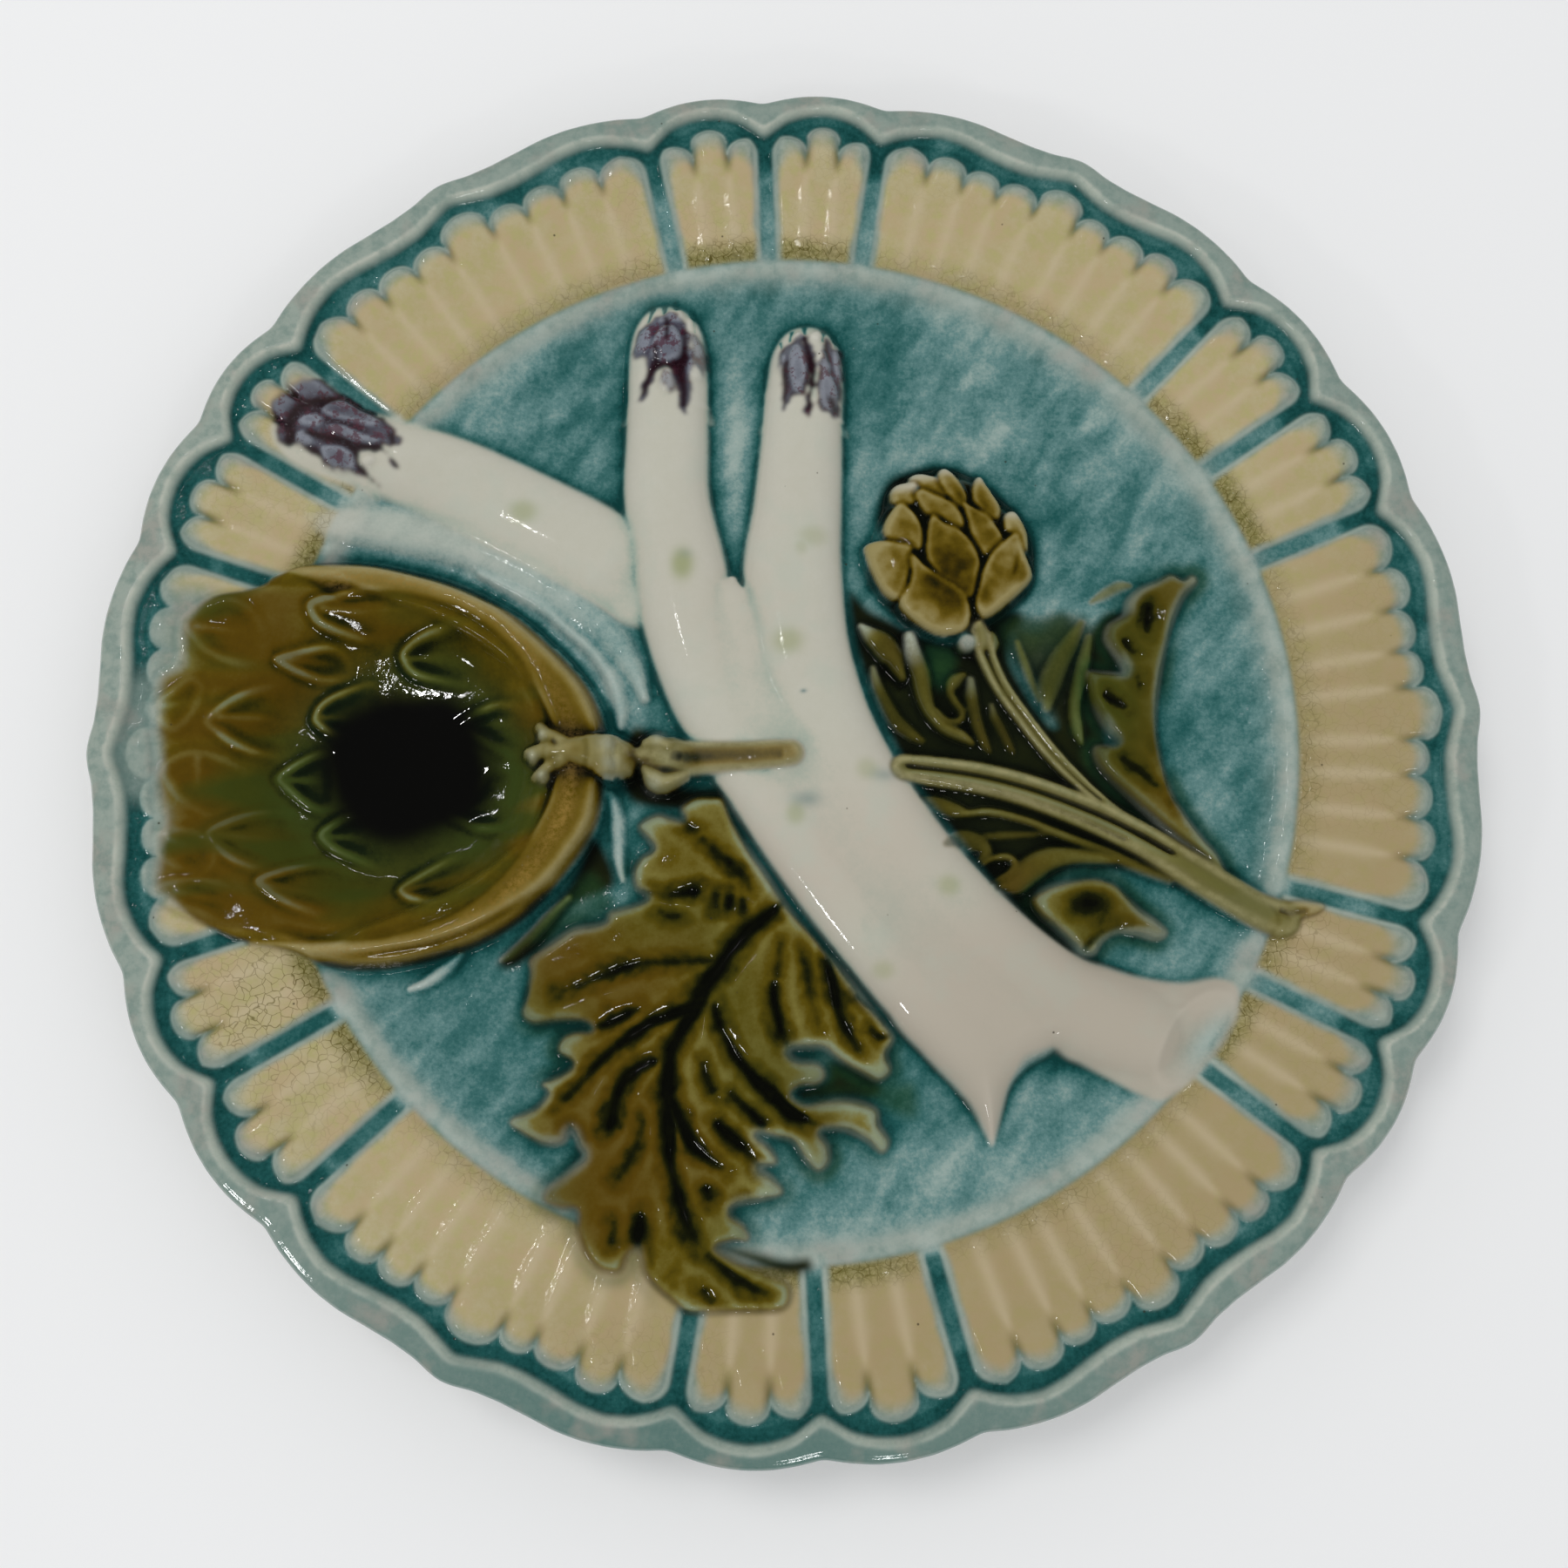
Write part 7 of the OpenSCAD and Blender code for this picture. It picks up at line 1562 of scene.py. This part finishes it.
def field_ring(r):
    t = np.radians(th)
    return sample(H, r * np.cos(t), r * np.sin(t))


rings, tops = [], 0
start = rin - 1.1
r_last = rout - 1.5
for k in range(26):
    u = k / 25
    r = start + (r_last - start) * u
    z = field_ring(r) - (0.25 if k == 0 else 0.06 if k == 1 else 0)
    rings.append((r, z))
tops = len(rings)
z_last = rings[-1][1]
for a in (12, 24, 36, 48, 60, 72, 84, 96, 110, 124, 140, 156, 172):
    t = math.radians(a)
    rings.append((rout - 1.5 + 1.5 * math.sin(t), z_last - 1.9 + 1.9 * math.cos(t)))
low_z = rings[-1][1]
for r, z in ((116.6, 15.3), (115, 15.0), (112.5, 14.6), (110.2, 14.3)):
    rings.append((np.full(SEG, r), np.full(SEG, z)))
rings.append((np.full(SEG, 109.6), np.full(SEG, 15.4)))
rings.append((start - 0.4, field_ring(start - 0.4) - 1.2))
verts, quads, grid = turned("edge_lip", rings, SEG)
nx = -sample(GX * NZ, verts[:, 0], verts[:, 1])
ny = -sample(GY * NZ, verts[:, 0], verts[:, 1])
nz = sample(NZ, verts[:, 0], verts[:, 1])
custom = np.zeros(len(verts), bool)
custom[: (tops - 3) * SEG] = True
at = verts[:, :2].reshape(len(rings), SEG, 2).copy()
at[tops:] = at[tops - 2]
lip = make("edge_lip", verts, quads[:, ::-1], np.stack([nx, ny, nz], 1), custom, at.reshape(-1, 2))
lip.data.materials.append(MATS["lip_glaze"])
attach(lip, "root")
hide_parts("edge_lip")

# body: plain turned solid under the glaze, its underside in view from below
body_top = [(110.4, -1.9), (106, -1.9), (100, -1.9), (94, -1.9), (89, -1.6), (84, -1.7), (78, -1.7), (72, -1.7), (66, -1.7), (58, -1.7), (50, -1.7), (40, -1.7), (30, -1.7), (20, -1.7), (10, -1.7), (2, -1.7)]
prof = [(r, float(np.interp(r, *zip(*PROFILE))) + dz) for r, dz in body_top]
under = [(2, 4.8), (10, 4.8), (20, 4.8), (35, 4.8), (50, 4.85), (58, 4.8), (60.6, 4.3), (61.6, 3.2), (62, 1.6), (62.3, 0.6), (62.9, 0.12), (63.8, 0.0), (64.8, 0.0), (65.6, 0.14), (66.1, 0.7),
         (66.5, 1.8), (67, 3.2), (68.4, 4.6), (71, 5.2), (75, 5.9), (80, 7.2), (86, 9.0), (92, 10.4), (98, 11.6), (104, 12.8), (110.4, 14.1)]
n = 360
th2 = np.radians(np.arange(n) * 360 / n)
rings = [(np.full(n, r), np.full(n, z)) for r, z in prof]
# the sauce hollow bulges through the underside
for r, z in under:
    x, y = r * np.cos(th2), r * np.sin(th2)
    rb = np.hypot(x - BX, y - BY)
    bulge = np.interp(rb, [0, 14, 22, 28, 33, 38, 46], [1.9, 2.0, 3.0, 5.2, 8.4, 12, 40])
    zz = np.minimum(np.full(n, float(z)), bulge)
    rings.append((np.full(n, r), np.where(np.full(n, z) < 0.3, np.full(n, float(z)), zz)))
rings = rings[::-1]
verts, quads, grid = turned("plate_body", rings, n)
k0 = len(under) - 1                         # no tube through the middle: two caps instead
quads = np.concatenate([quads[:k0 * n], quads[(k0 + 1) * n:]])
for k, (r, z) in enumerate(prof):
    g = grid[len(rings) - 1 - k]
    x, y = verts[g, 0], verts[g, 1]
    verts[g, 2] = np.minimum(verts[g, 2], sample(blur(H, 3.0), x, y) - 1.9)
    verts[g, 2] = np.maximum(verts[g, 2], 3.4)
low_c, top_c = len(verts), len(verts) + 1
verts = np.concatenate([verts, [[0, 0, verts[grid[k0], 2].mean()], [0, 0, verts[grid[k0 + 1], 2].mean()]]])
a_, b_ = grid[k0], grid[k0 + 1]
caps = np.concatenate([np.stack([np.full(n, low_c), np.roll(a_, -1), a_], 1), np.stack([b_, np.roll(b_, -1), np.full(n, top_c)], 1)])
body = make("plate_body", verts, (quads[:, ::-1], caps), None, None)
body.data.materials.append(UNDER)
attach(body, "root")
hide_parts("plate_body", "foot_ring")

# --------------------------------------------------------- stage and lighting
me = bpy.data.meshes.new("floor")
s = 6.0
me.from_pydata([(-s, -s, 0), (s, -s, 0), (s, s, 0), (-s, s, 0)], [], [(0, 1, 2, 3)])
floor = bpy.data.objects.new("floor", me)
bpy.context.scene.collection.objects.link(floor)
t = Tree("floor_pale")
bs = t.node("ShaderNodeBsdfPrincipled")
bs.inputs["Base Color"].default_value = (0.86, 0.86, 0.86, 1)
bs.inputs["Roughness"].default_value = 0.9
bs.inputs["Specular IOR Level"].default_value = 0.1
out = t.node("ShaderNodeOutputMaterial")
t.t.links.new(bs.outputs[0], out.inputs[0])
me.materials.append(t.mat)

world = bpy.data.worlds.new("studio")
bpy.context.scene.world = world
world.use_nodes = True
bg = world.node_tree.nodes["Background"]
bg.inputs["Color"].default_value = (0.97, 0.985, 1.0, 1)
bg.inputs["Strength"].default_value = 0.70
world.cycles_visibility.glossy = False


def lamp(name, loc, at, size, radiance, size_y=None, color=(1, 1, 1), soft=False):
    """An area lamp of a given brightness; a soft one lights without a glint."""
    li = bpy.data.lights.new(name, "AREA")
    li.shape = "RECTANGLE"
    li.size = size
    li.size_y = size_y or size
    li.energy = radiance * math.pi * li.size * li.size_y
    li.color = color
    ob = bpy.data.objects.new(name, li)
    ob.location = loc
    ob.rotation_euler = (Vector(at) - Vector(loc)).to_track_quat("-Z", "Y").to_euler()
    bpy.context.scene.collection.objects.link(ob)
    if soft:
        ob.visible_glossy = False
    return ob


lamp("key", (-0.50, 0.50, 1.25), (0, 0, 0), 0.45, 7.15, 0.45, (1.0, 0.99, 0.97), True)
lamp("fill", (0.9, -0.7, 1.6), (0, 0, 0), 1.4, 0.6, 1.2, (0.97, 0.98, 1.0), True)
lamp("glint_high", (-0.306, 0.251, 1.007), (0, 0, 0), 0.017, 150, 0.011)
lamp("glint_low", (-0.75, -0.55, 0.75), (0, 0, 0), 0.10, 28, 0.07)
lamp("glint_front", (0.15, -0.95, 0.85), (0, 0, 0), 0.10, 24, 0.06)

cam_data = bpy.data.cameras.new("view")
cam_data.sensor_width = 36
cam_data.lens = 33.2
cam_data.clip_start = 0.01
cam = bpy.data.objects.new("view", cam_data)
cam.location = (-0.00235, -0.0514, 0.2622)
cam.rotation_euler = (math.radians(9.7), math.radians(-0.465), math.radians(0.3))
bpy.context.scene.collection.objects.link(cam)
bpy.context.scene.camera = cam
bpy.context.scene.view_settings.view_transform = "Standard"
